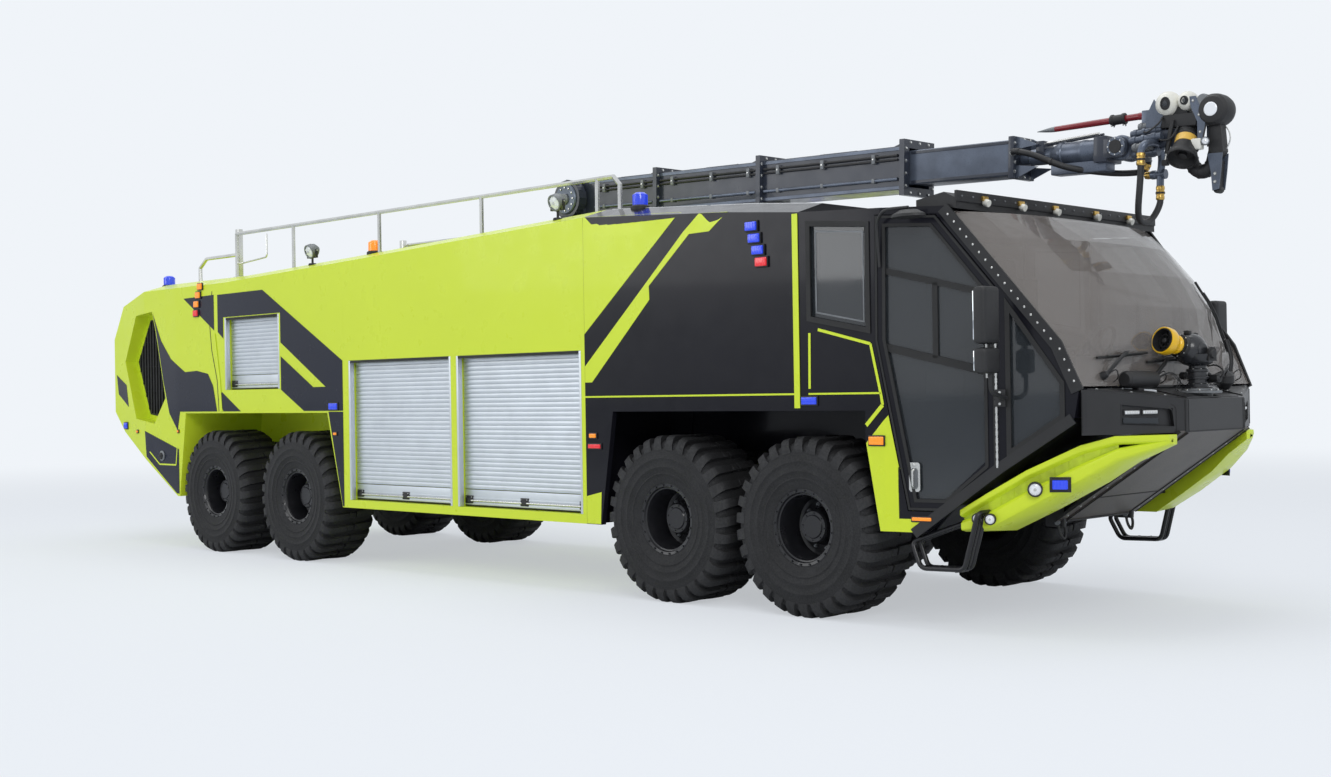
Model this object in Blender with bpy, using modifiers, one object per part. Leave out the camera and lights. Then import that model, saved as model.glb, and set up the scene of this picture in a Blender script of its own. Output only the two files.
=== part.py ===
"""Airport fire truck, an 8x8 crash tender with a roof boom.

Metres, +X forward, +Y left, +Z up. Everything is laid out from the ground point under the
first axle; the empty "truck" then sets the middle of the length over the origin.
"""
import bpy
import bmesh
from math import cos, pi, radians, sin
from mathutils import Matrix, Vector

# Clearances and walls
GAP = 0.0003
RUN = 0.006
OVER = 0.02
WALL = 0.05
SHEET = 0.012

# Body width and wheels
ORIGIN_TO_AXLE = 4.215
BODY_HALF = 1.55
TYRE_R = 0.6955
TYRE_HALF = 0.30
LUG_DEPTH = 0.035
CROWN_DROP = 0.012
LUG_COUNT = 20
RIM_R = 0.29
DISC_R = 0.243
HUB_R = 0.14
HUB_OUT = 0.155
RIM_OUT = 0.262
DISC_THICK = 0.04
WHEEL_Y = BODY_HALF - TYRE_HALF
WHEEL_Z = TYRE_R * cos(pi / LUG_COUNT)
# Wheel rings: share of the tyre's radius, share of its half width, outer side first
sidewall_shares = ((0.455, 0.833), (0.60, 0.965), (0.79, 1.0))
SHOULDER_SHARE = 0.92
SHOULDER_WIDTH_SHARE = 0.95
TREAD_SHARE = 0.79

# Axles, by the free length between the tyres
FRONT_PAIR_GAP = 0.069
MIDDLE_GAP = 4.156
REAR_PAIR_GAP = 0.286
STEERED_AXLES = 2
AXLE_2_X = -(2 * TYRE_R + FRONT_PAIR_GAP)
AXLE_3_X = AXLE_2_X - 2 * TYRE_R - MIDDLE_GAP
AXLE_4_X = AXLE_3_X - 2 * TYRE_R - REAR_PAIR_GAP
AXLE_X = (0, AXLE_2_X, AXLE_3_X, AXLE_4_X)

# Running gear
KINGPIN_BACK = 0.20
KINGPIN_Y = WHEEL_Y - KINGPIN_BACK
KINGPIN_R = 0.05
KINGPIN_HALF = 0.128
FORK_THICK = 0.04
FORK_BAR = (0.035, 0.05)
SPINDLE_R = 0.09
DRUM_R = 0.19
DRUM_THICK = 0.07
AXLE_TUBE_R = 0.075
DIFF_R = 0.20
DIFF_HALF = 0.16
SPRING_R = 0.085
ARM_R = 0.03
ARM_REACH = 0.55

# Frame
RAIL_IN = 0.36
RAIL_OUT = 0.45
RAIL_ABOVE_AXLE = 0.083
RAIL_HIGH = 0.25
RAIL_Z0 = WHEEL_Z + DIFF_R + RAIL_ABOVE_AXLE
RAIL_Z1 = RAIL_Z0 + RAIL_HIGH
RAIL_FRONT = 1.50
CROSS_HALF = 0.06
cross_x_shares = (0.025, 0.12, 0.20, 0.42, 0.62, 0.80, 0.985)
SPRING_OUT = 0.21
SPRING_Y = RAIL_OUT + SPRING_OUT
CHANNEL_CLEAR = 0.11
CHANNEL_HALF = RAIL_OUT + CHANNEL_CLEAR
CHANNEL_TOP = RAIL_Z1 + GAP
TUNNEL_HALF = CHANNEL_HALF - OVER

# Arches: clear room above, behind and ahead of the tyres, at the top and at the sill
ARCH_ABOVE = 0.189
ARCH_REAR_TOP = 0.1095
ARCH_REAR_LOW = 0.0505
ARCH_FRONT_TOP = 0.0385
ARCH_FRONT_LOW = 0.2215
WELL_BEHIND = 0.1795
WELL_AHEAD = 0.2045
ARCH_Z = 2 * TYRE_R + ARCH_ABOVE
ARCH2_FRONT = (AXLE_3_X + TYRE_R - ARCH_FRONT_TOP, AXLE_3_X + TYRE_R + ARCH_FRONT_LOW)
ARCH2_REAR = (AXLE_4_X - TYRE_R + ARCH_REAR_TOP, AXLE_4_X - TYRE_R - ARCH_REAR_LOW)
ARCH1_REAR = (AXLE_2_X - TYRE_R + ARCH_REAR_TOP, AXLE_2_X - TYRE_R - ARCH_REAR_LOW)
WELL_REAR_X = AXLE_2_X - TYRE_R - WELL_BEHIND
WELL_FRONT_X = TYRE_R + WELL_AHEAD

# Body levels and joints between its modules
SILL_Z = 0.61
SHOULDER_IN = 0.30
SHOULDER_RISE = 0.09
REAR_JOINT_PAST = 0.04
MID_JOINT_PAST = 0.055
REAR_JOINT_X = ARCH2_FRONT[1] + REAR_JOINT_PAST
MID_JOINT_X = WELL_REAR_X - MID_JOINT_PAST
CAB_JOINT_X = 0.03
TOP_REAR = 3.05
TOP_REAR_JOINT = 3.124
TOP_HUMP = 3.26
TOP_CAB_REAR = 3.09
TOP_FRONT = 3.155
FRONT_CREST_X = -0.70

# Tail outline, backward from the last arch
TAIL_NARROW = 0.095
TAIL_HALF = BODY_HALF - TAIL_NARROW
SLOPE_BACK = 0.05
SLOPE_LONG = 0.79
TAIL_LOW_LONG = 0.63
TAIL_END_LONG = 0.29
SLOPE_X0 = ARCH2_REAR[1] - SLOPE_BACK
SLOPE_X1 = SLOPE_X0 - SLOPE_LONG
TAIL_LOW_X = SLOPE_X1 - TAIL_LOW_LONG
TAIL_X = TAIL_LOW_X - TAIL_END_LONG
SLOPE_Z1 = 1.02
TAIL_LOW_Z = 1.35
TAIL_Z0 = 1.60
TAIL_Z1 = 2.50
TAIL_TOP_Z = 2.90
BAY_FRONT_X = ARCH2_REAR[1] - OVER
RAIL_REAR = SLOPE_X1 + SLOPE_BACK + OVER
HATCH_BEHIND = 0.17
HATCH_LONG = 1.10
HATCH_X = (SLOPE_X1 + HATCH_BEHIND, SLOPE_X1 + HATCH_BEHIND + HATCH_LONG)
HATCH_HALF = 0.80
HATCH_HIGH = 0.03

# Engine block
ENGINE_LONG = 1.15
ENGINE_REAR = BAY_FRONT_X - OVER - ENGINE_LONG
ENGINE_HALF = 0.48
ENGINE_HIGH = 0.95

# Shutters: rear edge, front edge, sill, lintel
POST_W = 0.10
MID_POST_W = 0.09
MID_POST_SHARE = 0.4786
POST_REAR_X = REAR_JOINT_X + POST_W
POST_FRONT_X = MID_JOINT_X - POST_W / 2
MID_POST_REAR = POST_REAR_X + MID_POST_SHARE * (POST_FRONT_X - POST_REAR_X)
POST_MID_X = (MID_POST_REAR, MID_POST_REAR + MID_POST_W)
LOCKER_SIDE = 0.24
LOCKER_Y = CHANNEL_HALF + LOCKER_SIDE
SHUTTER_Z0 = 0.69
SHUTTER_Z1 = 2.11
SMALL_BACK = 0.243
SMALL_LONG = 1.12
SMALL_ABOVE = 0.26
SMALL_HIGH = 0.81
SMALL_X = (AXLE_3_X - SMALL_BACK - SMALL_LONG, AXLE_3_X - SMALL_BACK)
SMALL_Z0 = ARCH_Z + SMALL_ABOVE
SMALL_Z1 = SMALL_Z0 + SMALL_HIGH
SMALL_DEPTH = 0.55
CURTAIN_BACK = 0.095
CURTAIN_Y = BODY_HALF - CURTAIN_BACK
CURTAIN_TUCK = 0.03
CURTAIN_IN = 0.012
BAR_HIGH = 0.16
BAR_DEEP = 0.026
BRACKET_W = 0.10
BRACKET_DEEP = 0.033
bracket_shares = (0, 0.5, 1)
SLAT = 0.09

# Side intake in the tail: its outline in shares of its length and height, from its low rear corner
INTAKE_LONG = 1.11
INTAKE_HIGH = 1.342
INTAKE_Z = 1.458
INTAKE_BEHIND = 0.277
INTAKE_X = SLOPE_X0 - INTAKE_BEHIND - INTAKE_LONG
INTAKE_DEEP = 0.22
intake_shares = ((0.313, 0.978), (0.718, 1), (0.799, 0.814), (1, 0.227), (0.739, 0), (0.280, 0.043),
                 (0, 0.568))

# Cab
CAB_TAPER_X = 0.80
CAB_FRONT_X = 2.245
TAPER = 0.187
CAB_WALL = 0.05
CAB_SILL_Z = 0.70
SKIRT_REAR_TOP = (0.64, 1.36)
SKIRT_REAR_LOW = 0.76
SKIRT_FRONT_X = 1.09
CAB_TOE = (2.21, 1.52)
PILLAR_FOOT = (2.245, 1.72)
PILLAR_MID = (2.10, 2.02)
PILLAR_TOP = (1.285, 3.03)
FLOOR_THICK = 0.06
CAB_FLOOR_HIGH = ARCH_Z + FLOOR_THICK
CAB_FLOOR_LOW = 0.94
STEP_WALL_X = WELL_FRONT_X + CAB_WALL
FLOOR_FRONT_X = 1.26
TOE_LINE_Z = 1.58
PILLAR_W = 0.13

# Doors
HINGE_X = 1.66
HINGE_GAP = 0.006
DOOR_TOP_REAR = (0.76, 3.00)
DOOR_KINK = (0.75, 2.086)
DOOR_LOW_REAR = (0.99, 0.86)
DOOR_LOW_FRONT = (1.30, 0.86)
DOOR_FRONT_LOW_Z = 1.15
DOOR_FRONT_TOP_Z = 2.44
DOOR_ROOF_FRONT = (1.23, 2.97)
DOOR_THICK = 0.05
DOOR_FRAME = 0.075
GLASS_T = 0.010
GLASS_SEAT = 0.02

# Side windows: corners as x, z
QUARTER_REAR_X = HINGE_X + 0.085
QUARTER_TOP_Z = 2.32
QUARTER_LOW_Z = 1.27
QUARTER_FRONT = (2.135, 1.76)
QUARTER_TOE_Z = 1.53
QUARTER = ((QUARTER_REAR_X, QUARTER_TOP_Z), QUARTER_FRONT, (QUARTER_FRONT[0], QUARTER_TOE_Z),
           (QUARTER_REAR_X, QUARTER_LOW_Z))
WINDOW_REAR_X = 0.12
WINDOW_FRONT_X = 0.69
WINDOW_LOW = (2.27, 2.16)
WINDOW_TOP = (3.00, 2.95)
REAR_WINDOW = ((WINDOW_REAR_X, WINDOW_LOW[0]), (WINDOW_FRONT_X, WINDOW_LOW[1]),
               (WINDOW_FRONT_X, WINDOW_TOP[1]), (WINDOW_REAR_X, WINDOW_TOP[0]))

# Windscreen rows: share of the height from pillar foot to its knee or top, share of the bulge
SCREEN_BULGE = 0.42
screen_low_shares = ((0.04, 0.07), (0.55, 0.19), (1, 0.405))
screen_high_shares = ((0.28, 0.857), (0.52, 1), (0.76, 0.905), (0.96, 0.571))
SCREEN_POWER = 3.0
SCREEN_STEPS = 12
SCREEN_T = 0.016

# Hood, apron and wings
NOSE_X = 2.60
NOSE_HALF = 0.44
HOOD_Z0 = 1.40
HOOD_REAR_Z = 1.715
HOOD_NOSE_Z = 1.63
HOOD_CLEAR = 0.005
HOOD_HALF = BODY_HALF - TAPER * (CAB_FRONT_X - CAB_TAPER_X) - HOOD_CLEAR
LAMP_DEEP = 0.035
# Headlamp recess: shares of the slanted nose side from the nose, shares of the hood's height
lamp_shares = ((0.144, 0.74), (0.635, 0.91), (0.635, 0.26), (0.125, 0.17))
APRON_X = 1.60
APRON_Z = 0.75
APRON_HALF = 0.47
APRON_T = 0.05
APRON_TOP_T = 0.20
BEAM_BELOW = 0.11
BEAM_HIGH = 0.13
BRACE_Z = 1.25
BRACE_LONG = 0.10
# Wing stations: x, outer y in shares of the body's half width, top z, inner y likewise, bottom z
WING_LIP = 0.05
WING_X = (1.35, 1.58, 1.85, 2.18, 2.36, 2.57)
WING_TOP_Z = (0.87, 1.00, 1.16, 1.33, 1.39, 1.39)
WING_LOW_Z = (0.70, 0.71, 0.86, 1.06, 1.20, 1.32)
wing_outer_shares = (0.903, 0.897, 0.852, 0.755, 0.660, 0.425)
wing_inner_shares = (0.723, 0.658, 0.581, 0.495, 0.432, 0.348)
# Boarding steps: two tubes a side, each through x and z here, at a share of the body's half width
STEP_R = 0.018
STEP_X = (1.56, 1.54, 1.43, 1.06, 0.97, 1.40)
STEP_Z = (0.86, 0.86, 0.455, 0.445, 0.63, 0.80)
step_outer_shares = (0.840, 0.940, 0.950, 0.950, 0.935, 0.826)
step_inner_shares = (0.810, 0.880, 0.890, 0.890, 0.875, 0.800)
rung_shares = (0.08, 0.36, 0.64, 0.92)

# Visor
VISOR_DEEP = 0.24
VISOR_LIP = 0.10
VISOR_HIGH = 0.10

# Roof rails: posts as shares of the rail's length
RAIL_TOP_Z = 3.64
RAIL_IN_FROM_SIDE = 0.34
RAIL_Y = BODY_HALF - RAIL_IN_FROM_SIDE
RAIL_TUBE = 0.022
RAIL_START_BACK = 0.29
RAIL_END_AHEAD = 0.12
RAIL_START_X = SMALL_X[0] - RAIL_START_BACK
RAIL_END_X = MID_JOINT_X + RAIL_END_AHEAD
post_shares = (0, 0.1862, 0.4382, 0.6995, 0.9546)
LOW_RAIL_Z = 3.40
LOW_RAIL_LONG = 0.83
LOW_RAIL_BEND = 0.15
LOW_RAIL_DROP = 0.10

# Mirrors
MIRROR_X = 1.80
MIRROR_PAST_SIDE = 0.15
MIRROR_Y = BODY_HALF + MIRROR_PAST_SIDE
MIRROR_Z = (2.03, 2.42)
SMALL_MIRROR_Z = (1.83, 2.00)
MIRROR_W = 0.20
MIRROR_T = 0.09
MIRROR_FOOT_Z = 1.66
MIRROR_TUBE = 0.018
MIRROR_PAD = 0.03

# Boom, in its own frame: s along it from the pivot, h up from its axis
PIVOT_BACK = 1.61
PIVOT_X = MID_JOINT_X - PIVOT_BACK
PIVOT_Z = 3.665
BOOM_DROOP = radians(1.6)
TURNTABLE_R = 0.42
TURNTABLE_HIGH = 0.07
CHEEK_T = 0.04
CHEEK_HALF = 0.22
PIVOT_R = 0.06
DRUM_BOOM_R = 0.19
OUTER_WIDE = 0.32
OUTER_HIGH = 0.36
OUTER_WALL = 0.02
OUTER_END = 4.05
INNER_WIDE = 0.25
INNER_HIGH = 0.28
INNER_START = 1.30
INNER_END = 5.05
NECK_R = 0.095
HEAD_S = 5.93
FORK_CHEEK = 0.025
COLLAR_T = 0.05
COLLAR_OVER = 0.05
collar_shares = (0.6, 0.28)
cheek_top_share = 1.5

# Boom head: pieces as shares of NECK_R from the tilt axis, each place along, across and up
# from, to, radius, end radius
head_rod_shares = (
    ((5.1, 0.3, 1.2), (5.3, -0.7, -0.2), 0.85, 0.85),
    ((5.3, -0.7, -0.2), (5.45, -1.6, -1.45), 0.80, 1.15),
    ((3.55, -1.3, 3.0), (3.55, 0.7, 3.0), 0.92, 0.92),
    ((5.15, -1.2, 3.05), (5.15, 0.8, 3.05), 0.72, 0.72),
    ((7.45, -1.1, 2.2), (7.45, 1.1, 2.2), 1.25, 1.25),
    ((7.4, 0, 1.5), (7.65, 0, -1.2), 0.55, 0.45),
    ((2.2, 0, 2.45), (-6.4, 0, 2.13), 0.26, 0.22),
    ((-6.3, 0, 2.135), (-8.05, 0, 2.07), 0.22, 0.03),
    ((-1.25, 0, 2.32), (-0.15, 0, 2.36), 0.45, 0.45),
)
# low corner, high corner
head_box_shares = (
    ((0, -1, -0.5), (3.2, 1, 0.5)),
    ((2.3, -0.8, 0.1), (4.8, 0.8, 1.8)),
    ((2.0, -0.3, 1.6), (4.2, 0.3, 3.0)),
    ((4.4, -0.6, 1.3), (6.5, 0.6, 2.6)),
    ((5.95, -0.75, -0.2), (6.45, 0.75, 3.1)),
)
# radius, then the places that the bent pipe runs through
head_pipe_shares = (
    (0.50, ((5.2, 0.2, -0.1), (5.45, 0.2, -1.6), (6.1, 0.15, -2.1), (6.8, 0.1, -1.75), (7.4, 0, -0.8))),
    (0.30, ((3.0, -0.7, 0), (2.85, -2.3, -0.1), (2.58, -2.53, -0.55), (2.58, -2.53, -1.25))),
    (0.30, ((2.4, 0.7, 0), (2.3, 1.3, -1.0), (2.07, 1.58, -2.0), (2.07, 1.58, -3.6))),
)
# Hose loop under the head, between its two elbows
LOOP_R = 0.024
loop_shares = ((2.58, -2.53, -1.25), (2.58, -2.53, -2.4), (2.50, -2.52, -3.6), (2.32, -2.33, -4.7),
               (2.05, -1.80, -5.45), (1.85, -1.05, -5.85), (1.80, -0.15, -5.9), (1.85, 0.70, -5.55),
               (1.98, 1.32, -4.85), (2.07, 1.58, -4.2), (2.07, 1.58, -3.6))
LOOP_POINTS = 16
# Long hose on the boom's inner tube, to its elbow beside the tilt axis
FEED_R = 0.024
feed_shares = ((-9.6, -1.0, 0.3), (-8.9, -2.0, 0.4), (-7.0, -2.15, -0.1), (-4.5, -1.4, -1.2),
               (-2.2, 0.7, -1.65), (-0.5, 1.95, -1.7), (0.5, 2.1, -1.5), (0.75, 2.1, -0.7), (0.3, 2.0, 0),
               (0.1, 1.15, 0))
SWIVEL_R = 0.075
swivel_share = 1.8

# Bumper monitor
MONITOR_X = 2.46
MONITOR_R = 0.085
MONITOR_Z = 1.95
MONITOR_AZ = radians(-80)
NOZZLE_R = 0.10
NOZZLE_LONG = 0.30

# Colours: base colour, metallic, roughness
LIME = ((0.62, 0.80, 0.02, 1), 0.0, 0.35)
BLACK = ((0.012, 0.013, 0.017, 1), 0.0, 0.35)
RUBBER = ((0.012, 0.012, 0.013, 1), 0.0, 0.85)
STEEL = ((0.06, 0.06, 0.065, 1), 0.6, 0.5)
ALU = ((0.62, 0.66, 0.70, 1), 0.8, 0.35)
GLASS = ((0.05, 0.06, 0.07, 1), 0.0, 0.05)
GREY = ((0.25, 0.26, 0.28, 1), 0.2, 0.5)
YELLOW = ((0.90, 0.62, 0.02, 1), 0.0, 0.4)
BROWN = ((0.10, 0.085, 0.075, 1), 0.0, 0.7)

SIDES = (("l", 1), ("r", -1))


for old in list(bpy.data.objects):
    bpy.data.objects.remove(old)
TRUCK = bpy.data.collections.new("airport_fire_truck")
bpy.context.scene.collection.children.link(TRUCK)
ROOT = bpy.data.objects.new("truck", None)
ROOT.location = (ORIGIN_TO_AXLE, 0, 0)
TRUCK.objects.link(ROOT)


def made(bm):
    """Turn a bmesh into a loose working object."""
    bmesh.ops.recalc_face_normals(bm, faces=bm.faces)
    mesh = bpy.data.meshes.new("piece")
    bm.to_mesh(mesh)
    bm.free()
    obj = bpy.data.objects.new("piece", mesh)
    TRUCK.objects.link(obj)
    return obj


def baked(obj, weld=0.0001):
    """Replace an object with the mesh that its modifiers or curve give, in world space."""
    bpy.context.view_layer.update()
    view = bpy.context.evaluated_depsgraph_get()
    mesh = bpy.data.meshes.new_from_object(obj.evaluated_get(view))
    mesh.transform(obj.matrix_world)
    bm = bmesh.new()
    bm.from_mesh(mesh)
    bmesh.ops.remove_doubles(bm, verts=bm.verts, dist=weld)
    bpy.data.meshes.remove(mesh)
    bpy.data.objects.remove(obj)
    return made(bm)


def box(lo, hi):
    size = Vector(hi) - Vector(lo)
    middle = (Vector(hi) + Vector(lo)) / 2
    bm = bmesh.new()
    bmesh.ops.create_cube(bm, size=1, matrix=Matrix.Translation(middle) @ Matrix.Diagonal((*size, 1)))
    return made(bm)


def rod(a, b, radius, steps=10, radius_b=None):
    """A cylinder or cone between two points."""
    a, b = Vector(a), Vector(b)
    turn = (b - a).to_track_quat("Z", "Y").to_matrix().to_4x4()
    bm = bmesh.new()
    bmesh.ops.create_cone(
        bm, cap_ends=True, segments=steps, radius1=radius,
        radius2=radius if radius_b is None else radius_b,
        depth=(b - a).length, matrix=Matrix.Translation((a + b) / 2) @ turn)
    return made(bm)


def turned(profile, steps, place):
    """A turned solid; the profile is (radius, height), top to bottom on its outer side."""
    mesh = bpy.data.meshes.new("profile")
    edges = [(i, i + 1) for i in range(len(profile) - 1)]
    mesh.from_pydata([(r, 0, z) for r, z in profile], edges, [])
    obj = bpy.data.objects.new("profile", mesh)
    TRUCK.objects.link(obj)
    screw = obj.modifiers.new("Screw", "SCREW")
    screw.steps = screw.render_steps = steps
    screw.use_merge_vertices = True
    screw.merge_threshold = 0.0001
    obj.matrix_world = place
    return baked(obj)


def plate(outline, thickness, place, holes=()):
    """A flat outline with holes, given a thickness about its own plane."""
    curve = bpy.data.curves.new("outline", "CURVE")
    curve.dimensions = "2D"
    curve.fill_mode = "BOTH"
    curve.extrude = thickness / 2
    for points in (outline, *holes):
        spline = curve.splines.new("POLY")
        spline.points.add(len(points) - 1)
        for point, (u, v) in zip(spline.points, points):
            point.co = (u, v, 0, 1)
        spline.use_cyclic_u = True
    obj = bpy.data.objects.new("outline", curve)
    TRUCK.objects.link(obj)
    obj.matrix_world = place
    return baked(obj)


def smooth(route, count):
    """Points at even steps along a smooth curve through the route."""
    route = [Vector(p) for p in route]
    ends = [2 * route[0] - route[1]] + route + [2 * route[-1] - route[-2]]
    dense = [route[0]]
    for a, b, c, d in zip(ends, ends[1:], ends[2:], ends[3:]):
        for i in range(count):
            t = (i + 1) / count
            dense.append(0.5 * (2 * b + (c - a) * t + (2 * a - 5 * b + 4 * c - d) * t * t
                                + (3 * b - 3 * c + d - a) * t * t * t))
    run = [0]
    for a, b in zip(dense, dense[1:]):
        run.append(run[-1] + (b - a).length)
    points = []
    for i in range(count + 1):
        want = run[-1] * i / count
        k = max(j for j in range(len(run)) if run[j] <= want + GAP / count)
        points.append(dense[k])
    return points


def pipe(points, radius, sides=1):
    """A bent tube through a list of points."""
    curve = bpy.data.curves.new("pipe", "CURVE")
    curve.dimensions = "3D"
    curve.bevel_depth = radius
    curve.bevel_resolution = sides
    curve.use_fill_caps = True
    spline = curve.splines.new("POLY")
    spline.points.add(len(points) - 1)
    for point, place in zip(spline.points, points):
        point.co = (*place, 1)
    obj = bpy.data.objects.new("pipe", curve)
    TRUCK.objects.link(obj)
    return baked(obj)


def loft(sections):
    """A closed solid through sections that have the same number of points."""
    bm = bmesh.new()
    rings = [[bm.verts.new(p) for p in section] for section in sections]
    count = len(rings[0])
    for near, far in zip(rings, rings[1:]):
        for i in range(count):
            j = (i + 1) % count
            bm.faces.new((near[i], near[j], far[j], far[i]))
    bm.faces.new(rings[0][::-1])
    bm.faces.new(rings[-1])
    return made(bm)


def combine(body, others, operation):
    for other in others:
        step = body.modifiers.new(operation, "BOOLEAN")
        step.operation = operation
        step.solver = "EXACT"
        step.object = other
    result = baked(body, 0.00002)
    for other in others:
        bpy.data.objects.remove(other)
    return result


def fuse(pieces):
    return combine(pieces[0], pieces[1:], "UNION")


def cut(body, cutters):
    return combine(body, cutters, "DIFFERENCE")


def shift(obj, matrix):
    obj.data.transform(matrix)
    if matrix.determinant() < 0:
        obj.data.flip_normals()
    return obj


def node(obj, name, finish, origin=(0, 0, 0)):
    """Name a finished solid, give it its material and set its origin on its joint."""
    origin = Vector(origin)
    obj.data.transform(Matrix.Translation(-origin))
    obj.name = obj.data.name = name
    obj.parent = ROOT
    obj.location = origin
    colour, metallic, roughness = finish
    material = bpy.data.materials.new(name)
    material.use_nodes = True
    shader = material.node_tree.nodes["Principled BSDF"]
    shader.inputs["Base Color"].default_value = colour
    shader.inputs["Metallic"].default_value = metallic
    shader.inputs["Roughness"].default_value = roughness
    obj.data.materials.clear()
    obj.data.materials.append(material)
    return obj


def side_plane(y):
    """Outline (x, z) set upright across the truck at y."""
    return Matrix(((1, 0, 0, 0), (0, 0, -1, y), (0, 1, 0, 0), (0, 0, 0, 1)))


def plan_plane(z):
    return Matrix.Translation((0, 0, z))


def across(outline, y0, y1):
    """An (x, z) outline from y0 to y1."""
    return plate(outline, abs(y1 - y0), side_plane((y0 + y1) / 2))


def cab_half(x):
    """Half width of the cab, which narrows ahead of the doors' rear edge."""
    return BODY_HALF - TAPER * max(0, x - CAB_TAPER_X)


def on_cab_side(s, inset=0):
    """Outline (x, z) laid on the tapering cab side, s is +1 on the left."""
    slope = -TAPER * s
    along = Vector((1, slope, 0))
    out = Vector((-slope, 1, 0)).normalized()
    base = Vector((CAB_TAPER_X, s * BODY_HALF, 0)) - out * s * inset
    base = base - along * CAB_TAPER_X
    return Matrix((
        (along.x, 0, -out.x, base.x),
        (along.y, 0, -out.y, base.y),
        (0, 1, 0, 0),
        (0, 0, 0, 1)))


def wheel_mesh():
    """Tyre and deep rim in one solid, turned about Y, with a lug at every second station."""
    rings = []
    low = LUG_COUNT
    fine = 2 * LUG_COUNT
    rings.append((low, HUB_R, HUB_OUT))
    rings.append((low, HUB_R, 0))
    rings.append((low, DISC_R, 0))
    rings.append((low, RIM_R - WALL / 2, RIM_OUT - WALL / 2))
    rings.append((low, RIM_R, RIM_OUT))
    for r_share, y_share in sidewall_shares:
        rings.append((low, TYRE_R * r_share, TYRE_HALF * y_share))
    shoulder = (fine, TYRE_R * SHOULDER_SHARE, TYRE_HALF * SHOULDER_WIDTH_SHARE)
    rings.append(shoulder)
    rings.append((fine, TYRE_R, TYRE_HALF * TREAD_SHARE))
    rings.append((fine, TYRE_R - CROWN_DROP, 0))
    rings.append((fine, TYRE_R, -TYRE_HALF * TREAD_SHARE))
    rings.append((fine, shoulder[1], -shoulder[2]))
    for r_share, y_share in (sidewall_shares[2], sidewall_shares[0]):
        rings.append((low, TYRE_R * r_share, -TYRE_HALF * y_share))
    rings.append((low, DISC_R + OVER, -RIM_OUT))
    rings.append((low, DISC_R, -DISC_THICK))
    bm = bmesh.new()
    built = []
    for count, radius, y in rings:
        ring = []
        for i in range(count):
            angle = -pi / 2 + pi / LUG_COUNT + 2 * pi * i / count
            r = radius
            if count == fine and radius == TYRE_R and i % 2:
                r = TYRE_R - LUG_DEPTH
            ring.append(bm.verts.new((r * cos(angle), y, r * sin(angle))))
        built.append(ring)
    for a, b in zip(built, built[1:]):
        for i in range(max(len(a), len(b))):
            if len(a) == len(b):
                j = (i + 1) % len(a)
                bm.faces.new((a[i], a[j], b[j], b[i]))
        if len(a) != len(b):
            coarse, dense = (a, b) if len(a) < len(b) else (b, a)
            for i in range(len(coarse)):
                j = (i + 1) % len(coarse)
                k = (2 * i + 2) % len(dense)
                bm.faces.new((coarse[i], dense[2 * i], dense[2 * i + 1]))
                bm.faces.new((coarse[i], dense[2 * i + 1], coarse[j]))
                bm.faces.new((coarse[j], dense[2 * i + 1], dense[k]))
    bm.faces.new(built[0])
    bm.faces.new(built[-1])
    return made(bm)


def wheels():
    for i, x in enumerate(AXLE_X):
        for name, s in SIDES:
            wheel = wheel_mesh()
            shift(wheel, Matrix.Diagonal((1, s, 1, 1)))
            centre = Vector((x, s * WHEEL_Y, WHEEL_Z))
            shift(wheel, Matrix.Translation(centre))
            node(wheel, "wheel_%d%s" % (i + 1, name), RUBBER, centre)


def knuckle(x, s):
    disc = WHEEL_Y - DISC_THICK - GAP
    pin = (x, s * KINGPIN_Y, WHEEL_Z)
    up = Vector((0, 0, KINGPIN_HALF))
    pieces = [rod(Vector(pin) - up, Vector(pin) + up, KINGPIN_R, 12)]
    pieces.append(rod(pin, (x, s * disc, WHEEL_Z), SPINDLE_R, 12))
    drum_y = disc - OVER
    pieces.append(rod((x, s * (drum_y - DRUM_THICK), WHEEL_Z), (x, s * drum_y, WHEEL_Z), DRUM_R, 16))
    return fuse(pieces)


def knuckles():
    for i in range(STEERED_AXLES):
        for name, s in SIDES:
            pin = (AXLE_X[i], s * KINGPIN_Y, WHEEL_Z)
            node(knuckle(AXLE_X[i], s), "knuckle_%d%s" % (i + 1, name), STEEL, pin)


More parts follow.
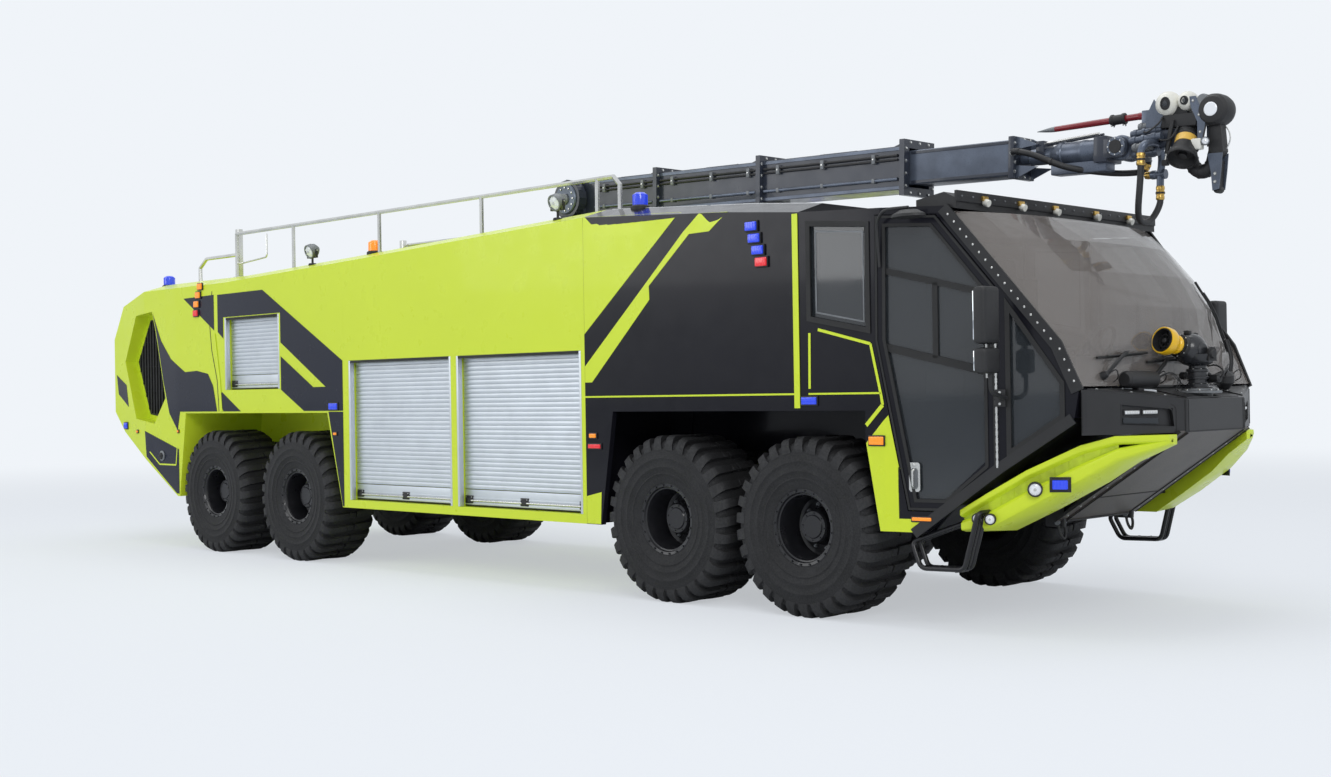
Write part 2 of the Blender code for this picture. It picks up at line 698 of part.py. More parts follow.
def axle(x, steered):
    """Axle beam with its differential, springs, radius arms and wheel ends."""
    fork_y = KINGPIN_Y - KINGPIN_R - OVER - FORK_BAR[1]
    disc = WHEEL_Y - DISC_THICK - GAP
    end = fork_y + FORK_BAR[1] / 2 if steered else disc
    drum_y = disc - OVER
    half = [(0, end), (AXLE_TUBE_R, end), (AXLE_TUBE_R, DIFF_R * 2), (DIFF_R, DIFF_HALF)]
    profile = half + [(r, -y) for r, y in reversed(half)]
    place = Matrix.Translation((x, 0, WHEEL_Z)) @ Matrix.Rotation(-pi / 2, 4, "X")
    pieces = [turned(profile, 12, place)]
    for s in (1, -1):
        top = RAIL_Z1 - GAP
        foot = WHEEL_Z + AXLE_TUBE_R - OVER
        pieces.append(rod((x, s * SPRING_Y, foot), (x, s * SPRING_Y, top), SPRING_R, 10))
        seat_in = (x - SPRING_R, s * (RAIL_OUT + GAP), top - WALL)
        seat_out = (x + SPRING_R, s * (SPRING_Y + OVER), top)
        pieces.append(box([min(a, b) for a, b in zip(seat_in, seat_out)],
                          [max(a, b) for a, b in zip(seat_in, seat_out)]))
        arm_y = s * (RAIL_OUT + GAP + ARM_R)
        arm_end = (x + ARM_REACH, arm_y, RAIL_Z0 + ARM_R)
        pieces.append(rod((x, arm_y, WHEEL_Z), arm_end, ARM_R, 8))
        if steered:
            bar_x, bar_y = FORK_BAR
            reach = KINGPIN_HALF + FORK_THICK
            low = s * fork_y
            high = s * (fork_y + bar_y)
            pieces.append(box((x - bar_x, min(low, high), WHEEL_Z - reach),
                              (x + bar_x, max(low, high), WHEEL_Z + reach)))
            for up in (1, -1):
                z0 = WHEEL_Z + up * (KINGPIN_HALF + GAP)
                z1 = WHEEL_Z + up * reach
                far = s * (KINGPIN_Y + KINGPIN_R)
                pieces.append(box((x - bar_x, min(low, far), min(z0, z1)),
                                  (x + bar_x, max(low, far), max(z0, z1))))
        else:
            pieces.append(rod((x, s * (drum_y - DRUM_THICK), WHEEL_Z), (x, s * drum_y, WHEEL_Z),
                              DRUM_R, 16))
    return fuse(pieces)


def running_gear():
    for i, x in enumerate(AXLE_X):
        node(axle(x, i < STEERED_AXLES), "axle_%d" % (i + 1), STEEL)


def frame():
    long = RAIL_FRONT - RAIL_REAR
    pieces = []
    for s in (1, -1):
        y0, y1 = sorted((s * RAIL_IN, s * RAIL_OUT))
        pieces.append(box((RAIL_REAR, y0, RAIL_Z0), (RAIL_FRONT, y1, RAIL_Z1)))
    for share in cross_x_shares:
        x = RAIL_REAR + share * long
        pieces.append(box((x - CROSS_HALF, -RAIL_IN - OVER, RAIL_Z0 + OVER),
                          (x + CROSS_HALF, RAIL_IN + OVER, RAIL_Z1 - OVER)))
    node(fuse(pieces), "chassis_frame", STEEL)


def engine():
    z0 = RAIL_Z1 + GAP
    block = box((ENGINE_REAR, -ENGINE_HALF, z0), (ENGINE_REAR + ENGINE_LONG, ENGINE_HALF, z0 + ENGINE_HIGH))
    node(block, "engine_block", STEEL)


def body_section(x, half, z0, top):
    """Body ring at x: sill, side, sloped shoulder and deck."""
    deck = half - SHOULDER_IN
    return [(x, -half, z0), (x, half, z0), (x, half, top), (x, deck, top + SHOULDER_RISE),
            (x, -deck, top + SHOULDER_RISE), (x, -half, top)]


def shell(rows):
    return loft([body_section(*row) for row in rows])


def channel(x0, x1):
    """Space for the frame under a body module."""
    return box((x0, -CHANNEL_HALF, 0), (x1, CHANNEL_HALF, CHANNEL_TOP))


def locker(x0, x1, z0, z1, back, s):
    """Hollow behind a shutter from its back wall, running up behind the panel above it."""
    inner = BODY_HALF - WALL
    y0, y1 = sorted((s * back, s * inner))
    hollow = box((x0, y0, z0), (x1, y1, z1 + CURTAIN_TUCK + WALL))
    y0, y1 = sorted((s * (inner - OVER), s * (BODY_HALF + OVER)))
    mouth = box((x0 + CURTAIN_IN, y0, z0 + GAP), (x1 - CURTAIN_IN, y1, z1))
    return [hollow, mouth]


def body_mid():
    rows = [(REAR_JOINT_X + GAP, BODY_HALF, SILL_Z, TOP_REAR_JOINT),
            (MID_JOINT_X - GAP, BODY_HALF, SILL_Z, TOP_HUMP)]
    body = shell(rows)
    cutters = [channel(REAR_JOINT_X - OVER, MID_JOINT_X + OVER)]
    for name, s in SIDES:
        for x0, x1 in ((POST_REAR_X, POST_MID_X[0]), (POST_MID_X[1], POST_FRONT_X)):
            cutters += locker(x0, x1, SHUTTER_Z0, SHUTTER_Z1, LOCKER_Y, s)
    body = cut(body, cutters)
    seat = box((PIVOT_X - TURNTABLE_R, -TURNTABLE_R, TOP_REAR_JOINT),
               (PIVOT_X + TURNTABLE_R, TURNTABLE_R, turntable_z() - GAP))
    node(fuse([body, seat]), "body_mid", LIME)


def turntable_z():
    """Level of the turntable's underside, just clear of the highest deck."""
    return TOP_HUMP + SHOULDER_RISE


def body_rear():
    tail = TAIL_HALF
    rows = [
        (TAIL_X, tail, TAIL_Z0, TAIL_Z1),
        (TAIL_LOW_X, tail + OVER, TAIL_LOW_Z, TAIL_TOP_Z),
        (SLOPE_X1, BODY_HALF - OVER, SLOPE_Z1, TOP_REAR),
        (SLOPE_X0, BODY_HALF, SILL_Z, TOP_REAR),
        (SMALL_X[0], BODY_HALF, SILL_Z, TOP_REAR),
        (REAR_JOINT_X - GAP, BODY_HALF, SILL_Z, TOP_REAR_JOINT),
    ]
    body = shell(rows)
    arch = [(ARCH2_REAR[1], 0), (ARCH2_REAR[1], SILL_Z), (ARCH2_REAR[0], ARCH_Z),
            (ARCH2_FRONT[0], ARCH_Z), (ARCH2_FRONT[1], SILL_Z), (ARCH2_FRONT[1], 0)]
    intake = [(INTAKE_X + u * INTAKE_LONG, INTAKE_Z + v * INTAKE_HIGH) for u, v in intake_shares]
    bay_half = BODY_HALF - INTAKE_DEEP - 2 * WALL
    bay = box((TAIL_LOW_X + WALL, -bay_half, CHANNEL_TOP - OVER), (BAY_FRONT_X, bay_half, TOP_REAR - WALL))
    cutters = [channel(TAIL_X - OVER, REAR_JOINT_X + OVER), bay]
    for name, s in SIDES:
        cutters += locker(SMALL_X[0], SMALL_X[1], SMALL_Z0, SMALL_Z1, BODY_HALF - WALL - SMALL_DEPTH, s)
        cutters.append(across(arch, s * TUNNEL_HALF, s * (BODY_HALF + OVER)))
        cutters.append(across(intake, s * (BODY_HALF - INTAKE_DEEP), s * (BODY_HALF + OVER)))
    deck = TOP_REAR + SHOULDER_RISE
    hatch = box((HATCH_X[0], -HATCH_HALF, deck - OVER), (HATCH_X[1], HATCH_HALF, deck + HATCH_HIGH))
    node(fuse([cut(body, cutters), hatch]), "body_rear", LIME)


def body_front():
    rows = [
        (MID_JOINT_X + GAP, BODY_HALF, SILL_Z, TOP_HUMP),
        (FRONT_CREST_X, BODY_HALF, SILL_Z, TOP_FRONT),
        (CAB_JOINT_X - GAP, BODY_HALF, SILL_Z, TOP_CAB_REAR),
    ]
    body = shell(rows)
    arch = [(ARCH1_REAR[1], 0), (ARCH1_REAR[1], SILL_Z), (ARCH1_REAR[0], ARCH_Z),
            (CAB_JOINT_X + OVER, ARCH_Z), (CAB_JOINT_X + OVER, 0)]
    cutters = [channel(MID_JOINT_X - OVER, CAB_JOINT_X + OVER)]
    for name, s in SIDES:
        cutters.append(across(arch, s * TUNNEL_HALF, s * (BODY_HALF + OVER)))
        cutters.append(well(WELL_REAR_X, CAB_JOINT_X + OVER, s))
    node(cut(body, cutters), "body_front", BLACK)


def well(x0, x1, s):
    """Room for the wheels behind the side panel, beside the tunnel over the frame."""
    y0, y1 = sorted((s * (TUNNEL_HALF + OVER / 2), s * (BODY_HALF - WALL)))
    return box((x0, y0, 0), (x1, y1, ARCH_Z))


def cab_outline():
    return [(CAB_JOINT_X + GAP, CAB_SILL_Z), (SKIRT_FRONT_X, CAB_SILL_Z), CAB_TOE, PILLAR_FOOT,
            PILLAR_MID, PILLAR_TOP, (CAB_JOINT_X + GAP, TOP_CAB_REAR)]


def cab_plan(inset):
    """Plan outline of the cab, drawn in by an inset."""
    rear = CAB_JOINT_X + GAP + inset
    front = CAB_FRONT_X + OVER - inset
    return [(rear, -BODY_HALF + inset), (CAB_TAPER_X, -BODY_HALF + inset),
            (front, -cab_half(front) + inset), (front, cab_half(front) - inset),
            (CAB_TAPER_X, BODY_HALF - inset), (rear, BODY_HALF - inset)]


def door_outline(inset=0):
    """Door edge on the cab side; a positive inset draws it in."""
    i = inset
    return [(DOOR_TOP_REAR[0] + i, DOOR_TOP_REAR[1] - i), (DOOR_KINK[0] + i, DOOR_KINK[1]),
            (DOOR_LOW_REAR[0] + i, DOOR_LOW_REAR[1] + i), (DOOR_LOW_FRONT[0] - i / 2, DOOR_LOW_FRONT[1] + i),
            (HINGE_X - i, DOOR_FRONT_LOW_Z + i), (HINGE_X - i, DOOR_FRONT_TOP_Z - i / 2),
            (DOOR_ROOF_FRONT[0] - i / 2, DOOR_ROOF_FRONT[1] - i)]


def cab_shell():
    high = TOP_CAB_REAR + SHOULDER_RISE
    outer = across(cab_outline(), -BODY_HALF - OVER, BODY_HALF + OVER)
    plan = plate(cab_plan(0), high, plan_plane(high / 2 + OVER))
    outer = combine(outer, [plan], "INTERSECT")
    wall = CAB_WALL
    lining = [(CAB_JOINT_X + wall, CAB_FLOOR_HIGH), (STEP_WALL_X, CAB_FLOOR_HIGH),
              (STEP_WALL_X, CAB_FLOOR_LOW), (FLOOR_FRONT_X, CAB_FLOOR_LOW),
              (CAB_TOE[0] - wall, TOE_LINE_Z), (PILLAR_FOOT[0] - wall, PILLAR_FOOT[1]),
              (PILLAR_MID[0] - wall, PILLAR_MID[1]), (PILLAR_TOP[0] - wall, PILLAR_TOP[1] - wall),
              (CAB_JOINT_X + wall, TOP_CAB_REAR - wall)]
    inside = across(lining, -BODY_HALF, BODY_HALF)
    room = plate(cab_plan(wall), high, plan_plane(high / 2 + OVER))
    hump_half = CHANNEL_HALF + wall
    hump = box((CAB_JOINT_X, -hump_half, 0), (CAB_FRONT_X, hump_half, CHANNEL_TOP + wall))
    inside = cut(combine(inside, [room], "INTERSECT"), [hump])
    open_half = cab_half(PILLAR_FOOT[0]) - PILLAR_W / 2
    top_half = cab_half(PILLAR_TOP[0]) - PILLAR_W / 2
    front = loft([
        [(CAB_TAPER_X + wall, s * h, z) for s, h, z in (
            (-1, open_half, PILLAR_FOOT[1]), (1, open_half, PILLAR_FOOT[1]),
            (1, top_half, PILLAR_TOP[1] - wall), (-1, top_half, PILLAR_TOP[1] - wall))],
        [(CAB_FRONT_X + wall, s * h, z) for s, h, z in (
            (-1, open_half, PILLAR_FOOT[1]), (1, open_half, PILLAR_FOOT[1]),
            (1, top_half, PILLAR_TOP[1] - wall), (-1, top_half, PILLAR_TOP[1] - wall))],
    ])
    arch = [(CAB_JOINT_X - OVER, 0), (SKIRT_REAR_LOW, 0), (SKIRT_REAR_LOW, CAB_SILL_Z), SKIRT_REAR_TOP,
            (SKIRT_REAR_TOP[0], ARCH_Z), (CAB_JOINT_X - OVER, ARCH_Z)]
    cutters = [inside, front, channel(CAB_JOINT_X - OVER, RAIL_FRONT + 4 * wall)]
    for name, s in SIDES:
        cutters.append(across(arch, s * TUNNEL_HALF, s * (BODY_HALF + OVER)))
        cutters.append(well(CAB_JOINT_X - OVER, WELL_FRONT_X, s))
        cutters.append(plate(door_outline(-HINGE_GAP), 4 * wall, on_cab_side(s, 0)))
        cutters.append(plate(QUARTER, 4 * wall, on_cab_side(s, 0)))
        y0, y1 = sorted((s * (BODY_HALF - 2 * wall), s * (BODY_HALF + OVER)))
        cutters.append(across(REAR_WINDOW, y0, y1))
    node(cut(outer, cutters), "cab_shell", BLACK)


def cab_glass():
    for name, s in SIDES:
        inset = GLASS_SEAT + GLASS_T / 2
        quarter = plate(shrunk(QUARTER, GAP), GLASS_T, on_cab_side(s, inset))
        node(quarter, "quarter_glass_" + name, GLASS)
        y = s * (BODY_HALF - inset)
        y0, y1 = sorted((y - GLASS_T / 2, y + GLASS_T / 2))
        node(across(shrunk(REAR_WINDOW, GAP), y0, y1), "side_glass_" + name, GLASS)


def shrunk(outline, by):
    """A convex outline with every edge drawn in by the same small amount."""
    count = len(outline)
    area = sum(a[0] * b[1] - b[0] * a[1] for a, b in zip(outline, outline[1:] + outline[:1]))
    turn = 1 if area > 0 else -1
    lines = []
    for i in range(count):
        a, b = Vector(outline[i]), Vector(outline[(i + 1) % count])
        along = (b - a).normalized()
        inward = Vector((-along.y, along.x)) * turn
        lines.append((a + inward * by, along))
    points = []
    for i in range(count):
        p, u = lines[i - 1]
        q, v = lines[i]
        t = ((q - p).x * v.y - (q - p).y * v.x) / (u.x * v.y - u.y * v.x)
        points.append(tuple(p + u * t))
    return tuple(points)


def screen():
    """Windscreen: each row bulges forward between the pillars, most at mid height."""
    rows = []
    for (x0, z0), (x1, z1), table in ((PILLAR_FOOT, PILLAR_MID, screen_low_shares),
                                      (PILLAR_MID, PILLAR_TOP, screen_high_shares)):
        for share, bulge in table:
            rows.append((x0 + (x1 - x0) * share + 2 * GAP, z0 + (z1 - z0) * share, SCREEN_BULGE * bulge))
    sections = []
    for edge, z, bulge in rows:
        outer = []
        inner = []
        for i in range(SCREEN_STEPS + 1):
            share = 2 * i / SCREEN_STEPS - 1
            x = edge + bulge * (1 - abs(share) ** SCREEN_POWER)
            y = (cab_half(edge) - OVER / 2) * share
            outer.append((x + SCREEN_T, y, z))
            inner.append((x, y, z))
        sections.append(outer + inner[::-1])
    node(loft(sections), "windscreen", GLASS)


def doors():
    for name, s in SIDES:
        hinge = (HINGE_X, s * cab_half(HINGE_X), 0)
        face = on_cab_side(s, DOOR_THICK / 2)
        pane = door_outline(DOOR_FRAME)
        door = plate(door_outline(), DOOR_THICK, face, [pane])
        low, high = DOOR_FRONT_LOW_Z + OVER, DOOR_FRONT_TOP_Z - OVER
        barrel = rod((hinge[0], hinge[1], low), (hinge[0], hinge[1], high), HINGE_GAP - GAP, 8)
        door = fuse([door, barrel])
        node(door, "door_" + name, BLACK, hinge)
        glass = plate(shrunk(tuple(pane), GAP), GLASS_T, on_cab_side(s, GLASS_SEAT + GLASS_T / 2))
        node(glass, "door_glass_" + name, GLASS, hinge)


def hood():
    rear = CAB_FRONT_X + GAP + OVER / 2
    plan = [(rear, -HOOD_HALF), (NOSE_X, -NOSE_HALF), (NOSE_X, NOSE_HALF), (rear, HOOD_HALF)]
    block = plate(plan, HOOD_REAR_Z - HOOD_Z0, plan_plane((HOOD_REAR_Z + HOOD_Z0) / 2))
    slope = across([(rear - OVER, HOOD_REAR_Z), (NOSE_X + OVER, HOOD_NOSE_Z), (NOSE_X + OVER, TOP_REAR),
                    (rear - OVER, TOP_REAR)], -BODY_HALF, BODY_HALF)
    cutters = [slope]
    for name, s in SIDES:
        nose = Vector((NOSE_X, s * NOSE_HALF, HOOD_Z0))
        along = Vector((rear, s * HOOD_HALF, HOOD_Z0)) - nose
        out = Vector((s * along.y, -s * along.x, 0)).normalized()
        rim = [nose + along * u + Vector((0, 0, v * (HOOD_NOSE_Z - HOOD_Z0))) for u, v in lamp_shares]
        cutters.append(loft([[p + out * OVER for p in rim], [p - out * LAMP_DEEP for p in rim]]))
    block = cut(block, cutters)
    boss = rod((MONITOR_X, 0, HOOD_NOSE_Z - OVER), (MONITOR_X, 0, HOOD_REAR_Z), MONITOR_R + OVER, 16)
    node(fuse([block, boss]), "hood", BLACK)


def apron_back(z):
    """Station of the apron's rear face at a height."""
    share = (z - APRON_Z) / (HOOD_Z0 - GAP - APRON_Z)
    low = APRON_X - APRON_T
    return low + share * (NOSE_X - APRON_TOP_T - low)


def apron():
    """Sloping guard plate under the nose."""
    sections = []
    for z, half, front in ((HOOD_Z0 - GAP, NOSE_HALF, NOSE_X), (APRON_Z, APRON_HALF, APRON_X + APRON_T)):
        back = apron_back(z)
        sections.append([(front, -half, z), (front, half, z), (back, half, z), (back, -half, z)])
    node(loft(sections), "apron", BROWN)


def wing(s):
    """Fender ahead of the wheels: a flat top with a lip over its recessed side."""
    rows = []
    for x, z_top, z_low, out_share, in_share in zip(WING_X, WING_TOP_Z, WING_LOW_Z,
                                                    wing_outer_shares, wing_inner_shares):
        out, y_in = s * BODY_HALF * out_share, s * BODY_HALF * in_share
        side = out - s * WING_LIP
        rows.append([(x, out, z_top), (x, y_in, z_top), (x, y_in, z_low), (x, side, (z_low + z_top) / 2),
                     (x, side, z_top - WING_LIP), (x, out, z_top - WING_LIP)])
    return loft(rows)


def steps(s):
    """Boarding steps of two bent tubes with rungs between them."""
    tubes = []
    for shares in (step_outer_shares, step_inner_shares):
        tubes.append([Vector((x, s * BODY_HALF * share, z)) for x, share, z in zip(STEP_X, shares, STEP_Z)])
    pieces = [pipe(tube, STEP_R) for tube in tubes]
    for share in rung_shares:
        a, b = [tube[2].lerp(tube[3], share) for tube in tubes]
        pieces.append(rod(a, b, STEP_R, 6))
    return pieces


def bumper():
    """Beam across the frame's ends with both wings, their brace and their steps."""
    beam_z = RAIL_Z0 - BEAM_BELOW
    beam_half = BODY_HALF * wing_inner_shares[1] + OVER
    brace_half = BODY_HALF * wing_inner_shares[2]
    brace_x = apron_back(BRACE_Z) - 2 * GAP
    beam_x = apron_back(beam_z) - 2 * GAP
    pieces = [box((RAIL_FRONT + GAP, -beam_half, beam_z), (beam_x, beam_half, beam_z + BEAM_HIGH)),
              box((brace_x - BRACE_LONG, -brace_half, BRACE_Z), (brace_x, brace_half, BRACE_Z + APRON_T))]
    for s in (1, -1):
        pieces.append(wing(s))
        pieces += steps(s)
    node(fuse(pieces), "bumper", LIME)


def visor():
    """Brow over the windscreen, lying on the sloping front of the cab roof."""
    x0 = PILLAR_TOP[0] - VISOR_DEEP
    x1 = PILLAR_TOP[0] + VISOR_LIP
    fall = (TOP_CAB_REAR - PILLAR_TOP[1]) / (PILLAR_TOP[0] - CAB_JOINT_X)
    z1 = PILLAR_TOP[1] + GAP
    z0 = z1 + fall * VISOR_DEEP
    half = cab_half(PILLAR_TOP[0]) - OVER
    brow = across([(x0, z0), (PILLAR_TOP[0], z1), (x1, z1 - VISOR_HIGH / 4), (x1, z1 + VISOR_HIGH / 2),
                   (PILLAR_TOP[0], z1 + VISOR_HIGH), (x0, z0 + VISOR_HIGH / 2)], -half, half)
    node(brow, "header_visor", BLACK)


def roof_z(x):
    """Deck level at a station."""
    table = ((SLOPE_X1, TOP_REAR), (SMALL_X[0], TOP_REAR), (REAR_JOINT_X, TOP_REAR_JOINT),
             (MID_JOINT_X, TOP_HUMP), (FRONT_CREST_X, TOP_FRONT), (CAB_JOINT_X, TOP_CAB_REAR))
    for (x0, z0), (x1, z1) in zip(table, table[1:]):
        if x0 <= x <= x1:
            return z0 + (z1 - z0) * (x - x0) / (x1 - x0) + SHOULDER_RISE
    return TOP_REAR + SHOULDER_RISE


def post_foot(x):
    """Level at which an upright tube just clears the sloping deck."""
    return max(roof_z(x - RAIL_TUBE), roof_z(x + RAIL_TUBE)) + GAP


def handrails():
    bend = 4 * OVER
    for name, s in SIDES:
        y = s * RAIL_Y
        start, end = RAIL_START_X, RAIL_END_X
        low = start - LOW_RAIL_LONG
        pieces = [pipe([(start, y, RAIL_TOP_Z), (end - bend, y, RAIL_TOP_Z),
                        (end, y, RAIL_TOP_Z - bend), (end, y, post_foot(end))], RAIL_TUBE),
                  pipe([(low, y, post_foot(low)), (low, y, LOW_RAIL_Z - LOW_RAIL_DROP),
                        (low + LOW_RAIL_BEND, y, LOW_RAIL_Z), (start, y, LOW_RAIL_Z)], RAIL_TUBE)]
        for share in post_shares:
            x = start + share * (end - start)
            pieces.append(rod((x, y, post_foot(x)), (x, y, RAIL_TOP_Z), RAIL_TUBE, 6))
        node(fuse(pieces), "handrail_" + name, ALU)


def mirrors():
    for name, s in SIDES:
        foot_x = HINGE_X + 2 * OVER
        foot = Vector((foot_x, s * (cab_half(foot_x) + MIRROR_PAD - MIRROR_TUBE / 3), MIRROR_FOOT_Z))
        px0, px1 = foot_x - MIRROR_TUBE, foot_x + MIRROR_TUBE
        pz0, pz1 = MIRROR_FOOT_Z - 3 * MIRROR_TUBE, MIRROR_FOOT_Z + 3 * MIRROR_TUBE
        pad = plate([(px0, pz0), (px1, pz0), (px1, pz1), (px0, pz1)], MIRROR_PAD,
                    on_cab_side(s, -GAP - MIRROR_PAD / 2))
        x0, x1 = MIRROR_X - MIRROR_T / 2, MIRROR_X + MIRROR_T / 2
        y0, y1 = sorted((s * (MIRROR_Y - MIRROR_W / 2), s * (MIRROR_Y + MIRROR_W / 2)))
        pieces = [pad, box((x0, y0, MIRROR_Z[0]), (x1, y1, MIRROR_Z[1])),
                  box((x0, y0, SMALL_MIRROR_Z[0]), (x1, y1, SMALL_MIRROR_Z[1]))]
        arm_y = s * (MIRROR_Y - MIRROR_W / 4)
        pieces.append(pipe([foot, (MIRROR_X, s * (cab_half(HINGE_X) + 4 * OVER), MIRROR_FOOT_Z),
                            (MIRROR_X, arm_y, MIRROR_FOOT_Z + 3 * OVER),
                            (MIRROR_X, arm_y, MIRROR_Z[0] + OVER)],
                           MIRROR_TUBE))
        node(fuse(pieces), "mirror_" + name, BLACK)


def shutters():
    """Each roller shutter is a curtain of slats with a lift bar under it."""
    table = (
        ("1", POST_REAR_X, POST_MID_X[0], SHUTTER_Z0, SHUTTER_Z1),
        ("2", POST_MID_X[1], POST_FRONT_X, SHUTTER_Z0, SHUTTER_Z1),
        ("3", SMALL_X[0], SMALL_X[1], SMALL_Z0, SMALL_Z1),
    )
    for key, x0, x1, z0, z1 in table:
        for name, s in SIDES:
            low = z0 + RUN
            bar_top = low + BAR_HIGH
            x0r, x1r = x0 + RUN, x1 - RUN
            y = s * (CURTAIN_Y + SHEET)
            count = max(2, round((z1 - bar_top) / SLAT))
            curtain_top = z1 + CURTAIN_TUCK
            outline = [(s * CURTAIN_Y, bar_top + GAP)]
            step = (curtain_top - bar_top - GAP) / count
            for i in range(count):
                base = bar_top + GAP + i * step
                outline.append((y, base + step / 6))
                outline.append((y, base + step * 5 / 6))
                outline.append((s * (CURTAIN_Y + SHEET / 2), base + step))
            outline.append((s * CURTAIN_Y, curtain_top))
            place = Matrix(((0, 0, 1, (x0r + x1r) / 2), (1, 0, 0, 0), (0, 1, 0, 0), (0, 0, 0, 1)))
            curtain = plate(outline, x1r - x0r, place)
            node(curtain, "shutter_%s%s" % (key, name), ALU)
            y0, y1 = sorted((s * CURTAIN_Y, s * (CURTAIN_Y + BAR_DEEP)))
            pieces = [box((x0 + GAP, y0, low), (x1 - GAP, y1, bar_top))]
            for share in bracket_shares:
                bx = x0r + share * (x1r - x0r - BRACKET_W)
                bx1 = bx + BRACKET_W
                b0, b1 = sorted((s * (CURTAIN_Y + OVER / 2), s * (CURTAIN_Y + BRACKET_DEEP)))
                pieces.append(box((bx + OVER / 2, b0, low + OVER), (bx1 - OVER / 2, b1, bar_top - OVER)))
            node(fuse(pieces), "lift_bar_%s%s" % (key, name), ALU, (0, s * CURTAIN_Y, low))


def boom_frame():
    """From the boom's own frame (s, y, h) to the truck's."""
    return Matrix.Translation((PIVOT_X, 0, PIVOT_Z)) @ Matrix.Rotation(BOOM_DROOP, 4, "Y")


def square_tube(s0, s1, wide, high, wall):
    outer = box((s0, -wide / 2, -high / 2), (s1, wide / 2, high / 2))
    if not wall:
        return outer
    half_y = wide / 2 - wall
    half_h = high / 2 - wall
    inner = box((s0 - OVER, -half_y, -half_h), (s1 + OVER, half_y, half_h))
    return cut(outer, [inner])


def boom():
    frame_at = boom_frame()
    base = turntable_z()
    eye = PIVOT_R * cheek_top_share
    pieces = [rod((PIVOT_X, 0, base), (PIVOT_X, 0, base + TURNTABLE_HIGH), TURNTABLE_R, 24)]
    for s in (1, -1):
        y0, y1 = sorted((s * (OUTER_WIDE / 2 + RUN), s * (OUTER_WIDE / 2 + RUN + CHEEK_T)))
        cheek = [(PIVOT_X - CHEEK_HALF, base + OVER), (PIVOT_X + CHEEK_HALF, base + OVER),
                 (PIVOT_X + eye, PIVOT_Z + eye), (PIVOT_X - eye, PIVOT_Z + eye)]
        pieces.append(across(cheek, y0, y1))
        pieces.append(rod((PIVOT_X, s * (OUTER_WIDE / 2 + RUN + CHEEK_T - OVER), PIVOT_Z),
                          (PIVOT_X, s * (OUTER_WIDE / 2 + RUN + 3 * CHEEK_T), PIVOT_Z), DRUM_BOOM_R, 20))
    node(fuse(pieces), "boom_turntable", BLACK, (PIVOT_X, 0, base))

    tube = square_tube(-CHEEK_HALF / 2, OUTER_END, OUTER_WIDE, OUTER_HIGH, OUTER_WALL)
    collars = []
    for at in (OUTER_END - COLLAR_T, *(OUTER_END * share for share in collar_shares)):
        wide = OUTER_WIDE + 2 * COLLAR_OVER
        high = OUTER_HIGH + 2 * COLLAR_OVER
        collar = square_tube(at, at + COLLAR_T, wide, high, COLLAR_OVER + OUTER_WALL / 2)
        collars.append(collar)
    pin_y = OUTER_WIDE / 2 + RUN - GAP
    for s in (1, -1):
        collars.append(rod((0, s * (OUTER_WIDE / 2 - OUTER_WALL / 2), 0), (0, s * pin_y, 0), eye, 14))
    outer = shift(fuse([tube] + collars), frame_at)
    node(outer, "boom_outer", BLACK, (PIVOT_X, 0, PIVOT_Z))

    core = square_tube(INNER_START, INNER_END, INNER_WIDE, INNER_HIGH, 0)
    pad_w = OUTER_WIDE / 2 - OUTER_WALL - GAP
    pad_h = OUTER_HIGH / 2 - OUTER_WALL - GAP
    pads = box((INNER_START, -pad_w, -pad_h), (INNER_START + 2 * COLLAR_T, pad_w, pad_h))
    end = square_tube(INNER_END - COLLAR_T, INNER_END, INNER_WIDE + COLLAR_OVER, INNER_HIGH + COLLAR_OVER, 0)
    block_s = HEAD_S - NECK_R - RUN
    neck = rod((INNER_END - OVER, 0, 0), (block_s - 2 * OVER, 0, 0), NECK_R, 14)
    fork_y = NECK_R + GAP + FORK_CHEEK
    block_y = fork_y + OVER / 4
    block_h = NECK_R + OVER / 2
    fork = [box((block_s - NECK_R, -block_y, -block_h), (block_s, block_y, block_h))]
    for s in (1, -1):
        y0, y1 = sorted((s * (NECK_R + GAP), s * fork_y))
        fork.append(box((block_s - OVER, y0, -0.8 * NECK_R), (HEAD_S + NECK_R / 2, y1, 0.8 * NECK_R)))
    fork.append(rod((HEAD_S, -fork_y + GAP, 0), (HEAD_S, -swivel_share * NECK_R, 0), SWIVEL_R, 14))
    feed = pipe(smooth([on_head(p) for p in feed_shares], 3 * len(feed_shares)), FEED_R)
    inner = shift(fuse([core, pads, end, neck, feed] + fork), frame_at)
    node(inner, "boom_inner", BLACK, (PIVOT_X, 0, PIVOT_Z))
    boom_head(frame_at)


def on_head(shares):
    """A place in the boom's frame, given in shares of the neck's radius from the tilt axis."""
    return Vector((HEAD_S, 0, 0)) + NECK_R * Vector(shares)


